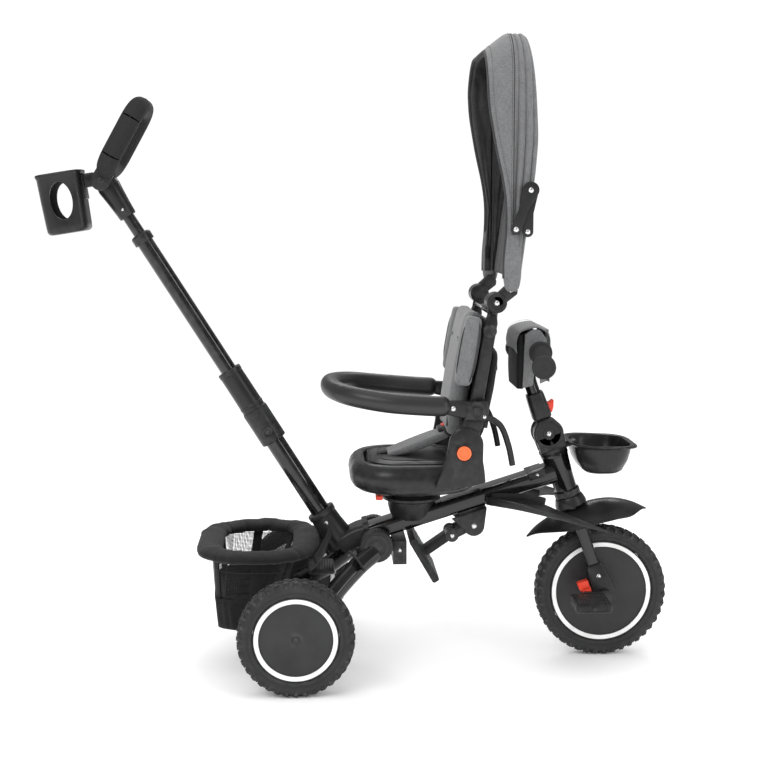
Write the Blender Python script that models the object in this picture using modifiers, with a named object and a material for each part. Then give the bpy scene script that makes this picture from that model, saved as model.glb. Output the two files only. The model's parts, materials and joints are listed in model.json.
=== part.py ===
"""Children's push tricycle with a swivelling seat, a folding hood and a telescopic push pole.

+X is the riding direction, +Y the rider's left, +Z up, all sizes in metres. The seat is turned to
face the push pole. The rear fold, the stem fold, the seat swivel, the recline, the hood, the pole
stages and the footrest each hang on an empty that sits on the joint's axis.
"""

from math import cos, pi, radians, sin

import bmesh
import bpy
from mathutils import Matrix, Vector

# ---- driving dimensions -------------------------------------------------------------------------
GAP = 0.0004  # clearance between pieces that touch
RUN = 0.0005  # clearance of a shaft in its bore
FRONT_AXLE_X = 0.4570  # puts the middle of the length at x = 0

FRONT_WHEEL_R = 0.125
REAR_WHEEL_R = 0.104
TYRE_WIDTH = 0.042
TYRE_DEPTH = 0.028  # from tread to rim seat
WHEELBASE = 0.575
REAR_TRACK = 0.42
AXLE_R = 0.006
AXLE_TUBE_R = 0.0105

STEER_TILT = radians(19.1)  # steering axis leans back
HEAD_LOW, HEAD_HIGH = 0.192, 0.282  # head tube ends, along the steering axis from the front axle
HEAD_R_LOW, HEAD_R_HIGH = 0.0195, 0.0255
STEERER_R = 0.0125
CROWN_LOW, CROWN_HIGH = 0.134, 0.150
GUARD_SEAT = 0.1695  # where the steerer passes the mudguard
FORK_HALF = 0.037  # middle of a fork leg from the centre plane
LEG_WIDE, LEG_THICK = 0.024, 0.016
FORK_END_LOW, FORK_END_HIGH = -0.024, 0.062
FORK_END_WIDE, FORK_END_THICK = 0.046, 0.026

CRANK_R = 0.036
CRANK_AXLE_R = 0.0075
PEDAL_LONG, PEDAL_WIDE, PEDAL_THICK = 0.066, 0.072, 0.018
PEDAL_PIN_R = 0.0045

STEM_HINGE = 0.3206  # along the steering axis
STEM_HINGE_R = 0.028
STEM_PIN_R = 0.005
TONGUE_HALF = 0.0125
CHEEK_THICK = 0.011
STEM_TUBE_R = 0.0125
GRIP_R = 0.021
BAR_R = 0.011
BAR_HALF = 0.175
GRIP_LONG = 0.088

BEAM_TILT = radians(17.6)  # main beam rises to the front
BEAM_WIDE, BEAM_TALL, BEAM_WALL = 0.060, 0.030, 0.003
BEAM_LONG = 0.3985
HEAD_CROSS = 0.245  # where the beam's middle line meets the steering axis

SWIVEL_X = -0.36  # from the front axle
SWIVEL_Z = 0.3046  # face between the fixed and the turning plate
SWIVEL_BASE_R, SWIVEL_TOP_R, SWIVEL_PIN_R = 0.045, 0.055, 0.012
SEAT_BOTTOM, SEAT_RIM = 0.329, 0.388
SEAT_FRONT, SEAT_BACK = -0.477, -0.240
SEAT_HALF = 0.1345
SEAT_WALL = 0.014
BRACKET_THICK = 0.017
RECLINE_X, RECLINE_Z = -0.277, 0.416
RECLINE_BUTTON_R = 0.0130

BACK_TILT = radians(9.7)
UPRIGHT_HALF = 0.116
UPRIGHT_R = 0.0095
GUARD_X, GUARD_Z = -0.300, 0.4975
GUARD_R = 0.018
HOOD_X, HOOD_Z = -0.221, 0.681  # hood tilt axis
HOOD_HUB_R = 0.018
BOW_X, BOW_Z = -0.197, 0.704  # hood opening axis
BOW_R = 0.003
HOOD_HALF = 0.156
HOOD_TOP = 1.150
HOOD_FOOT = 0.700
DRAWN_TOP = 1.150
HOOD_WALL = 0.024
HOOD_SEAM_X = -0.1955

POLE_TILT = radians(32.2)
POLE_X, POLE_Z = -0.531, 0.2835
POLE_LOW_R, POLE_MID_R, POLE_TOP_R = 0.018, 0.015, 0.011
POLE_WALL = 0.002
POLE_SOCKET = 0.050  # depth of the pole in its socket
SLEEVE_LOW, SLEEVE_HIGH = 0.158, 0.3135  # along the pole
FERRULE_AT, POLE_TOP_AT = 0.5988, 0.6616
GRIP_X, GRIP_Z = -0.9195, 0.8940
GRIP_TILT = radians(29.2)
HANDLE_R = 0.0165
HANDLE_HALF = 0.056
HANDLE_HIGH = 0.165

FOLD_X, FOLD_Z = -0.428, 0.229  # rear frame fold axis
HUB_R = 0.030
HUB_IN, HUB_OUT = 0.0460, 0.0740
ARM_R = 0.017
ARM_END_Y = 0.160

FOOT_X, FOOT_Z = -0.245, 0.258  # footrest arm pivot
ELBOW_X, ELBOW_Z = -0.285, 0.238  # footrest plate pivot

BASKET_TOP, BASKET_FLOOR = 0.236, 0.085

# ---- finishes: colour, roughness, metallic ------------------------------------------------------
TUBE_BLACK = ((0.012, 0.012, 0.013), 0.25, 0.0)
PLASTIC = ((0.030, 0.030, 0.032), 0.50, 0.0)
PLASTIC_GREY = ((0.060, 0.062, 0.064), 0.55, 0.0)
RUBBER = ((0.035, 0.035, 0.036), 0.80, 0.0)
GREY_CLOTH = ((0.300, 0.300, 0.305), 0.95, 0.0)
BLACK_CLOTH = ((0.020, 0.020, 0.021), 0.90, 0.0)
LEATHER = ((0.022, 0.022, 0.023), 0.42, 0.0)
FOAM = ((0.018, 0.018, 0.019), 0.85, 0.0)
RED = ((0.750, 0.060, 0.030), 0.40, 0.0)
ORANGE = ((0.850, 0.150, 0.040), 0.40, 0.0)
STEEL = ((0.550, 0.550, 0.560), 0.30, 1.0)

MERGE = 0.00001
SIDES = 14
ALONG_Y = Matrix.Rotation(-pi / 2, 4, "X")
UPRIGHT_PLANE = Matrix.Rotation(pi / 2, 4, "X")  # a flat outline's x, y become x, z


# ---- scene and collections ----------------------------------------------------------------------
def clear_scene():
    for old in list(bpy.data.objects):
        bpy.data.objects.remove(old, do_unlink=True)


def new_collection(name, hidden=False):
    collection = bpy.data.collections.new(name)
    bpy.context.scene.collection.children.link(collection)
    collection.hide_render = hidden
    return collection


clear_scene()
PARTS = new_collection("childrens_tricycle")
CUTTERS = new_collection("cutters", hidden=True)


def material(name, finish):
    colour, roughness, metallic = finish
    mat = bpy.data.materials.new(name)
    mat.use_nodes = True
    shader = mat.node_tree.nodes["Principled BSDF"]
    shader.inputs["Base Color"].default_value = (*colour, 1.0)
    shader.inputs["Roughness"].default_value = roughness
    shader.inputs["Metallic"].default_value = metallic
    mat.diffuse_color = (*colour, 1.0)
    return mat


# ---- frames -------------------------------------------------------------------------------------
def frame_at(x, z, tilt=0.0):
    """A frame in the centre plane, x measured from the front axle, turned about +Y by tilt."""
    return Matrix.Translation((FRONT_AXLE_X + x, 0, z)) @ Matrix.Rotation(tilt, 4, "Y")


def spot(frame, u, y, t):
    return frame @ Vector((u, y, t))


WORLD = frame_at(0, 0)
STEER = frame_at(0, FRONT_WHEEL_R, -STEER_TILT)
REAR = frame_at(-WHEELBASE, REAR_WHEEL_R)
HEAD = spot(STEER, 0, 0, HEAD_CROSS)
BEAM = Matrix.Translation(HEAD) @ Matrix.Rotation(-BEAM_TILT, 4, "Y")
POLE = frame_at(POLE_X, POLE_Z, -POLE_TILT)
BACK = frame_at(-0.250, 0.512, BACK_TILT)
GRIP = frame_at(GRIP_X, GRIP_Z, GRIP_TILT)


def pivot(name, frame, u=0.0, t=0.0, y=0.0):
    empty = bpy.data.objects.new(name, None)
    empty.matrix_world = frame @ Matrix.Translation((u, y, t))
    PARTS.objects.link(empty)
    return empty


# ---- shapes: each returns a mesh object whose points are in the given frame ----------------------
def new_object(mesh, frame):
    obj = bpy.data.objects.new(mesh.name, mesh)
    CUTTERS.objects.link(obj)
    obj.hide_render = True
    obj.display_type = "WIRE"
    obj.matrix_world = frame
    return obj


def from_bmesh(bm, frame, name="shape"):
    mesh = bpy.data.meshes.new(name)
    bm.to_mesh(mesh)
    bm.free()
    return new_object(mesh, frame)


def settled(obj, frame, local):
    """Applies the modifiers or the curve, with its points moved by local into the frame."""
    bpy.context.view_layer.update()
    graph = bpy.context.evaluated_depsgraph_get()
    mesh = bpy.data.meshes.new_from_object(obj.evaluated_get(graph))
    bpy.data.objects.remove(obj)
    bm = bmesh.new()
    bm.from_mesh(mesh)
    bmesh.ops.remove_doubles(bm, verts=bm.verts, dist=MERGE)
    bm.transform(local)
    return from_bmesh(bm, frame)


def block(frame, low, high, bevel=0.0, segments=2):
    size = [b - a for a, b in zip(low, high)]
    middle = [(a + b) / 2 for a, b in zip(low, high)]
    bm = bmesh.new()
    bmesh.ops.create_cube(bm, size=1, matrix=Matrix.Translation(middle) @ Matrix.Diagonal((*size, 1)))
    obj = from_bmesh(bm, frame)
    if bevel:
        rounding = obj.modifiers.new("rounding", "BEVEL")
        rounding.width = bevel
        rounding.segments = segments
        rounding.limit_method = "NONE"
    return obj


def rod(frame, radius, low, high, u=0.0, y=0.0, top_radius=None, sides=SIDES):
    """A cylinder or cone along the frame's Z."""
    bm = bmesh.new()
    bmesh.ops.create_cone(
        bm,
        cap_ends=True,
        segments=sides,
        radius1=radius,
        radius2=radius if top_radius is None else top_radius,
        depth=high - low,
        matrix=Matrix.Translation((u, y, (low + high) / 2)),
    )
    return from_bmesh(bm, frame)


def drum(frame, radius, y_low, y_high, u=0.0, t=0.0, sides=SIDES):
    """A cylinder along the frame's Y."""
    bm = bmesh.new()
    bmesh.ops.create_cone(
        bm,
        cap_ends=True,
        segments=sides,
        radius1=radius,
        radius2=radius,
        depth=y_high - y_low,
        matrix=Matrix.Translation((u, (y_low + y_high) / 2, t)) @ ALONG_Y,
    )
    return from_bmesh(bm, frame)


def turned(frame, outline, local=Matrix(), steps=SIDES, closed=True):
    """Turns an (r, h) outline, outer side first and from top to bottom, about the local Z axis."""
    mesh = bpy.data.meshes.new("profile")
    count = len(outline)
    edges = [(i, i + 1) for i in range(count - 1)] + ([(count - 1, 0)] if closed else [])
    mesh.from_pydata([(r, 0, h) for r, h in outline], edges, [])
    obj = new_object(mesh, Matrix())
    screw = obj.modifiers.new("turn", "SCREW")
    screw.steps = screw.render_steps = steps
    screw.use_merge_vertices = True
    screw.merge_threshold = MERGE
    return settled(obj, frame, local)


def ring(frame, outer, inner, low, high, local=Matrix(), steps=SIDES):
    return turned(frame, [(outer, high), (outer, low), (inner, low), (inner, high)], local, steps)


def plate(frame, outlines, thickness, local=UPRIGHT_PLANE):
    """A flat outline, with any further outlines as holes or separate islands, of one thickness."""
    curve = bpy.data.curves.new("outline", "CURVE")
    curve.dimensions = "2D"
    curve.fill_mode = "BOTH"
    curve.extrude = thickness / 2
    for points in outlines:
        spline = curve.splines.new("POLY")
        spline.points.add(len(points) - 1)
        spline.use_cyclic_u = True
        for point, (a, b) in zip(spline.points, points):
            point.co = (a, b, 0, 1)
    obj = bpy.data.objects.new("outline", curve)
    CUTTERS.objects.link(obj)
    return settled(obj, frame, local)


def arc(cx, cy, radius, start, end, count=8):
    """Points on an arc, angles in degrees."""
    step = (end - start) / (count - 1)
    angles = [radians(start + step * i) for i in range(count)]
    return [(cx + radius * cos(a), cy + radius * sin(a)) for a in angles]


def pipe(frame, points, radius, resolution=3, sides=2, cyclic=False):
    """A round tube along a smooth curve through the points."""
    curve = bpy.data.curves.new("route", "CURVE")
    curve.dimensions = "3D"
    curve.bevel_depth = radius
    curve.bevel_resolution = sides
    curve.use_fill_caps = not cyclic
    curve.resolution_u = curve.render_resolution_u = resolution
    spline = curve.splines.new("BEZIER")
    spline.bezier_points.add(len(points) - 1)
    spline.use_cyclic_u = cyclic
    for knot, point in zip(spline.bezier_points, points):
        knot.co = point
        knot.handle_left_type = knot.handle_right_type = "AUTO"
    obj = bpy.data.objects.new("route", curve)
    CUTTERS.objects.link(obj)
    return settled(obj, frame, Matrix())


def rounded_ring(middle, half_x, half_y, corner, z, per_corner=5):
    """A rounded rectangle at height z, counter-clockwise, around (middle, 0)."""
    points = []
    corners = [(1, 1, 0), (-1, 1, 90), (-1, -1, 180), (1, -1, 270)]
    for sx, sy, start in corners:
        cx, cy = middle + sx * (half_x - corner), sy * (half_y - corner)
        points += [(a, b, z) for a, b in arc(cx, cy, corner, start, start + 90, per_corner)]
    return points


def loft(frame, rings):
    """A closed skin through rings of equal count, capped at the first and the last."""
    bm = bmesh.new()
    loops = [[bm.verts.new(point) for point in points] for points in rings]
    count = len(rings[0])
    for lower, upper in zip(loops, loops[1:]):
        for i in range(count):
            j = (i + 1) % count
            bm.faces.new((lower[i], lower[j], upper[j], upper[i]))
    bm.faces.new(loops[0])
    bm.faces.new(loops[-1])
    bmesh.ops.recalc_face_normals(bm, faces=bm.faces)
    return from_bmesh(bm, frame)


# ---- assembling ---------------------------------------------------------------------------------
def boolean(obj, other, operation):
    step = obj.modifiers.new(operation.lower(), "BOOLEAN")
    step.operation = operation
    step.solver = "EXACT"
    step.object = other


def make(name, base, finish, add=(), cut=(), parent=None):
    """Names a shape, joins and cuts it, gives it its material and hangs it on its parent."""
    CUTTERS.objects.unlink(base)
    PARTS.objects.link(base)
    base.name = base.data.name = name
    base.hide_render = False
    base.display_type = "TEXTURED"
    for other in add:
        boolean(base, other, "UNION")
    for other in cut:
        boolean(base, other, "DIFFERENCE")
    base.data.materials.clear()
    base.data.materials.append(material(name, finish))
    base.data.shade_smooth()
    base.data.set_sharp_from_angle(angle=radians(35))
    if parent:
        placed = base.matrix_world.copy()
        base.parent = parent
        base.matrix_parent_inverse = parent.matrix_world.inverted()
        base.matrix_world = placed
    return base


# ---- wheels -------------------------------------------------------------------------------------
def tyre_outline(radius):
    half, seat = TYRE_WIDTH / 2, radius - TYRE_DEPTH
    return [
        (seat, half - 0.003),
        (seat + 0.008, half),
        (radius - 0.007, half - 0.002),
        (radius, half - 0.013),
        (radius, 0.013 - half),
        (radius - 0.007, 0.002 - half),
        (seat + 0.008, -half),
        (seat, 0.003 - half),
    ]


def disc_outline(radius, bore):
    seat = radius - TYRE_DEPTH - GAP
    rim, face = TYRE_WIDTH / 2 - 0.0035, TYRE_WIDTH / 2 - 0.0065
    return [
        (bore, face),
        (seat - 0.015, face),
        (seat - 0.012, rim),
        (seat, rim),
        (seat, -rim),
        (seat - 0.012, -rim),
        (seat - 0.015, -face),
        (bore, -face),
    ]


def wheel(tyre_name, disc_name, frame, radius, bore, y=0.0):
    parent = pivot(disc_name + "_pivot", frame, y=y)
    local = Matrix.Translation((0, y, 0)) @ ALONG_Y
    tyre = turned(frame, tyre_outline(radius), local, steps=28)
    make(tyre_name, tyre, RUBBER, parent=parent)
    disc = turned(frame, disc_outline(radius, bore), local, steps=28)
    make(disc_name, disc, PLASTIC, parent=parent)


# ---- main frame ---------------------------------------------------------------------------------
def build_main_frame():
    half_w, half_t = BEAM_WIDE / 2, BEAM_TALL / 2
    corner = half_t * 0.55

    def section(inset):
        return [(x, y) for x, y, _ in rounded_ring(0, half_t - inset, half_w - inset, corner - inset, 0)]

    along_back = Matrix.Translation((-BEAM_LONG / 2 - 0.006, 0, 0)) @ Matrix.Rotation(-pi / 2, 4, "Y")
    beam = plate(BEAM, [section(0), section(BEAM_WALL)], BEAM_LONG - 0.012, along_back)
    head = rod(STEER, HEAD_R_LOW, HEAD_LOW, HEAD_HIGH, top_radius=HEAD_R_HIGH, sides=22)
    bore = rod(STEER, STEERER_R + RUN, HEAD_LOW - 0.02, HEAD_HIGH + 0.02, sides=22)
    make("main_frame", beam, TUBE_BLACK, add=[head], cut=[bore])


def beam_envelope(clearance):
    """The beam's outside with a clearance all round, to cut what sits on it."""
    half_w, half_t = BEAM_WIDE / 2 + clearance, BEAM_TALL / 2 + clearance
    return block(BEAM, (-BEAM_LONG - 0.02, -half_w, -half_t), (0.01, half_w, half_t))


def build_footrest_wings():
    """One moulding: it lies beside the beam at the back and crosses under it near the head."""
    inner, slope = BEAM_WIDE / 2 + 0.0015, 0.237
    half = [
        (-0.150, inner),
        (-0.225, inner),
        (-0.222, 0.052),
        (-0.200, 0.090),
        (-0.160, 0.125),
        (-0.110, 0.150),
        (-0.060, 0.163),
        (-0.020, 0.163),
        (-0.006, 0.150),
        (-0.012, 0.130),
        (-0.050, 0.118),
        (-0.085, 0.098),
        (-0.105, 0.070),
        (-0.116, inner),
    ]
    outline = half + [(x, -y) for x, y in reversed(half)]
    lay = Matrix.Translation((-0.225, 0, 0.3165)) @ Matrix.Rotation(slope, 4, "Y")
    lay = lay @ Matrix.Translation((0.225, 0, 0))
    wing = plate(WORLD, [outline], 0.012, lay)
    make("footrest_wings", wing, PLASTIC_GREY)


def build_swivel_base():
    top = SWIVEL_Z - GAP
    outline = [
        (0, top + 0.014),
        (SWIVEL_PIN_R, top + 0.014),
        (SWIVEL_PIN_R, top),
        (SWIVEL_BASE_R, top),
        (SWIVEL_BASE_R, 0.278),
        (SWIVEL_BASE_R - 0.004, 0.268),
        (0, 0.268),
    ]
    frame = frame_at(SWIVEL_X, 0)
    base = turned(frame, outline, steps=28, closed=False)
    make("swivel_base", base, PLASTIC, cut=[beam_envelope(GAP)])


def build_knuckle():
    end = -BEAM_LONG - GAP
    body = block(BEAM, (end - 0.040, -0.034, -0.024), (end, 0.034, 0.021), bevel=0.006)
    socket = rod(POLE, 0.0245, -0.072, 0.0, top_radius=0.0265, sides=18)
    cross = drum(frame_at(0, 0), 0.021, -HUB_IN + GAP, HUB_IN - GAP, FOLD_X, FOLD_Z)
    lug = block(BEAM, (end - 0.010, -0.036, -0.034), (end + 0.034, 0.036, -BEAM_TALL / 2 - 0.0015), bevel=0.003)
    bore = rod(POLE, POLE_LOW_R + GAP, -POLE_SOCKET, 0.05, sides=18)
    latch_frame = frame_at(-0.3835, 0.212)
    latch = block(latch_frame, (-0.0125, -0.042, -0.024), (0.0125, 0.042, 0.020))
    link = block(latch_frame, (-0.040, -0.036, -0.002), (-0.008, 0.036, 0.016))
    slot = block(latch_frame, (-0.0, -0.031, -0.03), (0.03, 0.031, 0.010))
    pieces = [socket, lug, cross, latch, link]
    make("rear_knuckle", body, PLASTIC, add=pieces, cut=[bore, slot, beam_envelope(GAP)])


def build_beam_bracket():
    """Two ears under the beam that carry the flip-out footrest."""
    reach = FOOT_X - (HEAD.x - FRONT_AXLE_X)
    under = HEAD.z + reach * sin(BEAM_TILT) / cos(BEAM_TILT)
    top = under - BEAM_TALL / 2 / cos(BEAM_TILT) - 0.0035
    outline = [
        (FOOT_X - 0.042, top - 0.0135),
        *arc(FOOT_X, FOOT_Z, 0.020, 200, 345, 9),
        (FOOT_X + 0.024, top + 0.0075),
    ]
    ears = plate(WORLD, [outline], 0.070)
    between = block(WORLD, (FOOT_X - 0.08, -0.0285, FOOT_Z - 0.05), (FOOT_X + 0.06, 0.0285, top - 0.009))
    pin = drum(WORLD, STEM_PIN_R, -0.034, 0.034, FOOT_X, FOOT_Z, sides=12)
    # the slot is cut first, then the pin is put across it
    boolean(ears, between, "DIFFERENCE")
    make("beam_bracket", ears, PLASTIC_GREY, add=[pin], cut=[beam_envelope(GAP)])


# ---- rear frame ---------------------------------------------------------------------------------
def build_rear_frame(parent):
    """Two curved arms from the fold hubs, joined by the tube that the axle runs in."""
    route = [
        (FOLD_X - 0.006, HUB_OUT - 0.009, FOLD_Z - 0.006),
        (FOLD_X - 0.045, 0.086, FOLD_Z - 0.046),
        (-WHEELBASE + 0.052, 0.122, REAR_WHEEL_R + 0.036),
        (-WHEELBASE + 0.004, ARM_END_Y - 0.006, REAR_WHEEL_R + 0.004),
    ]
    wheel_in = REAR_TRACK / 2 - TYRE_WIDTH / 2
    pieces = []
    for side in (-1, 1):
        pieces.append(pipe(WORLD, [(x, side * y, z) for x, y, z in route], ARM_R, resolution=3, sides=2))
        low, high = sorted((side * HUB_IN, side * HUB_OUT))
        pieces.append(drum(WORLD, HUB_R, low, high, FOLD_X, FOLD_Z, sides=22))
        low, high = sorted((side * (ARM_END_Y - 0.020), side * (wheel_in - 0.0015)))
        pieces.append(drum(REAR, 0.0165, low, high))
    tube = drum(REAR, AXLE_TUBE_R, -ARM_END_Y, ARM_END_Y)
    bore = drum(REAR, AXLE_R + RUN, -0.25, 0.25)
    make("rear_frame", tube, TUBE_BLACK, add=pieces, cut=[bore], parent=parent)


def build_rear_axle(parent):
    half = REAR_TRACK / 2 + TYRE_WIDTH / 2 - 0.003
    make("rear_axle", drum(REAR, AXLE_R, -half, half), STEEL, parent=parent)


def build_brake():
    parent = pivot("brake_pivot", REAR)
    collar = drum(REAR, 0.0165, -0.020, 0.020)
    arm = block(REAR @ Matrix.Rotation(radians(33.5), 4, "Y"), (-0.006, -0.014, 0.008), (0.006, 0.014, 0.078))
    tread = block(REAR, (0.022, -0.040, 0.066), (0.070, 0.040, 0.076), bevel=0.003)
    bore = drum(REAR, AXLE_TUBE_R + RUN, -0.03, 0.03)
    make("brake_pedal", collar, PLASTIC, add=[arm, tread], cut=[bore], parent=parent)


def build_basket():
    """A fabric tub with a padded rim, open at the top."""
    middle_top, middle_low = -0.6458, -0.6720
    wall = 0.006
    rings = [
        rounded_ring(middle_low, 0.043, 0.108, 0.030, BASKET_FLOOR),
        rounded_ring(middle_low, 0.047, 0.113, 0.034, BASKET_FLOOR + 0.008),
        rounded_ring(middle_top, 0.088, 0.130, 0.050, BASKET_TOP - 0.022),
        rounded_ring(middle_top, 0.1005, 0.142, 0.060, BASKET_TOP - 0.014),
        rounded_ring(middle_top, 0.1005, 0.142, 0.060, BASKET_TOP + 0.012),
        rounded_ring(middle_top, 0.094, 0.136, 0.055, BASKET_TOP + 0.018),
        rounded_ring(middle_top, 0.083, 0.124, 0.046, BASKET_TOP + 0.014),
        rounded_ring(middle_top, 0.081, 0.122, 0.044, BASKET_TOP - 0.016),
        rounded_ring(middle_low, 0.047 - wall, 0.113 - wall, 0.028, BASKET_FLOOR + wall),
    ]
    make("basket", loft(WORLD, rings), BLACK_CLOTH)


# ---- push pole ----------------------------------------------------------------------------------
def tube(frame, outer, inner, low, high):
    return ring(frame, outer, inner, low, high, steps=20)


def build_pole():
    lower = tube(POLE, POLE_LOW_R, POLE_MID_R + GAP, -POLE_SOCKET + GAP, SLEEVE_HIGH - 0.004)
    outline = [
        (POLE_LOW_R + 0.0045, SLEEVE_HIGH),
        (POLE_LOW_R + 0.0045, SLEEVE_HIGH - 0.080),
        (POLE_LOW_R + 0.0065, SLEEVE_HIGH - 0.084),
        (POLE_LOW_R + 0.0065, SLEEVE_LOW),
        (POLE_LOW_R - 0.0010, SLEEVE_LOW),
        (POLE_LOW_R - 0.0010, SLEEVE_HIGH - 0.006),
        (POLE_MID_R + GAP, SLEEVE_HIGH - 0.006),
        (POLE_MID_R + GAP, SLEEVE_HIGH),
    ]
    sleeve = turned(POLE, outline, steps=20)
    button_frame = POLE @ Matrix.Translation((0, 0, SLEEVE_LOW + 0.022)) @ ALONG_Y
    button_hole = rod(button_frame, 0.0065, -0.04, -POLE_LOW_R - 0.0020)
    make("pole_lower", lower, TUBE_BLACK, add=[sleeve], cut=[button_hole])

    button = rod(button_frame, 0.0058, -POLE_LOW_R - 0.0085, -POLE_LOW_R - 0.0045, sides=16)
    make("pole_button", button, PLASTIC_GREY, parent=pivot("pole_button_pivot", POLE, t=SLEEVE_LOW + 0.022))

    mid_parent = pivot("pole_mid_pivot", POLE, t=SLEEVE_HIGH)
    middle = tube(POLE, POLE_MID_R, POLE_TOP_R + GAP, SLEEVE_HIGH - 0.060, FERRULE_AT + 0.004)
    ferrule = ring(POLE, POLE_MID_R + 0.004, POLE_TOP_R + GAP, FERRULE_AT - 0.008, FERRULE_AT + 0.010)
    make("pole_mid", middle, TUBE_BLACK, add=[ferrule], parent=mid_parent)

    top_parent = pivot("pole_top_pivot", POLE, t=FERRULE_AT)
    top = tube(POLE, POLE_TOP_R, POLE_TOP_R - POLE_WALL, FERRULE_AT - 0.200, POLE_TOP_AT - 0.012)
    boss = drum(GRIP, 0.0155, -0.0175, 0.0175)
    collar = rod(POLE, 0.0150, POLE_TOP_AT - 0.030, POLE_TOP_AT + 0.052, top_radius=0.0172)
    pin = drum(GRIP, STEM_PIN_R, -0.0300, 0.0300, sides=12)
    make("pole_top", top, PLASTIC, add=[collar, boss, pin], parent=top_parent)


def build_push_grip():
    parent = pivot("push_grip_pivot", GRIP)
    low, high, half = 0.033, HANDLE_HIGH, HANDLE_HALF
    route = [
        (0, 0, low),
        (0, half * 0.7, low + 0.006),
        (0, half, low + 0.040),
        (0, half, high - 0.045),
        (0, half * 0.7, high - 0.010),
        (0, 0, high),
        (0, -half * 0.7, high - 0.010),
        (0, -half, high - 0.045),
        (0, -half, low + 0.040),
        (0, -half * 0.7, low + 0.006),
    ]
    loop = pipe(GRIP, route, HANDLE_R, resolution=2, cyclic=True)
    cheeks = [drum(GRIP, 0.0185, 0.0180, 0.0290), drum(GRIP, 0.0185, -0.0290, -0.0180)]
    web = [
        block(GRIP, (-0.014, 0.0182, 0.0), (0.014, 0.0288, 0.050)),
        block(GRIP, (-0.014, -0.0288, 0.0), (0.014, -0.0182, 0.050)),
    ]
    bore = drum(GRIP, STEM_PIN_R + RUN, -0.05, 0.05, sides=16)
    make("push_grip", loop, FOAM, add=cheeks + web, cut=[bore], parent=parent)


def build_cup_holder():
    frame = frame_at(-0.979, 0.800, radians(-9))
    wall, half = 0.004, 0.041
    rings = [
        rounded_ring(0, half - 0.006, half - 0.006, 0.024, 0),
        rounded_ring(0, half - 0.001, half - 0.001, 0.026, 0.012),
        rounded_ring(0, half + 0.001, half + 0.001, 0.022, 0.101),
        rounded_ring(0, half + 0.003, half + 0.003, 0.022, 0.106),
        rounded_ring(0, half + 0.002, half + 0.002, 0.022, 0.110),
        rounded_ring(0, half - wall, half - wall, 0.019, 0.108),
        rounded_ring(0, half - wall - 0.002, half - wall - 0.002, 0.020, 0.012),
        rounded_ring(0, half - 0.012, half - 0.012, 0.018, wall),
    ]
    cup = loft(frame, rings)
    window = [(0.021 * cos(a), 0.060 + 0.034 * sin(a)) for a in [radians(20 * i) for i in range(18)]]
    windows = plate(frame, [window], 0.20)
    clip = block(frame, (half - 0.001, -0.012, 0.078), (0.0576, 0.012, 0.100), bevel=0.002)
    pivot_parent = bpy.data.objects["pole_top_pivot"]
    make("cup_holder", cup, PLASTIC, add=[clip], cut=[windows], parent=pivot_parent)


# ---- fork, steering and front wheel -------------------------------------------------------------
def build_fork(parent):
    crown = block(STEER, (-0.018, -0.046, CROWN_LOW), (0.018, 0.046, CROWN_HIGH), bevel=0.004)
    steerer = rod(STEER, STEERER_R, CROWN_HIGH - 0.008, HEAD_HIGH + 0.006)
    seat = rod(STEER, 0.016, CROWN_HIGH - 0.004, GUARD_SEAT - 0.0075)
    race = rod(STEER, 0.019, GUARD_SEAT + 0.004, HEAD_LOW - GAP, sides=16)
    legs = []
    for side, name in ((1, "left"), (-1, "right")):
        inner, outer = sorted((side * (FORK_HALF - LEG_THICK / 2), side * (FORK_HALF + LEG_THICK / 2)))
        low = (-LEG_WIDE / 2, inner, FORK_END_HIGH + GAP)
        legs.append(block(STEER, low, (LEG_WIDE / 2, outer, CROWN_LOW + 0.005), bevel=0.004))
        build_fork_end(parent, side, name)
    make("fork", crown, TUBE_BLACK, add=[steerer, seat, race, *legs], parent=parent)


def build_fork_end(parent, side, name):
    inner, outer = sorted((side * (FORK_HALF - FORK_END_THICK / 2), side * (FORK_HALF + FORK_END_THICK / 2)))
    low, high = (-FORK_END_WIDE / 2, inner, FORK_END_LOW), (FORK_END_WIDE / 2, outer, FORK_END_HIGH)
    end = block(STEER, low, high, bevel=0.005)
    bore = drum(STEER, CRANK_AXLE_R + RUN, inner - 0.02, outer + 0.02)
    inner, outer = sorted((side * (FORK_HALF - 0.0095), side * (FORK_HALF + 0.0095)))
    recess = block(STEER, (-0.045, inner, 0.008), (-0.016, outer, 0.038))
    make("fork_end_" + name, end, PLASTIC, cut=[bore, recess], parent=parent)


def build_clutch(side, name):
    """The drive release, a slide in the rear face of a fork end."""
    y_low, y_high = sorted((side * (FORK_HALF - 0.0088), side * (FORK_HALF + 0.0088)))
    button = block(STEER, (-0.040, y_low, 0.0088), (-0.0195, y_high, 0.0372), bevel=0.002)
    parent = pivot(name + "_pivot", STEER, u=-0.030, y=side * FORK_HALF, t=0.023)
    make(name, button, RED, parent=parent)


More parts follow.
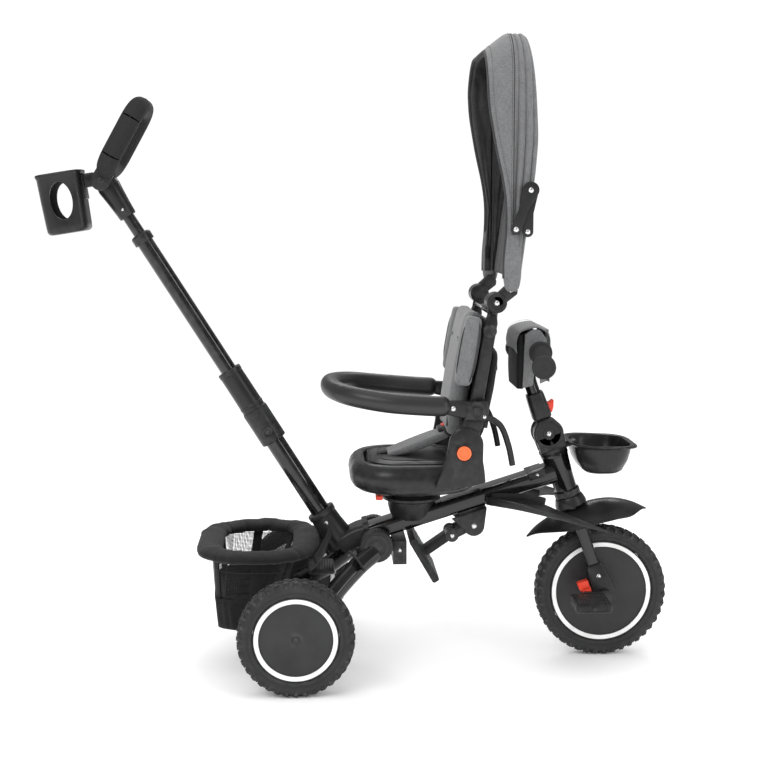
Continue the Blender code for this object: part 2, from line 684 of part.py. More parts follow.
def build_mudguard(parent):
    """A leaf-shaped saddle over the tyre, pointed at both ends."""
    crest = [(-0.140, 0.229), (-0.115, 0.252), (-0.085, 0.271), (-0.052, 0.2845), (-0.015, 0.2965)]
    crest += [(0.020, 0.300), (0.055, 0.294), (0.085, 0.281)]
    half_widths = [0.003, 0.026, 0.043, 0.052, 0.054, 0.047, 0.030, 0.003]
    bm = bmesh.new()
    rows = []
    for (x, z), half in zip(crest, half_widths):
        offsets = [half * step / 3 for step in range(-3, 4)]
        rows.append([bm.verts.new((x, y, z - 6.5 * y * y)) for y in offsets])
    for row, following in zip(rows, rows[1:]):
        for i in range(len(row) - 1):
            bm.faces.new((row[i], row[i + 1], following[i + 1], following[i]))
    bmesh.ops.recalc_face_normals(bm, faces=bm.faces)
    guard = from_bmesh(bm, WORLD)
    wall = guard.modifiers.new("wall", "SOLIDIFY")
    wall.thickness = 0.003
    wall.offset = 0.0
    hole = rod(STEER, STEERER_R + 0.0012, 0.12, 0.22)
    make("mudguard", guard, PLASTIC, cut=[hole], parent=parent)


def build_front_wheel():
    wheel("front_tyre", "front_wheel", frame_at(0, FRONT_WHEEL_R), FRONT_WHEEL_R, CRANK_AXLE_R + RUN)


def build_cranks():
    frame = frame_at(0, FRONT_WHEEL_R)
    parent = pivot("cranks_pivot", frame)
    arm_in, arm_out = FORK_HALF + FORK_END_THICK / 2 + 0.003, FORK_HALF + FORK_END_THICK / 2 + 0.012
    axle = drum(frame, CRANK_AXLE_R, -arm_out + 0.001, arm_out - 0.001)
    pieces = []
    for side in (-1, 1):
        low, high = sorted((side * arm_in, side * arm_out))
        reach = sorted((0, side * CRANK_R))
        pieces.append(drum(frame, 0.0135, low, high))
        pieces.append(block(frame, (reach[0], low, -0.010), (reach[1], high, 0.010)))
        pieces.append(drum(frame, 0.0105, low, high, side * CRANK_R))
        low, high = sorted((side * (arm_out - 0.003), side * (arm_out + PEDAL_WIDE + 0.004)))
        pieces.append(drum(frame, PEDAL_PIN_R, low, high, side * CRANK_R, sides=14))
    make("cranks", axle, STEEL, add=pieces, parent=parent)


def build_pedal(side, name):
    frame = frame_at(0, FRONT_WHEEL_R)
    arm_out = FORK_HALF + FORK_END_THICK / 2 + 0.012
    u = side * CRANK_R
    low, high = sorted((side * (arm_out + 0.002), side * (arm_out + 0.002 + PEDAL_WIDE)))
    half = PEDAL_THICK / 2
    body = block(frame, (u - PEDAL_LONG / 2, low, -half), (u + PEDAL_LONG / 2, high, half), bevel=0.003)
    bore = drum(frame, PEDAL_PIN_R + RUN, -0.2, 0.2, u)
    make(name, body, PLASTIC, cut=[bore], parent=pivot(name + "_pivot", frame, u=u))


def build_stem_base(parent):
    low = HEAD_HIGH + GAP
    base = rod(STEER, 0.0255, low, STEM_HINGE - STEM_HINGE_R + 0.0005, top_radius=0.0260, sides=22)
    cheek_in, cheek_out = TONGUE_HALF + GAP, TONGUE_HALF + CHEEK_THICK
    cheeks = []
    for side in (-1, 1):
        y_low, y_high = sorted((side * cheek_in, side * cheek_out))
        cheeks.append(drum(STEER, STEM_HINGE_R, y_low, y_high, 0, STEM_HINGE, sides=22))
    pin = drum(STEER, STEM_PIN_R, -cheek_out + 0.001, cheek_out - 0.001, 0, STEM_HINGE, sides=14)
    arm = block(STEER, (0.010, -0.012, low + 0.001), (0.046, 0.012, low + 0.009))
    bore = rod(STEER, STEERER_R + GAP, low - 0.02, HEAD_HIGH + 0.006 + GAP)
    make("stem_base", base, PLASTIC, add=[*cheeks, pin, arm], cut=[bore], parent=parent)


def build_front_bin(parent):
    """A small tray in front of the stem, with a lip that rises to the front."""
    def level(half_x, half_y, corner, z, middle=-0.006, rise=0.0):
        points = rounded_ring(middle, half_x, half_y, corner, z)
        return [(x, y, h + rise * (x - middle)) for x, y, h in points]

    rings = [
        level(0.028, 0.052, 0.022, 0.357),
        level(0.036, 0.060, 0.028, 0.363),
        level(0.052, 0.074, 0.036, 0.396, rise=0.06),
        level(0.060, 0.080, 0.040, 0.402, rise=0.10),
        level(0.061, 0.081, 0.040, 0.405, rise=0.10),
        level(0.052, 0.073, 0.035, 0.403, rise=0.10),
        level(0.048, 0.070, 0.033, 0.392, rise=0.06),
        level(0.030, 0.054, 0.022, 0.3605),
    ]
    make("front_bin", loft(WORLD, rings), PLASTIC, parent=parent)


def build_stem():
    parent = pivot("stem_pivot", STEER, t=STEM_HINGE)
    hub = drum(STEER, STEM_HINGE_R - 0.002, -TONGUE_HALF, TONGUE_HALF, 0, STEM_HINGE, sides=22)
    neck = block(STEER, (-0.011, -TONGUE_HALF + 0.0003, STEM_HINGE + 0.010), (0.011, TONGUE_HALF - 0.0003, 0.365))
    housing_low = STEM_HINGE + STEM_HINGE_R + 0.001
    housing = block(STEER, (-0.0175, -0.0185, housing_low), (0.0175, 0.0185, 0.400), bevel=0.005)
    route = [(0, 0, 0.385), (0, 0, 0.425), (0.008, 0, 0.460), (0.030, 0, 0.486)]
    riser = pipe(STEER, route, STEM_TUBE_R)
    bore = drum(STEER, STEM_PIN_R + RUN, -0.05, 0.05, 0, STEM_HINGE, sides=16)
    seat = block(STEER, (0.0158, -0.0088, 0.353), (0.03, 0.0088, 0.377))
    clamp = drum(STEER, 0.0185, -0.024, 0.024, 0.034, 0.4915)
    pieces = [neck, housing, riser, clamp, build_handlebar(parent)]
    make("stem", hub, TUBE_BLACK, add=pieces, cut=[bore, seat], parent=parent)
    lever = block(STEER, (0.0166, -0.0080, 0.355), (0.0265, 0.0080, 0.375), bevel=0.002)
    lever_parent = pivot("stem_lever_pivot", STEER, u=0.0166, t=0.355)
    make("stem_lever", lever, RED, parent=lever_parent)


def build_handlebar(parent):
    """The grips, and the shape of the bar, which sweeps back to them from its clamp."""
    u, t = 0.034, 0.4915
    sweep_u, sweep_t = 0.022, -0.026
    grip_start = BAR_HALF - GRIP_LONG

    def at(y):
        share = max(0.0, (abs(y) - 0.03) / (BAR_HALF - 0.03))
        return (u - sweep_u * share, y, t + sweep_t * share)

    ends = BAR_HALF - 0.004
    route = [at(-ends), at(-0.10), at(-0.03), at(0), at(0.03), at(0.10), at(ends)]
    for side, name in ((1, "left"), (-1, "right")):
        start = Vector(at(side * grip_start))
        run = Vector(at(side * BAR_HALF)) - start
        turn = Vector((0, 0, 1)).rotation_difference(run).to_matrix().to_4x4()
        outline = [
            (GRIP_R - 0.001, run.length),
            (GRIP_R, run.length - 0.003),
            (GRIP_R, run.length - 0.009),
            (0.0175, run.length - 0.012),
            (0.0165, 0.012),
            (GRIP_R, 0.008),
            (GRIP_R, 0.0),
            (BAR_R + 0.0012, 0.0),
            (BAR_R + 0.0012, run.length),
        ]
        grip = turned(STEER, outline, Matrix.Translation(start) @ turn, steps=20)
        make("grip_" + name, grip, RUBBER, parent=parent)
    return pipe(STEER, route, BAR_R, resolution=2)


def build_pouch(parent):
    """A cloth bag that straddles the bar's clamp: two panels joined over the top."""
    rear, front, thick = -0.176, -0.094, 0.019
    top, low = 0.636, 0.515
    outline = [
        (rear + 0.008, low),
        (rear + thick, low),
        (rear + thick, 0.600),
        (rear + thick + 0.004, top - 0.006),
        (front - 0.008, top - 0.006),
        (front - 0.006, low + 0.012),
        (front, low + 0.012),
        (front, top - 0.004),
        (front - 0.006, top),
        (rear + 0.008, top),
        (rear, top - 0.012),
        (rear, 0.560),
    ]
    pouch = plate(WORLD, [outline], 0.140)
    make("pouch", pouch, GREY_CLOTH, parent=parent)


# ---- seat ---------------------------------------------------------------------------------------
def build_seat(parent):
    swivel = frame_at(SWIVEL_X, 0)
    plate_top = SEAT_BOTTOM - GAP
    ring_steps = 28
    top = ring(swivel, SWIVEL_TOP_R, SWIVEL_PIN_R + RUN, SWIVEL_Z, plate_top, steps=ring_steps)
    make("swivel_top", top, PLASTIC, parent=parent)

    middle, half_x = (SEAT_FRONT + SEAT_BACK) / 2, (SEAT_BACK - SEAT_FRONT) / 2
    inside = SEAT_WALL
    rings = [
        rounded_ring(middle, half_x - 0.040, SEAT_HALF - 0.040, 0.045, SEAT_BOTTOM),
        rounded_ring(middle, half_x - 0.012, SEAT_HALF - 0.012, 0.060, SEAT_BOTTOM + 0.016),
        rounded_ring(middle, half_x, SEAT_HALF, 0.070, SEAT_BOTTOM + 0.040),
        rounded_ring(middle, half_x, SEAT_HALF, 0.070, SEAT_RIM - 0.006),
        rounded_ring(middle, half_x - 0.005, SEAT_HALF - 0.005, 0.066, SEAT_RIM),
        rounded_ring(middle, half_x - inside, SEAT_HALF - inside, 0.058, SEAT_RIM),
        rounded_ring(middle, half_x - inside - 0.002, SEAT_HALF - inside - 0.002, 0.056, SEAT_BOTTOM + 0.024),
    ]
    make("seat_shell", loft(WORLD, rings), PLASTIC, parent=parent)

    edge = inside + 0.004
    low = SEAT_BOTTOM + 0.0245
    rings = [
        rounded_ring(middle, half_x - edge - 0.002, SEAT_HALF - edge - 0.002, 0.050, low),
        rounded_ring(middle, half_x - edge, SEAT_HALF - edge, 0.052, low + 0.010),
        rounded_ring(middle, half_x - edge, SEAT_HALF - edge, 0.052, SEAT_RIM - 0.004),
        rounded_ring(middle, half_x - edge - 0.010, SEAT_HALF - edge - 0.010, 0.044, SEAT_RIM + 0.004),
    ]
    make("seat_cushion", loft(WORLD, rings), GREY_CLOTH, parent=parent)

    inner_face = SEAT_HALF + GAP
    outline = [
        (-0.330, 0.352),
        (-0.236, 0.362),
        (-0.248, 0.400),
        *arc(RECLINE_X + 0.004, RECLINE_Z + 0.014, 0.031, 0, 180, 9),
        (-0.310, 0.400),
    ]
    hole = arc(RECLINE_X, RECLINE_Z, RECLINE_BUTTON_R + RUN, 0, 345, 24)
    for side, name in ((1, "left"), (-1, "right")):
        local = Matrix.Translation((0, side * (inner_face + BRACKET_THICK / 2), 0)) @ UPRIGHT_PLANE
        bracket = plate(WORLD, [outline, hole], BRACKET_THICK, local)
        make("seat_bracket_" + name, bracket, PLASTIC, parent=parent)

    lever = block(WORLD, (-0.4290, -0.052, 0.3112), (-0.4155, -0.026, 0.3205), bevel=0.002)
    lever_parent = pivot("seat_lever_pivot", WORLD, u=-0.4155, t=0.3205, y=-0.039)
    make("seat_lever", lever, RED, parent=lever_parent)


def build_recline_button(side, name):
    inner = SEAT_HALF + GAP
    low, high = sorted((side * (inner + 0.008), side * (inner + BRACKET_THICK + 0.004)))
    button = drum(WORLD, RECLINE_BUTTON_R, low, high, RECLINE_X, RECLINE_Z, sides=18)
    parent = pivot(name + "_pivot", WORLD, u=RECLINE_X, t=RECLINE_Z, y=side * (inner + BRACKET_THICK))
    make(name, button, ORANGE, parent=parent)


def build_back(parent):
    """Two uprights, their cross bars, the guard bar sockets and the hood hubs."""
    half = UPRIGHT_HALF
    route = [(RECLINE_X, half, RECLINE_Z), (-0.262, half, 0.465), (-0.250, half, 0.512)]
    route += [(-0.2375, half, 0.585), (-0.2255, half, 0.655), (HOOD_X, half, HOOD_Z)]
    upright = pipe(WORLD, route, UPRIGHT_R, resolution=2)
    boss = drum(WORLD, 0.0120, half - 0.010, SEAT_HALF - GAP, RECLINE_X, RECLINE_Z)
    hub = drum(WORLD, HOOD_HUB_R, half - 0.010, 0.1340, HOOD_X, HOOD_Z)
    socket = block(WORLD, (-0.2745, half + 0.004, 0.472), (-0.2330, 0.1460, 0.508), bevel=0.003)
    tongue = plate(
        WORLD,
        [[(-0.262, 0.485), *arc(GUARD_X, GUARD_Z, 0.013, 250, 110, 8), (-0.262, 0.506)]],
        0.006,
        Matrix.Translation((0, half + 0.0075, 0)) @ UPRIGHT_PLANE,
    )
    pin = drum(WORLD, STEM_PIN_R - 0.001, half + 0.0075, 0.1440, GUARD_X, GUARD_Z, sides=14)
    recess = block(WORLD, (-0.2613, 0.1370, 0.4827), (-0.2487, 0.16, 0.4973))
    bar_low = drum(WORLD, 0.007, -0.002, half, -0.2610, 0.452)
    bar_high = drum(WORLD, 0.008, -0.002, half, HOOD_X - 0.003, 0.664)
    add = [boss, hub, socket, tongue, pin, bar_low, bar_high]
    back = make("back_frame", upright, TUBE_BLACK, add=add, cut=[recess], parent=parent)
    twin = back.modifiers.new("other_side", "MIRROR")
    twin.use_axis = twin.use_bisect_axis = (False, True, False)
    twin.merge_threshold = MERGE

    low, high = -0.080, 0.148
    pad = block(BACK, (-0.044, -0.103, low), (-0.0125, 0.103, high), bevel=0.009)
    bolsters = [
        block(BACK, (-0.048, 0.094, 0.016), (-0.0145, 0.138, 0.140), bevel=0.008),
        block(BACK, (-0.048, -0.138, 0.016), (-0.0145, -0.094, 0.140), bevel=0.008),
    ]
    make("back_cushion", pad, GREY_CLOTH, add=bolsters, parent=parent)

    outline = [(0.0125, 0.104), (0.0125, -0.104), (0.020, -0.098), (0.036, -0.045), (0.036, 0.045), (0.020, 0.098)]
    bag = plate(BACK, [outline], 0.165, Matrix.Translation((0, 0, 0.0045)))
    make("back_bag", bag, BLACK_CLOTH, parent=parent)


def build_guard_bar():
    parent = pivot("guard_bar_pivot", WORLD, u=GUARD_X, t=GUARD_Z)
    route = [
        (GUARD_X - 0.002, 0.137, GUARD_Z),
        (-0.345, 0.139, GUARD_Z + 0.002),
        (-0.410, 0.139, 0.505),
        (-0.470, 0.113, 0.513),
        (-0.503, 0.060, 0.518),
        (-0.511, 0.0, 0.520),
    ]
    whole = route + [(x, -y, z) for x, y, z in reversed(route[:-1])]
    bar = pipe(WORLD, whole, GUARD_R, resolution=2)
    inner, outer = UPRIGHT_HALF + 0.0109, 0.1465
    bosses, bores = [], []
    for side in (-1, 1):
        low, high = sorted((side * inner, side * outer))
        bosses.append(drum(WORLD, 0.0175, low, high, GUARD_X, GUARD_Z))
        low, high = sorted((side * (inner - 0.03), side * 0.1445))
        bores.append(drum(WORLD, STEM_PIN_R - 0.001 + RUN, low, high, GUARD_X, GUARD_Z, sides=16))
    trim = []
    for side in (-1, 1):
        low, high = sorted((side * (inner - 0.03), side * inner))
        trim.append(block(WORLD, (-0.33, low, 0.46), (-0.26, high, 0.54)))
    make("guard_bar", bar, LEATHER, add=bosses, cut=bores + trim, parent=parent)


def build_guard_button(side, name):
    low, high = sorted((side * 0.1400, side * 0.1490))
    button = block(WORLD, (-0.2605, low, 0.4835), (-0.2495, high, 0.4965), bevel=0.001)
    parent = pivot(name + "_pivot", WORLD, u=-0.255, t=0.490, y=side * 0.1460)
    make(name, button, PLASTIC_GREY, parent=parent)


# ---- hood ---------------------------------------------------------------------------------------
def arch(half, top, low, wall):
    """The hood seen from the front: straight sides and a rounded top, of one wall thickness."""
    corner = 0.085

    def line(side, height, radius):
        right = arc(side - radius, height - radius, radius, 0, 90, 6)
        left = arc(radius - side, height - radius, radius, 90, 180, 6)
        return right + left

    outer = [(half, low), *line(half, top, corner), (-half, low)]
    if not wall:
        return outer
    inner = [(half - wall, low), *line(half - wall, top - wall, corner - wall), (wall - half, low)]
    return outer + inner[::-1]


def across(frame, outline, x_low, x_high):
    """An outline in Y and Z, drawn through from x_low to x_high."""
    local = Matrix.Translation(((x_low + x_high) / 2, 0, 0)) @ Matrix.Rotation(pi / 2, 4, "Z") @ UPRIGHT_PLANE
    return plate(frame, [outline], x_high - x_low, local)


def raised(outline):
    """A side outline drawn for a 1.150 top, stretched from the hood's foot to HOOD_TOP."""
    stretch = (HOOD_TOP - HOOD_FOOT) / (DRAWN_TOP - HOOD_FOOT)
    return [(x, HOOD_FOOT + (z - HOOD_FOOT) * stretch) for x, z in outline]


def build_hood(tilt_parent):
    rear_side = [
        (HOOD_SEAM_X + 0.0005, 0.728),
        (-0.181, 0.722),
        (-0.175, 0.770),
        (-0.1675, 0.830),
        (-0.157, 0.900),
        (-0.152, 0.965),
        (-0.156, 1.040),
        (-0.163, 1.110),
        (-0.168, 1.150),
        (HOOD_SEAM_X + 0.0005, 1.152),
    ]
    rear = plate(WORLD, [raised(rear_side)], 2 * HOOD_HALF + 0.02)
    outer = across(WORLD, arch(HOOD_HALF, HOOD_TOP, 0.70, 0), -0.26, -0.12)
    inner = across(WORLD, arch(HOOD_HALF - HOOD_WALL, HOOD_TOP - HOOD_WALL, 0.60, 0), -0.26, -0.1780)
    boolean(rear, outer, "INTERSECT")
    channel = hood_bow(BOW_R + 0.0012)
    make("hood_rear", rear, GREY_CLOTH, cut=[inner, channel], parent=tilt_parent)

    front_side = [
        (HOOD_SEAM_X - 0.0005, 1.152),
        (-0.222, 1.148),
        (-0.2370, 1.118),
        (-0.2410, 1.080),
        (-0.2385, 1.020),
        (-0.2260, 0.950),
        (-0.2080, 0.870),
        (-0.2070, 0.800),
        (-0.2130, 0.745),
        (HOOD_SEAM_X - 0.0005, 0.735),
    ]
    front_parent = pivot("hood_front_pivot", WORLD, u=BOW_X, t=BOW_Z)
    front = plate(WORLD, [raised(front_side)], 2 * HOOD_HALF + 0.02)
    band = across(WORLD, arch(HOOD_HALF, HOOD_TOP, 0.70, HOOD_WALL), -0.26, -0.12)
    boolean(front, band, "INTERSECT")
    make("hood_front", front, GREY_CLOTH, parent=front_parent)

    hub_in, hub_out = 0.1345, 0.1500
    outline = [
        (HOOD_X + 0.004, HOOD_Z - 0.009),
        (BOW_X + 0.012, BOW_Z - 0.008),
        (BOW_X + 0.012, BOW_Z + 0.0125),
        (BOW_X - 0.006, BOW_Z + 0.0125),
        (HOOD_X - 0.008, HOOD_Z + 0.010),
    ]
    pieces = []
    for side in (-1, 1):
        low, high = sorted((side * hub_in, side * hub_out))
        pieces.append(drum(WORLD, HOOD_HUB_R, low, high, HOOD_X, HOOD_Z, sides=18))
        local = Matrix.Translation((0, side * 0.1440, 0)) @ UPRIGHT_PLANE
        pieces.append(plate(WORLD, [outline], 0.010, local))
    make("hood_arms", hood_bow(BOW_R), PLASTIC, add=pieces, parent=tilt_parent)


def hood_bow(radius):
    """The rear bow: a flat wire arch from one arm over the top to the other."""
    side, top = HOOD_HALF - HOOD_WALL / 2, HOOD_TOP - HOOD_WALL / 2
    corner = 0.085 - HOOD_WALL / 2
    half = [(-0.1885, side, 0.700), (-0.1870, side, 0.760), (-0.1830, side, 0.900), (-0.1800, side, top - corner)]
    bend = [(-0.1800, y, z) for y, z in arc(side - corner, top - corner, corner, 22, 90, 4)]
    points = half + bend + [(x, -y, z) for x, y, z in reversed(half + bend)]
    return pipe(WORLD, points, radius, resolution=2, sides=1)


STRUT_LOW = (-0.171, 0.805)
STRUT_HUB = (-0.167, 0.876)
STRUT_FRONT = (-0.192, 0.809)


def strut(name, start, end, y_low, y_high, hub_r, end_r):
    """A link between two rivets, with a round eye at each."""
    along = Vector((end[0] - start[0], 0, end[1] - start[1]))
    angle = Vector((0, 0, 1)).rotation_difference(along).to_matrix().to_4x4()
    frame = frame_at(*start) @ angle
    parent = pivot(name + "_pivot", WORLD, u=start[0], t=start[1])
    for side, side_name in ((1, "_left"), (-1, "_right")):
        low, high = sorted((side * y_low, side * y_high))
        link = block(frame, (-0.0072, low, 0), (0.0072, high, along.length))
        eyes = [drum(frame, end_r, low, high, 0, 0), drum(frame, hub_r, low, high, 0, along.length)]
        make(name + side_name, link, PLASTIC, add=eyes, parent=parent)


def build_struts():
    strut("strut_lower", STRUT_LOW, STRUT_HUB, 0.1600, 0.1650, 0.0145, 0.0095)
    strut("strut_upper", STRUT_HUB, STRUT_FRONT, 0.1655, 0.1700, 0.0095, 0.0145)


# ---- flip-out footrest --------------------------------------------------------------------------
def build_flip_footrest():
    arm_parent = pivot("flip_arm_pivot", WORLD, u=FOOT_X, t=FOOT_Z)
    knuckle = drum(WORLD, 0.0125, -0.0275, 0.0275, FOOT_X, FOOT_Z)
    run = Vector((ELBOW_X - FOOT_X, 0, ELBOW_Z - FOOT_Z))
    angle = Vector((0, 0, 1)).rotation_difference(run).to_matrix().to_4x4()
    frame = frame_at(FOOT_X, FOOT_Z) @ angle
    bars = [block(frame, (-0.008, y, 0), (0.008, y + 0.010, run.length)) for y in (-0.0275, 0.0175)]
    eyes = [drum(WORLD, 0.0125, y, y + 0.010, ELBOW_X, ELBOW_Z) for y in (-0.0275, 0.0175)]
    pin = drum(WORLD, STEM_PIN_R, -0.020, 0.020, ELBOW_X, ELBOW_Z, sides=14)
    bore = drum(WORLD, STEM_PIN_R + RUN, -0.05, 0.05, FOOT_X, FOOT_Z)
    make("flip_arm", knuckle, PLASTIC_GREY, add=[*bars, *eyes, pin], cut=[bore], parent=arm_parent)

    plate_parent = pivot("flip_plate_pivot", WORLD, u=ELBOW_X, t=ELBOW_Z)
    knuckle = drum(WORLD, 0.0115, -0.0165, 0.0165, ELBOW_X, ELBOW_Z)
    tread_frame = frame_at(-0.340, 0.201, radians(-30))
    tread = block(tread_frame, (-0.007, -0.072, -0.046), (0.007, 0.072, 0.046), bevel=0.004)
    reach = Vector((-0.338 - ELBOW_X, 0, 0.2015 - ELBOW_Z))
    angle = Vector((0, 0, 1)).rotation_difference(reach).to_matrix().to_4x4()
    stalk = block(frame_at(ELBOW_X, ELBOW_Z) @ angle, (-0.008, -0.0155, 0), (0.008, 0.0155, reach.length))
    bore = drum(WORLD, STEM_PIN_R + RUN, -0.05, 0.05, ELBOW_X, ELBOW_Z)
    make("flip_plate", tread, PLASTIC, add=[stalk, knuckle], cut=[bore], parent=plate_parent)


# ---- everything ---------------------------------------------------------------------------------
def build_tricycle():
    build_main_frame()
    build_footrest_wings()
    build_swivel_base()
    build_knuckle()
    build_beam_bracket()
    build_flip_footrest()

    fold = pivot("rear_fold_pivot", WORLD, u=FOLD_X, t=FOLD_Z)
    build_rear_frame(fold)
    build_rear_axle(fold)
    build_brake()
    for side, name in ((1, "left"), (-1, "right")):
        y = side * REAR_TRACK / 2
        wheel("rear_tyre_" + name, "rear_wheel_" + name, REAR, REAR_WHEEL_R, AXLE_R + RUN, y)
    build_basket()

    build_pole()
    build_push_grip()
    build_cup_holder()

    steering = pivot("steering_pivot", STEER, t=HEAD_LOW)
    build_fork(steering)
    build_mudguard(steering)
    build_stem_base(steering)
    build_front_bin(steering)
    build_front_wheel()
    build_cranks()
    for side, name in ((1, "left"), (-1, "right")):
        build_clutch(side, "clutch_button_" + name)
        build_pedal(side, "pedal_" + name)
    build_stem()
    build_pouch(bpy.data.objects["stem_pivot"])

    build_seat(pivot("seat_swivel_pivot", WORLD, u=SWIVEL_X, t=SWIVEL_Z))
    build_back(pivot("recline_pivot", WORLD, u=RECLINE_X, t=RECLINE_Z))
    build_guard_bar()
    for side, name in ((1, "left"), (-1, "right")):
        build_recline_button(side, "recline_button_" + name)
        build_guard_button(side, "guard_button_" + name)
    build_hood(pivot("hood_tilt_pivot", WORLD, u=HOOD_X, t=HOOD_Z))
    build_struts()


build_tricycle()
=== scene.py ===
"""Visual model of a children's push tricycle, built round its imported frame.

Sizes are metres, +X the riding direction, +Y the rider's left, +Z up. Lengths along x are counted
from the front axle unless a frame is named. Each sub-assembly is a class that holds its sizes,
builds its pieces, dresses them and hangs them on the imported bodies.
"""

import json
import logging
from collections.abc import Callable, Sequence
from dataclasses import dataclass
from enum import Enum
from math import cos, pi, radians, sin

import bmesh
import bpy
from mathutils import Matrix, Vector, noise


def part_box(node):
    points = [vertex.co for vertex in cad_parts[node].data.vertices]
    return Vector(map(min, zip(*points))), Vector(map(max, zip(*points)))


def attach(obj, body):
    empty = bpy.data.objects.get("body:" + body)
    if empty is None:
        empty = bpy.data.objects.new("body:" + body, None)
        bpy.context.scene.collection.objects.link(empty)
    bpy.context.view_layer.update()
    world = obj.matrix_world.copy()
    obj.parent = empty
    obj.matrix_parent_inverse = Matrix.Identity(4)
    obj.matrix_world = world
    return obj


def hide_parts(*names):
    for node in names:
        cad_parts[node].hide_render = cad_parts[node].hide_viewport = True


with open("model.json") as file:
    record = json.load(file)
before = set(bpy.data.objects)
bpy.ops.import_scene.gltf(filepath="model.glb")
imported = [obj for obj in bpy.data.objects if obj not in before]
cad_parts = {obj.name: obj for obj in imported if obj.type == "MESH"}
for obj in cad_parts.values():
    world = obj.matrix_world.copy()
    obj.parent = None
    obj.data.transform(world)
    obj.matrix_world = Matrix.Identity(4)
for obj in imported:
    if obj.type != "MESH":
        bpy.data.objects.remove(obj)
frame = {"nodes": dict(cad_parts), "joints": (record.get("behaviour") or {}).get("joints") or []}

LOG = logging.getLogger("tricycle")
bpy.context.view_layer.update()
JOINT = {joint["name"]: joint for joint in frame["joints"]}
X0 = JOINT["front_wheel_spin"]["pos_m"][0]
AXLE_Z = JOINT["front_wheel_spin"]["pos_m"][2]
ALONG_Y = Matrix.Rotation(-pi / 2, 4, "X")
LEAN = radians(19.1)  # the steering axis leans back
RISE = radians(17.6)  # the main beam rises to the front
Pair = tuple[float, float]
Triple = tuple[float, float, float]


class Side(Enum):
    """The rider's two sides, with the sign of y."""

    LEFT = 1
    RIGHT = -1

    @property
    def word(self) -> str:
        """The side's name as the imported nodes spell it."""
        return self.name.lower()


class Edge(Enum):
    """How round a moulded or pressed edge is, in metres."""

    CRISP = 0.0006
    SOFT = 0.0012
    ROUND = 0.0025
    FULL = 0.0045


# ---- places -------------------------------------------------------------------------------------
def spot(x: float, y: float, z: float) -> Vector:
    """A point, with x counted from the front axle."""
    return Vector((X0 + x, y, z))


def place(x: float, z: float, tilt: float = 0.0, y: float = 0.0) -> Matrix:
    """A frame at a point, turned about +Y.

    Args:
        x: distance from the front axle.
        z: height over the floor.
        tilt: turn about +Y, in radians.
        y: distance from the centre plane.

    Returns:
        The frame's matrix.
    """
    return Matrix.Translation((X0 + x, y, z)) @ Matrix.Rotation(tilt, 4, "Y")


def joint_spot(name: str) -> Vector:
    """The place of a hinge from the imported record."""
    return Vector(JOINT[name]["pos_m"])


def span(side: Side, inner: float, outer: float) -> Pair:
    """Two distances from the centre plane as y values in rising order, on one side."""
    low, high = sorted((side.value * inner, side.value * outer))
    return low, high


GROUND = place(0, 0)
STEER = place(0, AXLE_Z, -LEAN)
HEAD = STEER @ Vector((0, 0, 0.245))
BEAM = Matrix.Translation(HEAD) @ Matrix.Rotation(-RISE, 4, "Y")
POLE = place(-0.531, 0.2835, -radians(32.2))
GRIP = place(-0.9195, 0.894, radians(29.2))
CUP = place(-0.979, 0.8, -radians(9))
BACK = place(-0.25, 0.512, radians(9.7))


# ---- node helpers -------------------------------------------------------------------------------
def node(tree: bpy.types.NodeTree, kind: str, feeds: dict | None = None, **settings) -> bpy.types.Node:
    """Adds a node, sets it and feeds its inputs.

    Args:
        tree: the tree it goes into.
        kind: Blender's name for the node.
        feeds: input name or number to a value or to the socket that feeds it.
        settings: the node's own properties.

    Returns:
        The node.
    """
    made = tree.nodes.new(kind)
    for key, value in settings.items():
        setattr(made, key, value)
    for key, value in (feeds or {}).items():
        if isinstance(value, bpy.types.NodeSocket):
            tree.links.new(value, made.inputs[key])
        else:
            made.inputs[key].default_value = value
    return made


def calc(tree: bpy.types.NodeTree, operation: str, *values) -> bpy.types.NodeSocket:
    """One step of arithmetic on values or sockets.

    Args:
        tree: the tree it goes into.
        operation: the Math node's operation.
        values: one to three numbers or sockets.

    Returns:
        The result's socket.
    """
    kind = "ShaderNodeMath"
    return node(tree, kind, dict(enumerate(values)), operation=operation).outputs[0]


def spread(tree: bpy.types.NodeTree, value, low: float, high: float, to_low=0.0, to_high=1.0):
    """Maps a value from one range onto another, clamped.

    Args:
        tree: the tree it goes into.
        value: the socket that is mapped.
        low: start of the input range.
        high: end of the input range.
        to_low: start of the output range.
        to_high: end of the output range.

    Returns:
        The result's socket.
    """
    feeds = {"Value": value, "From Min": low, "From Max": high, "To Min": to_low, "To Max": to_high}
    return node(tree, "ShaderNodeMapRange", feeds, clamp=True).outputs["Result"]


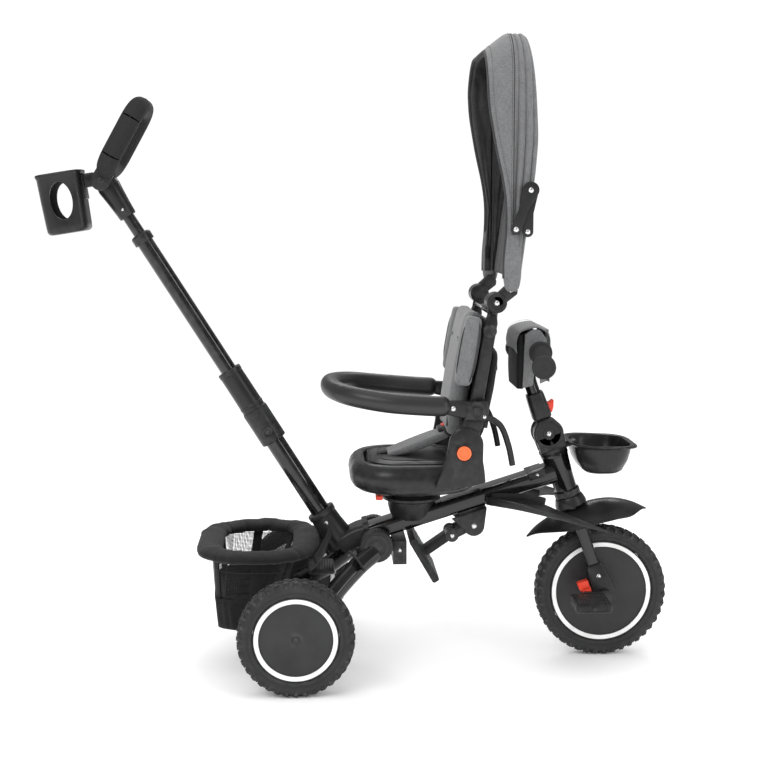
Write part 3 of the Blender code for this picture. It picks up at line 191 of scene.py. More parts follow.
class Patterns:
    """The shader node groups that several finishes share."""

    FLOAT, VECTOR = "NodeSocketFloat", "NodeSocketVector"
    kept: dict[str, bpy.types.NodeTree] = {}

    @classmethod
    def start(cls, name: str, inputs: dict[str, float], outputs: Sequence[str]):
        """Makes an empty group with a vector input, number inputs and number outputs.

        Args:
            name: the group's name.
            inputs: each number input's name and its usual value.
            outputs: the outputs' names.

        Returns:
            The tree, its input node and its output node.
        """
        tree = bpy.data.node_groups.new(name, "ShaderNodeTree")
        tree.interface.new_socket("Vector", in_out="INPUT", socket_type=cls.VECTOR)
        for label, usual in inputs.items():
            socket = tree.interface.new_socket(label, in_out="INPUT", socket_type=cls.FLOAT)
            socket.default_value = usual
        for label in outputs:
            tree.interface.new_socket(label, in_out="OUTPUT", socket_type=cls.FLOAT)
        cls.kept[name] = tree
        return tree, tree.nodes.new("NodeGroupInput"), tree.nodes.new("NodeGroupOutput")

    @classmethod
    def grain(cls) -> bpy.types.NodeTree:
        """Moulded plastic's fine pebble: a height and a slow change of tone."""
        if "grain" in cls.kept:
            return cls.kept["grain"]
        tree, given, out = cls.start("grain", {"Size": 0.0012}, ["Height", "Tone"])
        scale = calc(tree, "DIVIDE", 1.0, given.outputs["Size"])
        where = given.outputs["Vector"]
        pebbles = node(tree, "ShaderNodeTexVoronoi", {"Vector": where, "Scale": scale}, feature="F1")
        fine = node(tree, "ShaderNodeTexNoise", {"Vector": where, "Scale": scale, "Detail": 3.0})
        height = calc(tree, "MULTIPLY", pebbles.outputs["Distance"], fine.outputs["Fac"])
        slow = node(tree, "ShaderNodeTexNoise", {"Vector": where, "Scale": 22.0, "Detail": 4.0})
        tree.links.new(height, out.inputs["Height"])
        tree.links.new(slow.outputs["Fac"], out.inputs["Tone"])
        return tree

    @classmethod
    def edge_wear(cls) -> bpy.types.NodeTree:
        """Rubbed edges: a mask from how sharply the surface bends, broken up by noise."""
        if "edge_wear" in cls.kept:
            return cls.kept["edge_wear"]
        tree, given, out = cls.start("edge_wear", {"Amount": 0.5}, ["Mask"])
        bend = tree.nodes.new("ShaderNodeNewGeometry").outputs["Pointiness"]
        sharp = spread(tree, bend, 0.515, 0.6)
        patch = node(tree, "ShaderNodeTexNoise", {"Vector": given.outputs["Vector"], "Scale": 90.0, "Detail": 5.0})
        broken = spread(tree, patch.outputs["Fac"], 0.4, 0.68)
        mask = calc(tree, "MULTIPLY", calc(tree, "MULTIPLY", sharp, broken), given.outputs["Amount"])
        tree.links.new(mask, out.inputs["Mask"])
        return tree

    @classmethod
    def dust(cls) -> bpy.types.NodeTree:
        """Thin dust that settles on what faces up."""
        if "dust" in cls.kept:
            return cls.kept["dust"]
        tree, given, out = cls.start("dust", {"Amount": 0.5}, ["Mask"])
        facing = tree.nodes.new("ShaderNodeNewGeometry").outputs["Normal"]
        up = node(tree, "ShaderNodeSeparateXYZ", {0: facing}).outputs["Z"]
        level = spread(tree, up, 0.3, 1.0)
        cloud = node(tree, "ShaderNodeTexNoise", {"Vector": given.outputs["Vector"], "Scale": 35.0, "Detail": 6.0})
        patch = spread(tree, cloud.outputs["Fac"], 0.35, 0.75)
        mask = calc(tree, "MULTIPLY", calc(tree, "MULTIPLY", level, patch), given.outputs["Amount"])
        tree.links.new(mask, out.inputs["Mask"])
        return tree

    @classmethod
    def weave(cls) -> bpy.types.NodeTree:
        """Two sets of crossing threads, the same on faces that look any way."""
        if "weave" in cls.kept:
            return cls.kept["weave"]
        tree, given, out = cls.start("weave", {"Pitch": 0.0011}, ["Height", "Over"])
        axes = node(tree, "ShaderNodeSeparateXYZ", {0: given.outputs["Vector"]}).outputs
        turn = calc(tree, "DIVIDE", pi, given.outputs["Pitch"])
        level = calc(tree, "ADD", axes["X"], axes["Y"])
        across = calc(tree, "SUBTRACT", axes["X"], axes["Y"])
        warp = calc(tree, "ABSOLUTE", calc(tree, "SINE", calc(tree, "MULTIPLY", level, turn)))
        skew = calc(tree, "ABSOLUTE", calc(tree, "SINE", calc(tree, "MULTIPLY", across, turn)))
        weft = calc(tree, "ABSOLUTE", calc(tree, "SINE", calc(tree, "MULTIPLY", axes["Z"], turn)))
        warps = calc(tree, "MULTIPLY", calc(tree, "ADD", warp, skew), 0.5)
        tree.links.new(calc(tree, "MAXIMUM", warps, weft), out.inputs["Height"])
        tree.links.new(calc(tree, "GREATER_THAN", warps, weft), out.inputs["Over"])
        return tree

    @classmethod
    def melange(cls) -> bpy.types.NodeTree:
        """Light and dark yarns: streaks along both thread directions over a slow cloud."""
        if "melange" in cls.kept:
            return cls.kept["melange"]
        tree, given, out = cls.start("melange", {"Size": 0.0016, "Contrast": 1.0}, ["Tone"])
        scale = calc(tree, "DIVIDE", 1.0, given.outputs["Size"])
        streaks = []
        for stretch in ((1.0, 1.0, 0.22), (0.22, 0.22, 1.0)):
            laid = node(tree, "ShaderNodeMapping", {"Vector": given.outputs["Vector"], "Scale": stretch})
            yarn = node(tree, "ShaderNodeTexNoise", {"Vector": laid.outputs[0], "Scale": scale, "Detail": 2.0})
            streaks.append(yarn.outputs["Fac"])
        mixed = calc(tree, "MULTIPLY", calc(tree, "ADD", *streaks), 0.5)
        cloud = node(tree, "ShaderNodeTexNoise", {"Vector": given.outputs["Vector"], "Scale": 60.0, "Detail": 3.0})
        both = calc(tree, "ADD", calc(tree, "MULTIPLY", mixed, 0.8), calc(tree, "MULTIPLY", cloud.outputs["Fac"], 0.2))
        centred = calc(tree, "MULTIPLY", calc(tree, "SUBTRACT", both, 0.5), given.outputs["Contrast"])
        tone = spread(tree, centred, -0.16, 0.16)
        tree.links.new(tone, out.inputs["Tone"])
        return tree


# ---- finishes -----------------------------------------------------------------------------------
@dataclass(frozen=True)
class Finish:
    """A moulded, painted or metal surface with grain, rubbed edges and a little dust."""

    name: str
    slot: str
    colour: Triple
    roughness: float = 0.5
    metallic: float = 0.0
    coat: float = 0.0
    grain_size: float = 0.0012
    grain_depth: float = 0.0002
    wear: float = 0.25
    worn_colour: Triple = (0.16, 0.16, 0.165)
    dusty: float = 0.03
    roughness_play: float = 0.08
    gloss: float = 0.35

    def material(self) -> bpy.types.Material:
        """The finish's material, made the first time it is asked for."""
        known = bpy.data.materials.get(self.name)
        if known:
            return known
        made = bpy.data.materials.new(self.name)
        made.use_nodes = True
        tree = made.node_tree
        shader = tree.nodes["Principled BSDF"]
        shader.inputs["Metallic"].default_value = self.metallic
        shader.inputs["Coat Weight"].default_value = self.coat
        shader.inputs["Coat Roughness"].default_value = 0.08
        shader.inputs["Specular IOR Level"].default_value = self.gloss
        where = tree.nodes.new("ShaderNodeTexCoord").outputs["Object"]
        self.dress(tree, shader, where)
        made.diffuse_color = (*self.colour, 1.0)
        return made

    def group(self, tree: bpy.types.NodeTree, pattern: bpy.types.NodeTree, where, **values):
        """Places a shared group in the material with this finish's own values.

        Args:
            tree: the material's tree.
            pattern: the shared group.
            where: the socket of the pattern's coordinates.
            values: numbers for the group's inputs, by name.

        Returns:
            The group node's outputs.
        """
        made = node(tree, "ShaderNodeGroup", node_tree=pattern)
        tree.links.new(where, made.inputs["Vector"])
        for key, value in values.items():
            made.inputs[key].default_value = value
        return made.outputs

    def mixed(self, tree: bpy.types.NodeTree, share, first, second) -> bpy.types.NodeSocket:
        """Mixes two colours by a mask.

        Args:
            tree: the material's tree.
            share: the mask.
            first: colour or socket where the mask is 0.
            second: colour or socket where the mask is 1.

        Returns:
            The mixed colour's socket.
        """
        pair = [c if isinstance(c, bpy.types.NodeSocket) else (*c, 1.0) for c in (first, second)]
        made = node(tree, "ShaderNodeMix", {0: share, 6: pair[0], 7: pair[1]}, data_type="RGBA")
        return made.outputs[2]

    def raise_by(self, tree: bpy.types.NodeTree, shader: bpy.types.Node, height, depth: float) -> None:
        """Feeds the shader's normal from a height, depth metres deep."""
        bump = node(tree, "ShaderNodeBump", {"Height": height, "Strength": 1.0, "Distance": depth})
        tree.links.new(bump.outputs["Normal"], shader.inputs["Normal"])

    def dress(self, tree: bpy.types.NodeTree, shader: bpy.types.Node, where) -> None:
        """Lays grain, tone, wear and dust over the base colour."""
        grain = self.group(tree, Patterns.grain(), where, Size=self.grain_size)
        worn = self.group(tree, Patterns.edge_wear(), where, Amount=self.wear)["Mask"]
        dusty = self.group(tree, Patterns.dust(), where, Amount=self.dusty)["Mask"]
        deep = tuple(c * 0.82 for c in self.colour)
        pale = tuple(min(1.0, c * 1.22 + 0.002) for c in self.colour)
        tone = spread(tree, grain["Tone"], 0.3, 0.7)
        colour = self.mixed(tree, tone, deep, pale)
        colour = self.mixed(tree, worn, colour, self.worn_colour)
        colour = self.mixed(tree, dusty, colour, (0.42, 0.41, 0.39))
        tree.links.new(colour, shader.inputs["Base Color"])
        low, high = self.roughness - self.roughness_play, self.roughness + self.roughness_play
        rough = spread(tree, grain["Tone"], 0.3, 0.7, low, high)
        tree.links.new(rough, shader.inputs["Roughness"])
        self.raise_by(tree, shader, grain["Height"], self.grain_depth)


@dataclass(frozen=True)
class Cloth(Finish):
    """Woven cloth: crossing threads, yarns of mixed tone and a soft sheen."""

    pale: Triple = (0.5, 0.5, 0.5)
    pitch: float = 0.0011
    contrast: float = 1.0
    depth: float = 0.0003
    sheen: float = 0.3

    def dress(self, tree: bpy.types.NodeTree, shader: bpy.types.Node, where) -> None:
        """Lays yarns and threads over the base colour, with painted shade in the gaps between the threads."""
        shader.inputs["Sheen Weight"].default_value = self.sheen
        shader.inputs["Sheen Roughness"].default_value = 0.5
        shader.inputs["Specular IOR Level"].default_value = 0.25
        threads = self.group(tree, Patterns.weave(), where, Pitch=self.pitch)
        yarns = self.group(tree, Patterns.melange(), where, Size=self.pitch * 1.5, Contrast=self.contrast)
        dusty = self.group(tree, Patterns.dust(), where, Amount=self.dusty)["Mask"]
        colour = self.mixed(tree, yarns["Tone"], self.colour, self.pale)
        # painted shade: the colour darkens to 0.4 of itself where the threads sink, in the gaps between them
        painted_gap_shade = spread(tree, threads["Height"], 0.2, 1.0, 0.35, 0.0)
        colour = self.mixed(tree, painted_gap_shade, colour, tuple(c * 0.4 for c in self.colour))
        colour = self.mixed(tree, dusty, colour, (0.42, 0.41, 0.39))
        tree.links.new(colour, shader.inputs["Base Color"])
        rough = spread(tree, yarns["Tone"], 0.0, 1.0, self.roughness - 0.05, self.roughness + 0.05)
        tree.links.new(rough, shader.inputs["Roughness"])
        self.raise_by(tree, shader, threads["Height"], self.depth)


@dataclass(frozen=True)
class Netting(Cloth):
    """Open mesh cloth, see-through between its threads."""

    hole: float = 0.45

    def dress(self, tree: bpy.types.NodeTree, shader: bpy.types.Node, where) -> None:
        """Weaves the threads and opens the gaps between them."""
        super().dress(tree, shader, where)
        threads = self.group(tree, Patterns.weave(), where, Pitch=self.pitch * 2.2)
        solid = calc(tree, "GREATER_THAN", threads["Height"], 1.0 - self.hole)
        tree.links.new(solid, shader.inputs["Alpha"])


@dataclass(frozen=True)
class Hide(Finish):
    """Leatherette: a pebbled skin with creases between the pebbles."""

    def dress(self, tree: bpy.types.NodeTree, shader: bpy.types.Node, where) -> None:
        """Lays the pebbles, painted shade in the creases between them and a slow change of gloss."""
        grain = self.group(tree, Patterns.grain(), where, Size=self.grain_size)
        feeds = {"Vector": where, "Scale": 1.0 / self.grain_size}
        cells = node(tree, "ShaderNodeTexVoronoi", feeds, feature="DISTANCE_TO_EDGE").outputs["Distance"]
        crease_height_and_shade = spread(tree, cells, 0.0, 0.22)
        # painted shade: the creases between the pebbles are darkened to 0.55 of the colour; the same mask raises the
        # bump
        colour = self.mixed(tree, crease_height_and_shade, tuple(c * 0.55 for c in self.colour), self.colour)
        worn = self.group(tree, Patterns.edge_wear(), where, Amount=self.wear)["Mask"]
        colour = self.mixed(tree, worn, colour, self.worn_colour)
        tree.links.new(colour, shader.inputs["Base Color"])
        rough = spread(tree, grain["Tone"], 0.3, 0.7, self.roughness - 0.05, self.roughness + 0.07)
        tree.links.new(rough, shader.inputs["Roughness"])
        self.raise_by(tree, shader, crease_height_and_shade, self.grain_depth)


TUBE = Finish("gloss_black_tube", "tube_black", (0.003, 0.003, 0.0032), 0.16, coat=0.5, grain_depth=0.00002, wear=0.1)
PLASTIC = Finish("black_moulding", "plastic_black", (0.008, 0.008, 0.0085), 0.42)
SATIN = Finish("satin_moulding", "plastic_black", (0.012, 0.012, 0.0125), 0.32, grain_depth=0.0001)
GREY_PLASTIC = Finish("grey_moulding", "plastic_grey", (0.017, 0.017, 0.018), 0.36)
DISC = Finish("wheel_disc", "wheel_plastic", (0.026, 0.026, 0.027), 0.5, grain_size=0.0008, dusty=0.0)
RING_WHITE = Finish("white_ring", "wheel_plastic", (0.86, 0.86, 0.85), 0.38, wear=0.05, worn_colour=(0.6, 0.6, 0.6))
RUBBER = Finish("tyre_rubber", "tyre", (0.022, 0.022, 0.023), 0.66, grain_size=0.0009, grain_depth=0.0003, dusty=0.08)
GRIP_RUBBER = Finish("grip_rubber", "grip_rubber", (0.011, 0.011, 0.0115), 0.55, grain_depth=0.0002)
FOAM = Finish("grip_foam", "grip_foam", (0.006, 0.006, 0.0065), 0.82, grain_size=0.0016, grain_depth=0.0006, wear=0.0)
RIVET = Finish("rivet_steel", "steel", (0.78, 0.78, 0.79), 0.24, metallic=1.0, grain_depth=0.00002, wear=0.0)
DARK_STEEL = Finish("blackened_steel", "steel", (0.016, 0.016, 0.017), 0.34, grain_depth=0.00003)
RED = Finish("red_moulding", "red_plastic", (0.8, 0.05, 0.022), 0.34, worn_colour=(0.9, 0.4, 0.3))
ORANGE = Finish("orange_moulding", "orange_plastic", (0.95, 0.14, 0.04), 0.34, worn_colour=(0.95, 0.5, 0.3))
HIDE = Hide("leatherette", "leatherette", (0.01, 0.01, 0.0105), 0.36, grain_size=0.0022, grain_depth=0.00025)
GREY_CLOTH = Cloth("grey_melange", "cloth_grey", (0.105, 0.106, 0.109), 0.9, pale=(0.225, 0.227, 0.231), contrast=0.8,
    pitch=0.0009)
BLACK_CLOTH = Cloth("black_cloth", "cloth_black", (0.0055, 0.0055, 0.006), 0.85, pale=(0.016, 0.016, 0.017), sheen=0.08)
LINING = Cloth("dark_lining", "cloth_black", (0.02, 0.02, 0.021), 0.66, pale=(0.048, 0.048, 0.05), sheen=0.12)
BINDING = Cloth("edge_binding", "cloth_black", (0.03, 0.03, 0.031), 0.85, pale=(0.065, 0.065, 0.068), pitch=0.0008,
    sheen=0.1)
WEBBING = Cloth("black_webbing", "cloth_black", (0.007, 0.007, 0.0075), 0.75, pale=(0.02, 0.02, 0.021), pitch=0.0016,
    sheen=0.08)
THREAD = Finish("sewing_thread", "cloth_grey", (0.3, 0.3, 0.31), 0.8, grain_depth=0.0001, wear=0.0, dusty=0.0)
DARK_THREAD = Finish("dark_thread", "cloth_black", (0.05, 0.05, 0.052), 0.8, grain_depth=0.0001, wear=0.0, dusty=0.0)
NET = Netting("basket_net", "cloth_black", (0.01, 0.01, 0.011), 0.85, pale=(0.03, 0.03, 0.03), pitch=0.0012,
    hole=0.22, sheen=0.1)


# ---- shapes -------------------------------------------------------------------------------------
def rounded_loop(half_u: float, half_v: float, corner: float, count: int = 8, power: float = 2.0) -> list[Pair]:
    """A rounded rectangle about the origin, counter-clockwise.

    Args:
        half_u: half its width.
        half_v: half its height.
        corner: corner radius.
        count: points in each corner.
        power: 2 for a circular corner, more for a squarer one.

    Returns:
        The outline's points.
    """
    points = []
    for quarter in range(4):
        su, sv = (1, -1, -1, 1)[quarter], (1, 1, -1, -1)[quarter]
        for step in range(count):
            a = pi / 2 * (quarter + step / (count - 1))
            cu, sn = abs(cos(a)) ** (2 / power), abs(sin(a)) ** (2 / power)
            points.append((su * (half_u - corner + corner * cu), sv * (half_v - corner + corner * sn)))
    return points


def smooth_path(points: Sequence[Vector], per_span: int = 8, closed: bool = False) -> list[Vector]:
    """A smooth line through the points, by Catmull-Rom.

    Args:
        points: the points that it passes.
        per_span: steps between two points.
        closed: whether the last point runs on to the first.

    Returns:
        The line's points.
    """
    knots = [Vector(p) for p in points]
    count = len(knots)
    line = []
    for i in range(count if closed else count - 1):
        near = [(i + k - 1) % count if closed else min(max(i + k - 1, 0), count - 1) for k in range(4)]
        a, b, c, d = (knots[k] for k in near)
        for step in range(per_span):
            t = step / per_span
            bend = (2 * b) + (c - a) * t + (2 * a - 5 * b + 4 * c - d) * t**2 + (3 * b - 3 * c + d - a) * t**3
            line.append(0.5 * bend)
    if not closed:
        line.append(knots[-1])
    return line


def along_table(table: Sequence[Pair], at: float) -> float:
    """A value read from a table of (place, value) pairs, straight between them."""
    if at <= table[0][0]:
        return table[0][1]
    for (a, va), (b, vb) in zip(table, table[1:]):
        if at <= b:
            return va + (vb - va) * (at - a) / (b - a)
    return table[-1][1]


def arc_points(u: float, v: float, radius: float, start: float, end: float, count: int = 12) -> list[Pair]:
    """Points on an arc, angles in degrees."""
    turns = [radians(start + (end - start) * i / (count - 1)) for i in range(count)]
    return [(u + radius * cos(a), v + radius * sin(a)) for a in turns]


class Shape:
    """A mesh being put together. Each shape added keeps its own closed skin."""

    def __init__(self) -> None:
        """Starts with no faces."""
        self.bm = bmesh.new()

    def rings(self, rows: Sequence[Sequence[Vector]], wrap: bool = True, caps: bool = True,
        loop: bool = False) -> "Shape":
        """Adds a skin through rows of equal count.

        Args:
            rows: the rows of points.
            wrap: whether each row closes on itself.
            caps: whether the first and last rows are filled.
            loop: whether the last row joins the first.

        Returns:
            The shape itself.
        """
        verts = [[self.bm.verts.new(p) for p in row] for row in rows]
        count = len(rows[0])
        pairs = list(zip(verts, verts[1:])) + ([(verts[-1], verts[0])] if loop else [])
        for low, high in pairs:
            for i in range(count if wrap else count - 1):
                j = (i + 1) % count
                self.bm.faces.new((low[i], low[j], high[j], high[i]))
        if caps and wrap and not loop:
            self.bm.faces.new(verts[0][::-1])
            self.bm.faces.new(verts[-1])
        return self

    def lathe(self, at: Matrix, outline: Sequence[Pair], steps: int = 64) -> "Shape":
        """Adds an (r, h) outline turned about the frame's Z, closed on itself or on the axis.

        Args:
            at: the frame.
            outline: radius and height pairs.
            steps: faces round the axis.

        Returns:
            The shape itself.
        """
        angles = [2 * pi * i / steps for i in range(steps)]
        rows = [[at @ Vector((r * cos(a), r * sin(a), h)) for a in angles] for r, h in outline]
        open_ended = outline[0][0] < 1e-9 and outline[-1][0] < 1e-9
        return self.rings(rows, caps=False, loop=not open_ended)

    def tube(self, line: Sequence[Vector], section: Sequence[Pair], grow: Callable[[float], float] | None = None,
             closed: bool = False, up: Vector = Vector((0, 1, 0))) -> "Shape":
        """Sweeps a section along a line; the section's u follows up and its v the third direction.

        Args:
            line: the line's points.
            section: the outline that is swept.
            grow: scale of the section at a share of the line, 1 everywhere if left out.
            closed: whether the line closes on itself.
            up: the way that the section's u keeps to.

        Returns:
            The shape itself.
        """
        rows, count = [], len(line)
        for i, point in enumerate(line):
            before = line[i - 1] if closed or i else line[0]
            after = line[(i + 1) % count] if closed or i < count - 1 else line[-1]
            run = (after - before).normalized()
            third = run.cross(up).normalized()
            first = third.cross(run).normalized()
            size = grow(i / max(1, count - 1)) if grow else 1.0
            rows.append([point + size * (first * u + third * v) for u, v in section])
        return self.rings(rows, loop=closed)

    def rod(self, start: Vector, end: Vector, radius: float, steps: int = 32) -> "Shape":
        """Adds a round bar with slightly eased ends."""
        run = end - start
        turn = Vector((0, 0, 1)).rotation_difference(run).to_matrix().to_4x4()
        ease = min(0.0008, radius * 0.2)
        h = run.length
        outline = [(0, 0), (radius - ease, 0), (radius, ease), (radius, h - ease), (radius - ease, h), (0, h)]
        return self.lathe(Matrix.Translation(start) @ turn, outline, steps)

    def slab(self, at: Matrix, outline: Sequence[Pair], low: float, high: float, edge: Edge = Edge.SOFT,
             steps: int = 2) -> "Shape":
        """Adds a flat (x, z) outline drawn through from low to high along y, with rounded edges.

        Args:
            at: the frame.
            outline: the outline, x and z in the frame.
            low: first y.
            high: last y.
            edge: how round the two rims are.
            steps: faces in each rounded rim.

        Returns:
            The shape itself.
        """
        part = Shape()
        part.rings([[at @ Vector((x, y, z)) for x, z in outline] for y in (low, high)])
        part.round_edges(edge.value, steps)
        return self.take(part)

    def box(self, at: Matrix, low: Triple, high: Triple, edge: Edge = Edge.SOFT, steps: int = 2) -> "Shape":
        """Adds a block with rounded edges between two corners of the frame."""
        part = Shape()
        corners = [(low[0], low[1]), (high[0], low[1]), (high[0], high[1]), (low[0], high[1])]
        part.rings([[at @ Vector((x, y, z)) for x, y in corners] for z in (low[2], high[2])])
        part.round_edges(min(edge.value, 0.45 * min(b - a for a, b in zip(low, high))), steps)
        return self.take(part)

    def round_edges(self, width: float, steps: int = 2, sharper_than: float = 28.0) -> "Shape":
        """Rounds the edges that bend by more than an angle in degrees."""
        bmesh.ops.recalc_face_normals(self.bm, faces=self.bm.faces)
        limit = radians(sharper_than)
        found = [e for e in self.bm.edges if len(e.link_faces) == 2 and e.calc_face_angle(0) > limit]
        bmesh.ops.bevel(self.bm, geom=found, offset=width, segments=steps, profile=0.5, affect="EDGES",
                        clamp_overlap=True)
        return self

    def take(self, other: "Shape") -> "Shape":
        """Adds another shape's faces to this one."""
        mesh = bpy.data.meshes.new("taken")
        other.bm.to_mesh(mesh)
        other.bm.free()
        self.bm.from_mesh(mesh)
        bpy.data.meshes.remove(mesh)
        return self

    def node_copy(self, name: str, width: float = 0.0007, steps: int = 2) -> "Shape":
        """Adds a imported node's own shape with its edges rounded."""
        part = Shape()
        part.bm.from_mesh(frame["nodes"][name].data)
        bmesh.ops.remove_doubles(part.bm, verts=part.bm.verts, dist=0.00002)
        bmesh.ops.dissolve_limit(part.bm, angle_limit=radians(1.5), verts=part.bm.verts, edges=part.bm.edges)
        part.round_edges(width, steps, 32.0)
        return self.take(part)

    def object(self, name: str, sharp: float = 35.0, merge: float = 1e-6) -> bpy.types.Object:
        """Turns the shape into an object with its faces outwards.

        Args:
            name: the object's name.
            sharp: edges that bend by more than this many degrees stay sharp.
            merge: vertices closer than this become one.

        Returns:
            The object, at the origin.
        """
        bmesh.ops.remove_doubles(self.bm, verts=self.bm.verts, dist=merge)
        bmesh.ops.recalc_face_normals(self.bm, faces=self.bm.faces)
        mesh = bpy.data.meshes.new(name)
        self.bm.to_mesh(mesh)
        self.bm.free()
        mesh.shade_smooth()
        mesh.set_sharp_from_angle(angle=radians(sharp))
        made = bpy.data.objects.new(name, mesh)
        bpy.context.scene.collection.objects.link(made)
        return made


def circle(radius: float, steps: int = 24) -> list[Pair]:
    """A round section."""
    return [(radius * cos(2 * pi * i / steps), radius * sin(2 * pi * i / steps)) for i in range(steps)]


def oval(half_u: float, half_v: float, steps: int = 28) -> list[Pair]:
    """An oval section."""
    return [(half_u * cos(2 * pi * i / steps), half_v * sin(2 * pi * i / steps)) for i in range(steps)]


def hang(piece: bpy.types.Object, body: str, finish: Finish, replaces: Sequence[str] = ()) -> bpy.types.Object:
    """Dresses a piece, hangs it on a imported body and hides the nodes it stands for.

    Args:
        piece: the object.
        body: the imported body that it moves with.
        finish: its finish.
        replaces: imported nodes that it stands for.

    Returns:
        The piece.
    """
    if not piece.data.materials:
        piece.data.materials.append(finish.material())
    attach(piece, body)
    if replaces:
        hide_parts(*replaces)
    LOG.info("%s on %s: %d faces", piece.name, body, len(piece.data.polygons))
    return piece


def plain_mesh(made: bpy.types.Object, name: str) -> bpy.types.Object:
    """Turns a modified object into a plain mesh object and removes the first.

    Args:
        made: the object with its modifiers.
        name: the new object's name.

    Returns:
        The plain object.
    """
    bpy.context.view_layer.update()
    graph = bpy.context.evaluated_depsgraph_get()
    mesh = bpy.data.meshes.new_from_object(made.evaluated_get(graph), depsgraph=graph)
    mesh.name = name
    bpy.data.objects.remove(made)
    plain = bpy.data.objects.new(name, mesh)
    bpy.context.scene.collection.objects.link(plain)
    return plain


def swell(piece: bpy.types.Object, pressure: float = 4.0, cap: float = 0.006, voxel: float = 0.005,
          frames: int = 20) -> bpy.types.Object:
    """Inflates a closed cloth form a little, as stuffing does, with no point moving past the cap.

    Args:
        piece: the closed form.
        pressure: the stuffing's pressure.
        cap: the most that a point may move.
        voxel: the size of the new faces.
        frames: steps of the simulation.

    Returns:
        The swollen form as a plain mesh.
    """
    name = piece.name
    remesh = piece.modifiers.new("even", "REMESH")
    remesh.mode, remesh.voxel_size = "VOXEL", voxel
    made = plain_mesh(piece, name)
    rest = [v.co.copy() for v in made.data.vertices]
    cloth = made.modifiers.new("stuffing", "CLOTH")
    cloth.settings.use_pressure = True
    cloth.settings.uniform_pressure_force = pressure
    cloth.settings.effector_weights.gravity = 0.0
    scene = bpy.context.scene
    for step in range(1, frames + 1):
        scene.frame_set(step)
    made = plain_mesh(made, name)
    scene.frame_set(1)
    for vert, was in zip(made.data.vertices, rest):
        move = vert.co - was
        if move.length > cap:
            vert.co = was + move * (cap / move.length)
    finer = made.modifiers.new("finer", "SUBSURF")
    finer.levels = finer.render_levels = 1
    made = plain_mesh(made, name)
    made.data.shade_smooth()
    return made


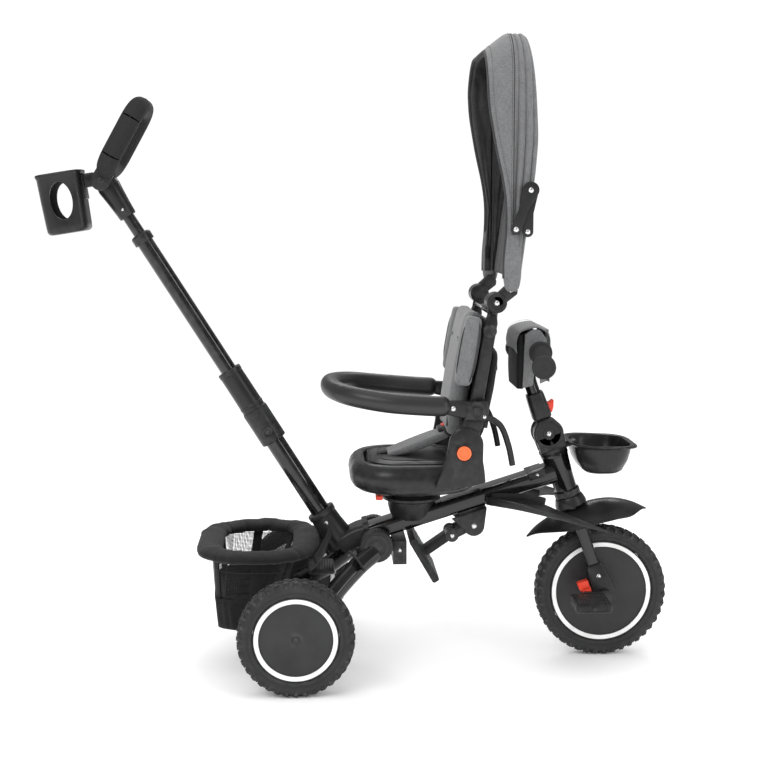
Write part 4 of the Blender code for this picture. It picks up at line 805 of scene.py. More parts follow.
# ---- repeats by geometry nodes ------------------------------------------------------------------
class Repeats:
    """Geometry Nodes trees for what repeats: rivets, tread, ribs and stitches."""

    KINDS = {"Geometry": "NodeSocketGeometry", "Material": "NodeSocketMaterial"}
    trees: dict[str, bpy.types.NodeTree] = {}

    @classmethod
    def start(cls, name: str, inputs: dict[str, object]):
        """Makes an empty tree with named inputs.

        Args:
            name: the tree's name.
            inputs: each input's name and its usual value: a number, a whole number or three numbers.

        Returns:
            The tree, its input node's outputs and its output node.
        """
        tree = bpy.data.node_groups.new(name, "GeometryNodeTree")
        tree.interface.new_socket("Geometry", in_out="OUTPUT", socket_type="NodeSocketGeometry")
        tree.interface.new_socket("Geometry", in_out="INPUT", socket_type="NodeSocketGeometry")
        tree.interface.new_socket("Finish", in_out="INPUT", socket_type="NodeSocketMaterial")
        for label, usual in inputs.items():
            kind = {int: "NodeSocketInt", float: "NodeSocketFloat", tuple: "NodeSocketVector"}[type(usual)]
            socket = tree.interface.new_socket(label, in_out="INPUT", socket_type=kind)
            socket.default_value = usual
        cls.trees[name] = tree
        return tree, tree.nodes.new("NodeGroupInput").outputs, tree.nodes.new("NodeGroupOutput")

    @classmethod
    def close(cls, tree: bpy.types.NodeTree, out: bpy.types.Node, instances, finish) -> bpy.types.NodeTree:
        """Ends a tree in real faces with their finish."""
        real = node(tree, "GeometryNodeRealizeInstances", {"Geometry": instances})
        smooth = node(tree, "GeometryNodeSetShadeSmooth", {"Geometry": real.outputs[0]})
        dressed = node(tree, "GeometryNodeSetMaterial", {"Geometry": smooth.outputs[0], "Material": finish})
        tree.links.new(dressed.outputs[0], out.inputs[0])
        return tree

    @classmethod
    def rivets(cls) -> bpy.types.NodeTree:
        """A domed head on a thin washer at each point, square to the point's "facing"."""
        if "rivets" in cls.trees:
            return cls.trees["rivets"]
        tree, given, out = cls.start("rivets", {"Radius": 0.004, "Height": 0.002})
        height = given["Height"]
        washer = node(tree, "GeometryNodeMeshCylinder",
            {"Vertices": 24, "Radius": given["Radius"], "Depth": calc(tree, "MULTIPLY", height, 0.7)})
        ball = node(tree, "GeometryNodeMeshUVSphere", {"Segments": 20, "Rings": 12, "Radius": 1.0})
        wide = calc(tree, "MULTIPLY", given["Radius"], 0.82)
        size = node(tree, "ShaderNodeCombineXYZ", {"X": wide, "Y": wide, "Z": height})
        dome = node(tree, "GeometryNodeTransform", {"Geometry": ball.outputs["Mesh"], "Scale": size.outputs[0]})
        both = tree.nodes.new("GeometryNodeJoinGeometry")
        tree.links.new(washer.outputs["Mesh"], both.inputs[0])
        tree.links.new(dome.outputs[0], both.inputs[0])
        facing = node(tree, "GeometryNodeInputNamedAttribute", {"Name": "facing"}, data_type="FLOAT_VECTOR")
        turn = node(tree, "FunctionNodeAlignRotationToVector", {"Vector": facing.outputs["Attribute"]}, axis="Z")
        feeds = {"Points": given["Geometry"], "Instance": both.outputs[0], "Rotation": turn.outputs[0]}
        placed = node(tree, "GeometryNodeInstanceOnPoints", feeds)
        return cls.close(tree, out, placed.outputs[0], given["Finish"])

    @classmethod
    def crown(cls) -> bpy.types.NodeTree:
        """Blocks round a ring about the Y axis: tyre tread, teeth and grip ribs."""
        if "crown" in cls.trees:
            return cls.trees["crown"]
        usual = {"Count": 36, "Radius": 0.1, "Block": (0.004, 0.008, 0.008), "Skew": 0.0, "Phase": 0.0,
            "Centre": (0.0, 0.0, 0.0)}
        tree, given, out = cls.start("crown", usual)
        ring = node(tree, "GeometryNodeMeshCircle", {"Vertices": given["Count"], "Radius": given["Radius"]})
        block = node(tree, "GeometryNodeMeshCube", {"Size": given["Block"]})
        index = tree.nodes.new("GeometryNodeInputIndex").outputs[0]
        angle = calc(tree, "DIVIDE", calc(tree, "MULTIPLY", index, 2 * pi), given["Count"])
        turn = node(tree, "ShaderNodeCombineXYZ", {"X": given["Skew"], "Z": angle})
        feeds = {"Points": ring.outputs[0], "Instance": block.outputs["Mesh"], "Rotation": turn.outputs[0]}
        placed = node(tree, "GeometryNodeInstanceOnPoints", feeds)
        phase = node(tree, "ShaderNodeCombineXYZ", {"Z": given["Phase"]})
        turned = node(tree, "GeometryNodeTransform", {"Geometry": placed.outputs[0], "Rotation": phase.outputs[0]})
        feeds = {"Geometry": turned.outputs[0], "Rotation": (-pi / 2, 0.0, 0.0), "Translation": given["Centre"]}
        laid = node(tree, "GeometryNodeTransform", feeds)
        real = node(tree, "GeometryNodeRealizeInstances", {"Geometry": laid.outputs[0]})
        dressed = node(tree, "GeometryNodeSetMaterial", {"Geometry": real.outputs[0], "Material": given["Finish"]})
        tree.links.new(dressed.outputs[0], out.inputs[0])
        return tree

    @classmethod
    def stitches(cls) -> bpy.types.NodeTree:
        """Short threads in a row along the input's edges, a pitch apart."""
        if "stitches" in cls.trees:
            return cls.trees["stitches"]
        tree, given, out = cls.start("stitches", {"Pitch": 0.005, "Length": 0.0032, "Thick": 0.0005})
        curve = node(tree, "GeometryNodeMeshToCurve", {"Mesh": given["Geometry"]})
        feeds = {"Curve": curve.outputs[0], "Length": given["Pitch"]}
        even = node(tree, "GeometryNodeResampleCurve", feeds, mode="LENGTH")
        thread = node(tree, "GeometryNodeMeshUVSphere", {"Segments": 6, "Rings": 5, "Radius": 1.0})
        half = calc(tree, "MULTIPLY", given["Length"], 0.5)
        size = node(tree, "ShaderNodeCombineXYZ", {"X": given["Thick"], "Y": given["Thick"], "Z": half})
        shaped = node(tree, "GeometryNodeTransform", {"Geometry": thread.outputs["Mesh"], "Scale": size.outputs[0]})
        run = tree.nodes.new("GeometryNodeInputTangent").outputs[0]
        turn = node(tree, "FunctionNodeAlignRotationToVector", {"Vector": run}, axis="Z")
        feeds = {"Points": even.outputs[0], "Instance": shaped.outputs[0], "Rotation": turn.outputs[0]}
        placed = node(tree, "GeometryNodeInstanceOnPoints", feeds)
        return cls.close(tree, out, placed.outputs[0], given["Finish"])

    @classmethod
    def grow(cls, name: str, tree: bpy.types.NodeTree, seed: bpy.types.Mesh, finish: Finish,
        **sizes) -> bpy.types.Object:
        """Runs a tree on a seed mesh and keeps the result as a plain mesh.

        Args:
            name: the piece's name.
            tree: the tree.
            seed: the mesh that goes in.
            finish: the finish of every face.
            sizes: the tree's named inputs.

        Returns:
            The piece, not yet hung on a body.
        """
        made = bpy.data.objects.new(name + "_seed", seed)
        bpy.context.scene.collection.objects.link(made)
        run = made.modifiers.new("repeat", "NODES")
        run.node_group = tree
        labels = {item.name: item.identifier for item in tree.interface.items_tree if item.in_out == "INPUT"}
        run[labels["Finish"]] = finish.material()
        for label, value in sizes.items():
            run[labels[label]] = value
        return plain_mesh(made, name)


def rivet_row(name: str, body: str, spots: Sequence[tuple[Vector, Vector]], radius: float = 0.0045,
              height: float = 0.0018, finish: Finish = RIVET) -> bpy.types.Object:
    """Puts a rivet head at each spot.

    Args:
        name: the piece's name.
        body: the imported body.
        spots: pairs of a point and the way that the head faces.
        radius: the head's radius.
        height: how far it stands out.
        finish: its finish.

    Returns:
        The piece.
    """
    seed = bpy.data.meshes.new(name)
    seed.from_pydata([point for point, _ in spots], [], [])
    facing = seed.attributes.new("facing", "FLOAT_VECTOR", "POINT")
    for item, (_, way) in zip(facing.data, spots):
        item.vector = way
    piece = Repeats.grow(name, Repeats.rivets(), seed, finish, Radius=radius, Height=height)
    return hang(piece, body, finish)


def stitch_line(name: str, body: str, lines: Sequence[Sequence[Vector]], finish: Finish = THREAD,
                pitch: float = 0.0048, length: float = 0.0034, thick: float = 0.0005) -> bpy.types.Object:
    """Sews stitches along lines that lie on a surface.

    Args:
        name: the piece's name.
        body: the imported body.
        lines: the lines' points.
        finish: the thread.
        pitch: distance from stitch to stitch.
        length: length of a stitch.
        thick: half the thread's thickness.

    Returns:
        The piece.
    """
    points, edges = [], []
    for line in lines:
        start = len(points)
        points += list(line)
        edges += [(start + i, start + i + 1) for i in range(len(line) - 1)]
    seed = bpy.data.meshes.new(name)
    seed.from_pydata(points, edges, [])
    piece = Repeats.grow(name, Repeats.stitches(), seed, finish, Pitch=pitch, Length=length, Thick=thick)
    return hang(piece, body, finish)


def crown_of(name: str, body: str, finish: Finish, **sizes) -> bpy.types.Object:
    """Puts a ring of blocks round an axis along Y.

    Args:
        name: the piece's name.
        body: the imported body.
        finish: its finish.
        sizes: the ring's named sizes.

    Returns:
        The piece.
    """
    piece = Repeats.grow(name, Repeats.crown(), bpy.data.meshes.new(name), finish, **sizes)
    return hang(piece, body, finish)


# ---- wheels -------------------------------------------------------------------------------------
@dataclass
class Wheel:
    """A tyre with shoulder lugs on a flat disc with a pale ring on each face."""

    name: str
    centre: Vector
    radius: float
    tyre_body: str
    tyre_node: str
    disc_node: str
    bore: float
    lugs: int
    width: float = 0.042
    depth: float = 0.028

    @property
    def frame(self) -> Matrix:
        """The wheel's frame, with Z along the axle."""
        return Matrix.Translation(self.centre) @ ALONG_Y

    def tyre_outline(self) -> list[Pair]:
        """The tyre's section: bead, sidewall step, shoulder and a flat crown."""
        seat, top, half = self.radius - self.depth, self.radius - 0.0022, self.width / 2
        upper = [
            (seat, half - 0.004),
            (seat + 0.002, half - 0.0016),
            (seat + 0.005, half - 0.0004),
            (seat + 0.0075, half - 0.0012),
            (seat + 0.0085, half - 0.0012),
            (seat + 0.01, half),
            (top - 0.011, half - 0.0002),
            (top - 0.007, half - 0.0022),
            (top - 0.0035, half - 0.0062),
            (top - 0.001, half - 0.011),
            (top, half - 0.016),
        ]
        return upper + [(r, -h) for r, h in reversed(upper)]

    def build(self) -> None:
        """Makes the tyre, its tread, the disc and the rings."""
        tyre = Shape().lathe(self.frame, self.tyre_outline(), 128).object(self.name + "_carcass", 50)
        hang(tyre, self.tyre_body, RUBBER, [self.tyre_node])
        self.build_tread()
        self.build_disc()

    def build_tread(self) -> None:
        """Lugs in three rows: a middle row, and a slanted row on each shoulder."""
        half = self.width / 2
        rows = [
            ("middle", 0.0, self.radius - 0.0044, (0.008, 0.0072, 0.009), 0.35, 0.0),
            ("left", half - 0.01, self.radius - 0.0062, (0.0088, 0.0086, 0.0092), -0.55, 0.5),
            ("right", 0.01 - half, self.radius - 0.0062, (0.0088, 0.0086, 0.0092), 0.55, 0.5),
            ("left_side", half - 0.0036, self.radius - 0.0118, (0.0135, 0.0056, 0.0044), -0.42, 0.5),
            ("right_side", 0.0036 - half, self.radius - 0.0118, (0.0135, 0.0056, 0.0044), 0.42, 0.5),
        ]
        for row, shift, radius, block, skew, phase in rows:
            centre = tuple(self.centre + Vector((0, shift, 0)))
            turn = phase * 2 * pi / self.lugs
            crown_of(f"{self.name}_lugs_{row}", self.tyre_body, RUBBER, Count=self.lugs, Radius=radius, Block=block,
                     Skew=skew, Phase=turn, Centre=centre)

    def build_disc(self) -> None:
        """The disc, dished a little, and its two pale rings."""
        seat, face = self.radius - self.depth - 0.0006, self.width / 2 - 0.0062
        rim = self.width / 2 - 0.0034
        upper = [
            (self.bore, face + 0.0008),
            (seat * 0.22, face + 0.0006),
            (seat * 0.84, face - 0.0002),
            (seat - 0.0112, face + 0.0002),
            (seat - 0.0102, rim - 0.0004),
            (seat - 0.0098, rim),
            (seat - 0.0008, rim),
            (seat, rim - 0.0008),
        ]
        outline = upper + [(r, -h) for r, h in reversed(upper)]
        disc = Shape().lathe(self.frame, outline, 96).object(self.name + "_disc", 30)
        hang(disc, self.tyre_body, DISC, [self.disc_node])
        rings = Shape()
        low, high = seat - 0.0104, seat - 0.0022
        for sign in (1, -1):
            section = [(low, rim - 0.0006), (low + 0.0004, rim + 0.0006), (high - 0.0004, rim + 0.0006),
                (high, rim - 0.0004)]
            rings.lathe(self.frame, [(r, sign * h) for r, h in section], 128)
        hang(rings.object(self.name + "_pale_rings", 40), self.tyre_body, RING_WHITE)


# ---- frame and head -----------------------------------------------------------------------------
@dataclass
class MainFrame:
    """The main beam with its head tube, wings, seat post and the footrest's ears."""

    beam_wide: float = 0.06
    beam_tall: float = 0.03
    beam_long: float = 0.3985

    def build(self) -> None:
        """Makes every fixed piece of the frame."""
        self.build_beam()
        self.build_wings()
        self.build_swivel_base()
        self.build_ears()
        self.build_knuckle()

    def build_beam(self) -> None:
        """The beam with a groove along each side, and the tapered head tube."""
        half_w, half_t = self.beam_wide / 2, self.beam_tall / 2
        section = []
        for u, v in rounded_loop(half_w, half_t, 0.009, 8):
            groove = 0.0016 if abs(v) < 0.002 and abs(u) > half_w * 0.9 else 0.0
            section.append((u - groove * (1 if u > 0 else -1), v))
        line = [BEAM @ Vector((-x, 0, 0)) for x in (self.beam_long, self.beam_long - 0.002, 0.2, 0.012)]
        beam = Shape().tube(line, section)
        # the welded joint swells into the head tube
        collar = [BEAM @ Vector((x, 0, 0)) for x in (-0.052, -0.04, -0.026, -0.012)]
        beam.tube(collar, rounded_loop(half_w - 0.002, half_t + 0.003, 0.012, 8), lambda s: 0.97 + 0.05 * s)
        outline = [
            (0.013, 0.1925),
            (0.0232, 0.1925),
            (0.024, 0.1935),
            (0.024, 0.205),
            (0.0232, 0.2062),
            (0.0212, 0.2072),
            (0.0218, 0.23),
            (0.0238, 0.26),
            (0.0252, 0.274),
            (0.0262, 0.2748),
            (0.0264, 0.2806),
            (0.0256, 0.2818),
            (0.013, 0.2818),
        ]
        beam.lathe(STEER, outline, 64)
        hang(beam.object("main_beam", 40), "frame", TUBE, ["main_frame"])
        bands = Shape().lathe(STEER, [(0.0236, 0.1938), (0.0246, 0.1945), (0.0246, 0.204), (0.0236, 0.2047)], 64)
        hang(bands.object("head_band", 40), "frame", GREY_PLASTIC)
        cap = Shape().box(BEAM, (-0.062, -0.031, 0.003), (-0.03, 0.031, 0.0172), Edge.SOFT)
        hang(cap.object("head_clamp"), "frame", SATIN)
        screws = [(BEAM @ Vector((-0.046, s * 0.0312, 0.01)), Vector((0, s, 0))) for s in (1, -1)]
        rivet_row("head_clamp_screws", "frame", screws, 0.0032, 0.0012)

    def wing_outer(self) -> list[Vector]:
        """The line of a wing's thick outer edge, from its root to its tip."""
        table = [
            (-0.2215, 0.034, 0.31),
            (-0.2225, 0.052, 0.3085),
            (-0.206, 0.086, 0.311),
            (-0.17, 0.118, 0.3095),
            (-0.125, 0.142, 0.302),
            (-0.075, 0.156, 0.2895),
            (-0.032, 0.157, 0.2755),
            (-0.004, 0.15, 0.2655),
        ]
        return [spot(*p) for p in table]

    def build_wings(self) -> None:
        """Two swept wings: a hollow top behind a thick outer edge that runs out to a point."""
        wings = Shape()
        rim = smooth_path(self.wing_outer(), 8)
        inner_table = [(-0.2215, 0.032), (-0.16, 0.032), (-0.116, 0.034), (-0.085, 0.085), (-0.05, 0.118),
            (-0.004, 0.146)]
        for side in Side:
            rows = []
            for i, point in enumerate(rim):
                share = i / (len(rim) - 1)
                thick = 0.015 * (1 - share) ** 0.55 + 0.0012
                inner_y = along_table(inner_table, point.x - X0)
                inner = min(point.y - 0.002, inner_y)
                top, low = point.z + thick * 0.55, point.z - thick * 0.62
                wall = min(0.011, (point.y - inner) * 0.45)
                hollow = point.z - 0.004 * (1 - share)
                row = [
                    (inner, hollow + 0.003),
                    (inner + 0.3 * (point.y - inner), hollow),
                    (point.y - wall * 1.5, hollow),
                    (point.y - wall, top - 0.0015),
                    (point.y - wall * 0.6, top),
                    (point.y - 0.0012, top - 0.0018),
                    (point.y, point.z),
                    (point.y - 0.0018, low + 0.0016),
                    (point.y - wall * 0.7, low),
                    (point.y - wall * 1.5, low + 0.004 * (1 - share)),
                    (inner, hollow - 0.004 - 0.002 * (1 - share)),
                ]
                rows.append([Vector((point.x, side.value * y, z)) for y, z in row])
            wings.rings(rows)
            boss = [spot(-0.215, side.value * 0.03, 0.309), spot(-0.15, side.value * 0.034, 0.308),
                spot(-0.112, side.value * 0.036, 0.3)]
            wings.tube(smooth_path(boss, 6), oval(0.004, 0.01))
        made = wings.object("footrest_wing_pair", 40)
        finer = made.modifiers.new("finer", "SUBSURF")
        finer.levels = finer.render_levels = 1
        hang(plain_mesh(made, "footrest_wing_pair"), "frame", GREY_PLASTIC, ["footrest_wings"])

    def build_swivel_base(self) -> None:
        """The drum that the seat turns on, waisted towards the beam."""
        low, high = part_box("swivel_base")
        top = high.z - 0.0144
        outline = [(0.0, top), (0.043, top), (0.0445, top - 0.002), (0.044, top - 0.01), (0.04, 0.278),
            (0.034, low.z + 0.002), (0.033, low.z), (0.0, low.z)]
        centre = (low + high) / 2
        at = Matrix.Translation((centre.x, centre.y, 0))
        hang(Shape().lathe(at, outline, 72).object("seat_post_drum"), "frame", PLASTIC, ["swivel_base"])

    def build_ears(self) -> None:
        """The footrest's ears under the beam, with their rivets."""
        hang(Shape().node_copy("beam_bracket", 0.0014).object("footrest_ears"), "frame", GREY_PLASTIC, ["beam_bracket"])
        pivot = joint_spot("footrest_swing")
        heads = [(pivot + Vector((0, s * 0.035, 0)), Vector((0, s, 0))) for s in (1, -1)]
        rivet_row("footrest_rivets", "frame", heads, 0.0052, 0.0016)

    def build_knuckle(self) -> None:
        """The rear casting: pole socket, beam socket and fold barrel in one smooth form."""
        end = -self.beam_long
        body = Shape()
        line = [BEAM @ Vector((end + x, 0, z)) for x,
            z in ((0.016, -0.0015), (0.0, -0.001), (-0.018, -0.004), (-0.036, -0.01))]
        body.tube(smooth_path(line, 5), rounded_loop(0.0345, 0.0225, 0.012, 8), lambda s: 1.0 - 0.1 * s)
        body.lathe(POLE, [(0.0184, 0.0), (0.0262, 0.0), (0.0268, -0.0012), (0.0268, -0.01), (0.0252, -0.012),
            (0.0262, -0.03), (0.03, -0.062), (0.027, -0.078), (0.0, -0.082), (0.0, -0.052), (0.0184, -0.052)], 56)
        fold = joint_spot("rear_fold")
        body.rod(fold + Vector((0, -0.0456, 0)), fold + Vector((0, 0.0456, 0)), 0.021, 48)
        body.box(BEAM, (end - 0.012, -0.036, -0.036), (end + 0.032, 0.036, -0.014), Edge.ROUND, 3)
        hang(body.object("rear_casting", 40), "frame", SATIN, ["rear_knuckle"])
        band = Shape()
        ring = [BEAM @ Vector((end + x, 0, 0.0)) for x in (0.0145, 0.024)]
        band.tube(ring, rounded_loop(0.0365, 0.0245, 0.012, 8))
        made = band.object("casting_band")
        hang(made, "frame", PLASTIC)
        latch = Shape().node_copy("rear_knuckle", 0.0012)
        cut = [f for f in latch.bm.faces if f.calc_center_median().x < X0 - 0.4005 or f.calc_center_median().z > 0.236]
        bmesh.ops.delete(latch.bm, geom=cut, context="FACES")
        hang(latch.object("fold_latch"), "frame", GREY_PLASTIC)
        heads = [(spot(-0.3835, s * 0.0418, 0.2155), Vector((0, s, 0))) for s in (1, -1)]
        heads += [(spot(-0.412, s * 0.0362, 0.212), Vector((0, s, 0))) for s in (1, -1)]
        rivet_row("latch_rivets", "frame", heads, 0.0042, 0.0014)
        screws = [(POLE @ Vector((0.0, s * 0.0262, -0.022)), Vector((0, s, 0))) for s in (1, -1)]
        rivet_row("socket_screws", "frame", screws, 0.0034, 0.0012)


# ---- rear end -----------------------------------------------------------------------------------
@dataclass
class RearEnd:
    """The folding rear frame with its axle, brake bar and fabric basket."""

    arm_half: float = 0.0185
    basket_rim: float = 0.0185

    def build(self) -> None:
        """Makes the rear frame, brake and basket."""
        self.build_arms()
        self.build_brake()
        self.build_basket()

    def build_arms(self) -> None:
        """Two bent tubes from the fold hubs, with ringed hubs, axle housings and the axle."""
        fold, axle = joint_spot("rear_fold"), joint_spot("brake")
        arms, hubs = Shape(), Shape()
        for side in Side:
            s = side.value
            route = [
                fold + Vector((-0.002, s * 0.064, -0.01)),
                fold + Vector((-0.03, s * 0.076, -0.03)),
                fold + Vector((-0.06, s * 0.096, -0.056)),
                axle + Vector((0.052, s * 0.122, 0.036)),
                axle + Vector((0.016, s * 0.148, 0.012)),
                axle + Vector((0.002, s * 0.156, 0.002)),
            ]
            arms.tube(smooth_path(route, 8), oval(0.016, 0.018))
            low, high = span(side, 0.14, 0.187)
            arms.lathe(Matrix.Translation(axle) @ ALONG_Y,
                [(0.0107, low), (0.016, low), (0.0172, low + 0.001), (0.0172, high - 0.001), (0.016, high),
                    (0.0107, high)], 40)
            faces = [(0.0, 0.074), (0.011, 0.074), (0.0114, 0.0728), (0.0168, 0.0728), (0.0172, 0.074),
                (0.0222, 0.074), (0.0226, 0.0726), (0.0262, 0.0726), (0.0292, 0.0716), (0.03, 0.07), (0.03, 0.048),
                    (0.029, 0.0465), (0.0, 0.0465)]
            hubs.lathe(Matrix.Translation(fold) @ ALONG_Y, [(r, s * h) for r, h in faces], 72)
        arms.rod(axle + Vector((0, -0.142, 0)), axle + Vector((0, 0.142, 0)), 0.0105, 40)
        hang(arms.object("rear_arms", 40), "rear_frame", TUBE, ["rear_frame"])
        hang(hubs.object("fold_hubs", 30), "rear_frame", GREY_PLASTIC)
        for side in Side:
            centre = tuple(fold + Vector((0, side.value * 0.06, 0)))
            crown_of(f"fold_teeth_{side.word}", "rear_frame", GREY_PLASTIC, Count=28, Radius=0.0298,
                Block=(0.0014, 0.003, 0.018), Centre=centre)
        nuts = Shape()
        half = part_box("rear_axle")[1].y
        nuts.rod(axle + Vector((0, -half, 0)), axle + Vector((0, half, 0)), 0.006, 32)
        hang(nuts.object("rear_axle_rod"), "rear_frame", DARK_STEEL, ["rear_axle"])
        straps = Shape()
        for side in Side:
            s = side.value
            line = [spot(-0.479, s * 0.09, 0.227), spot(-0.464, s * 0.096, 0.212), spot(-0.452, s * 0.099, 0.193)]
            straps.tube(smooth_path(line, 6), rounded_loop(0.012, 0.0012, 0.001, 3))
        hang(straps.object("fold_straps"), "rear_frame", WEBBING)

    def build_brake(self) -> None:
        """The brake bar on its arm, with a ribbed tread."""
        hang(Shape().node_copy("brake_pedal", 0.0016).object("brake_bar"), "brake_pedal", GREY_PLASTIC, ["brake_pedal"])
        axle = joint_spot("brake")
        ribs = Shape()
        for i in range(9):
            x = 0.027 + i * 0.0048
            ribs.box(Matrix.Translation(axle), (x, -0.036, 0.0752), (x + 0.0022, 0.036, 0.0772), Edge.CRISP, 1)
        hang(ribs.object("brake_tread"), "brake_pedal", RUBBER)

    def basket_ring(self, z: float, half_x: float, half_y: float, corner: float, middle: float, wave: float = 0.0,
                    phase: float = 0.0, count: int = 14) -> list[Vector]:
        """A level line of the basket, with folds that swing it in and out.

        Args:
            z: its height.
            half_x: half its length.
            half_y: half its width.
            corner: corner radius.
            middle: x of its middle.
            wave: depth of the folds.
            phase: where the folds start.
            count: points in each corner.

        Returns:
            The line's points.
        """
        loop = rounded_loop(half_x, half_y, corner, count, 2.2)
        dense = smooth_path([Vector((u, v, 0)) for u, v in loop], 2, closed=True)
        points = []
        for i, p in enumerate(dense):
            a = 2 * pi * i / len(dense)
            swing = wave * (noise.noise(Vector((cos(a) * 3.1, sin(a) * 3.1, phase))) - 0.1)
            out = Vector((p.x, p.y, 0)).normalized() * swing
            points.append(spot(middle + p.x + out.x, p.y + out.y, z + 0.4 * swing))
        return points

    def build_basket(self) -> None:
        """A padded rim, a net band with four uprights, and a solid tub under it."""
        low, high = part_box("basket")
        floor, top = low.z, high.z
        mid_top, mid_low = -0.6458, -0.672
        rim_line = self.basket_ring(top - 0.0275, 0.0885, 0.13, 0.082, mid_top, 0.004, 5.0)
        rim_line = [p for i, p in enumerate(rim_line) if (p - rim_line[i - 1]).length > 0.0008]

        def pad(share: float) -> float:
            """The rim's thickness, pinched by its gathers."""
            a = 2 * pi * share
            return 0.9 + 0.1 * noise.noise(Vector((cos(a) * 7, sin(a) * 7, 3.0))) + 0.02 * sin(34 * a)

        rim = Shape().tube(rim_line, oval(0.0125, 0.027, 28), pad, closed=True, up=Vector((0, 0, 1)))
        made = rim.object("basket_rim", 80)
        hang(made, "frame", BLACK_CLOTH)
        levels = [0.0, 0.2, 0.4, 0.6, 0.8, 1.0]
        net_low = floor + 0.06
        net_rows = []
        for share in levels:
            z = net_low + (top - 0.026 - net_low) * share
            up = (z - floor) / (top - floor)
            half_x, half_y = 0.047 + 0.04 * up, 0.113 + 0.016 * up
            net_rows.append(self.basket_ring(z, half_x, half_y, 0.034 + 0.046 * up,
                mid_low + (mid_top - mid_low) * up, 0.003, 1.0))
        net = Shape().rings(net_rows, caps=False).object("basket_net", 80)
        girth = sum((p - net_rows[-1][i - 1]).length for i, p in enumerate(net_rows[-1]))
        hang(net, "frame", NET)
        rows = []
        for share, wave in ((1.0, 0.004), (0.75, 0.006), (0.5, 0.007), (0.25, 0.006), (0.08, 0.003), (0.0, 0.001)):
            z = floor + 0.0012 + (net_low - floor) * share
            up = (z - floor) / (top - floor)
            tuck = 0.01 if share == 0.0 else 0.0
            half_x, half_y = 0.046 + 0.04 * up - tuck, 0.112 + 0.016 * up - tuck
            rows.append(self.basket_ring(z, half_x, half_y, 0.034, mid_low + (mid_top - mid_low) * up, wave, 2.0))
        tub = Shape().rings(rows, caps=False)
        floor_row = rows[-1]
        centre = sum(floor_row, Vector()) / len(floor_row)
        shrink = [[centre + (p - centre) * s + Vector((0, 0, 0.0008 * (1 - s))) for p in floor_row] for s in (1.0,
            0.6, 0.25)]
        tub.rings(shrink, caps=False)
        tub.bm.faces.new([tub.bm.verts.new(p) for p in shrink[-1]])
        made = tub.object("basket_tub", 80, 1e-5)
        wall = made.modifiers.new("wall", "SOLIDIFY")
        wall.thickness, wall.offset = 0.0014, 1.0
        made = plain_mesh(made, "basket_tub")
        hang(made, "frame", BLACK_CLOTH, ["basket"])
        binding = Shape()
        binding.tube(net_rows[0], rounded_loop(0.0062, 0.0011, 0.001, 3), closed=True, up=Vector((0, 0, 1)))
        for angle in (35, 88, 145, 215, 272, 325):
            i = int(len(net_rows[0]) * angle / 360)
            binding.tube([row[i] for row in net_rows], rounded_loop(0.0085, 0.0011, 0.001, 3),
                up=(net_rows[0][i] - net_rows[0][i - 2]).normalized())
        hang(binding.object("basket_bands", 60), "frame", BLACK_CLOTH)
        stitch_line("basket_rim_stitches", "frame", [self.basket_ring(top - 0.056, 0.09, 0.131, 0.082, mid_top)],
            DARK_THREAD)
        straps = Shape()
        for side in Side:
            s = side.value
            for start, end in (((-0.54, 0.105, 0.215), (-0.513, 0.045, 0.252)),
                ((-0.552, 0.118, 0.205), (-0.523, 0.045, 0.222))):
                a, b = spot(start[0], s * start[1], start[2]), spot(end[0], s * end[1], end[2])
                middle = (a + b) / 2 + Vector((0, s * 0.006, -0.004))
                straps.tube(smooth_path([a, middle, b], 6), rounded_loop(0.0095, 0.0011, 0.001, 3),
                    up=Vector((0, 0, 1)))
        hang(straps.object("basket_straps", 60), "frame", WEBBING)


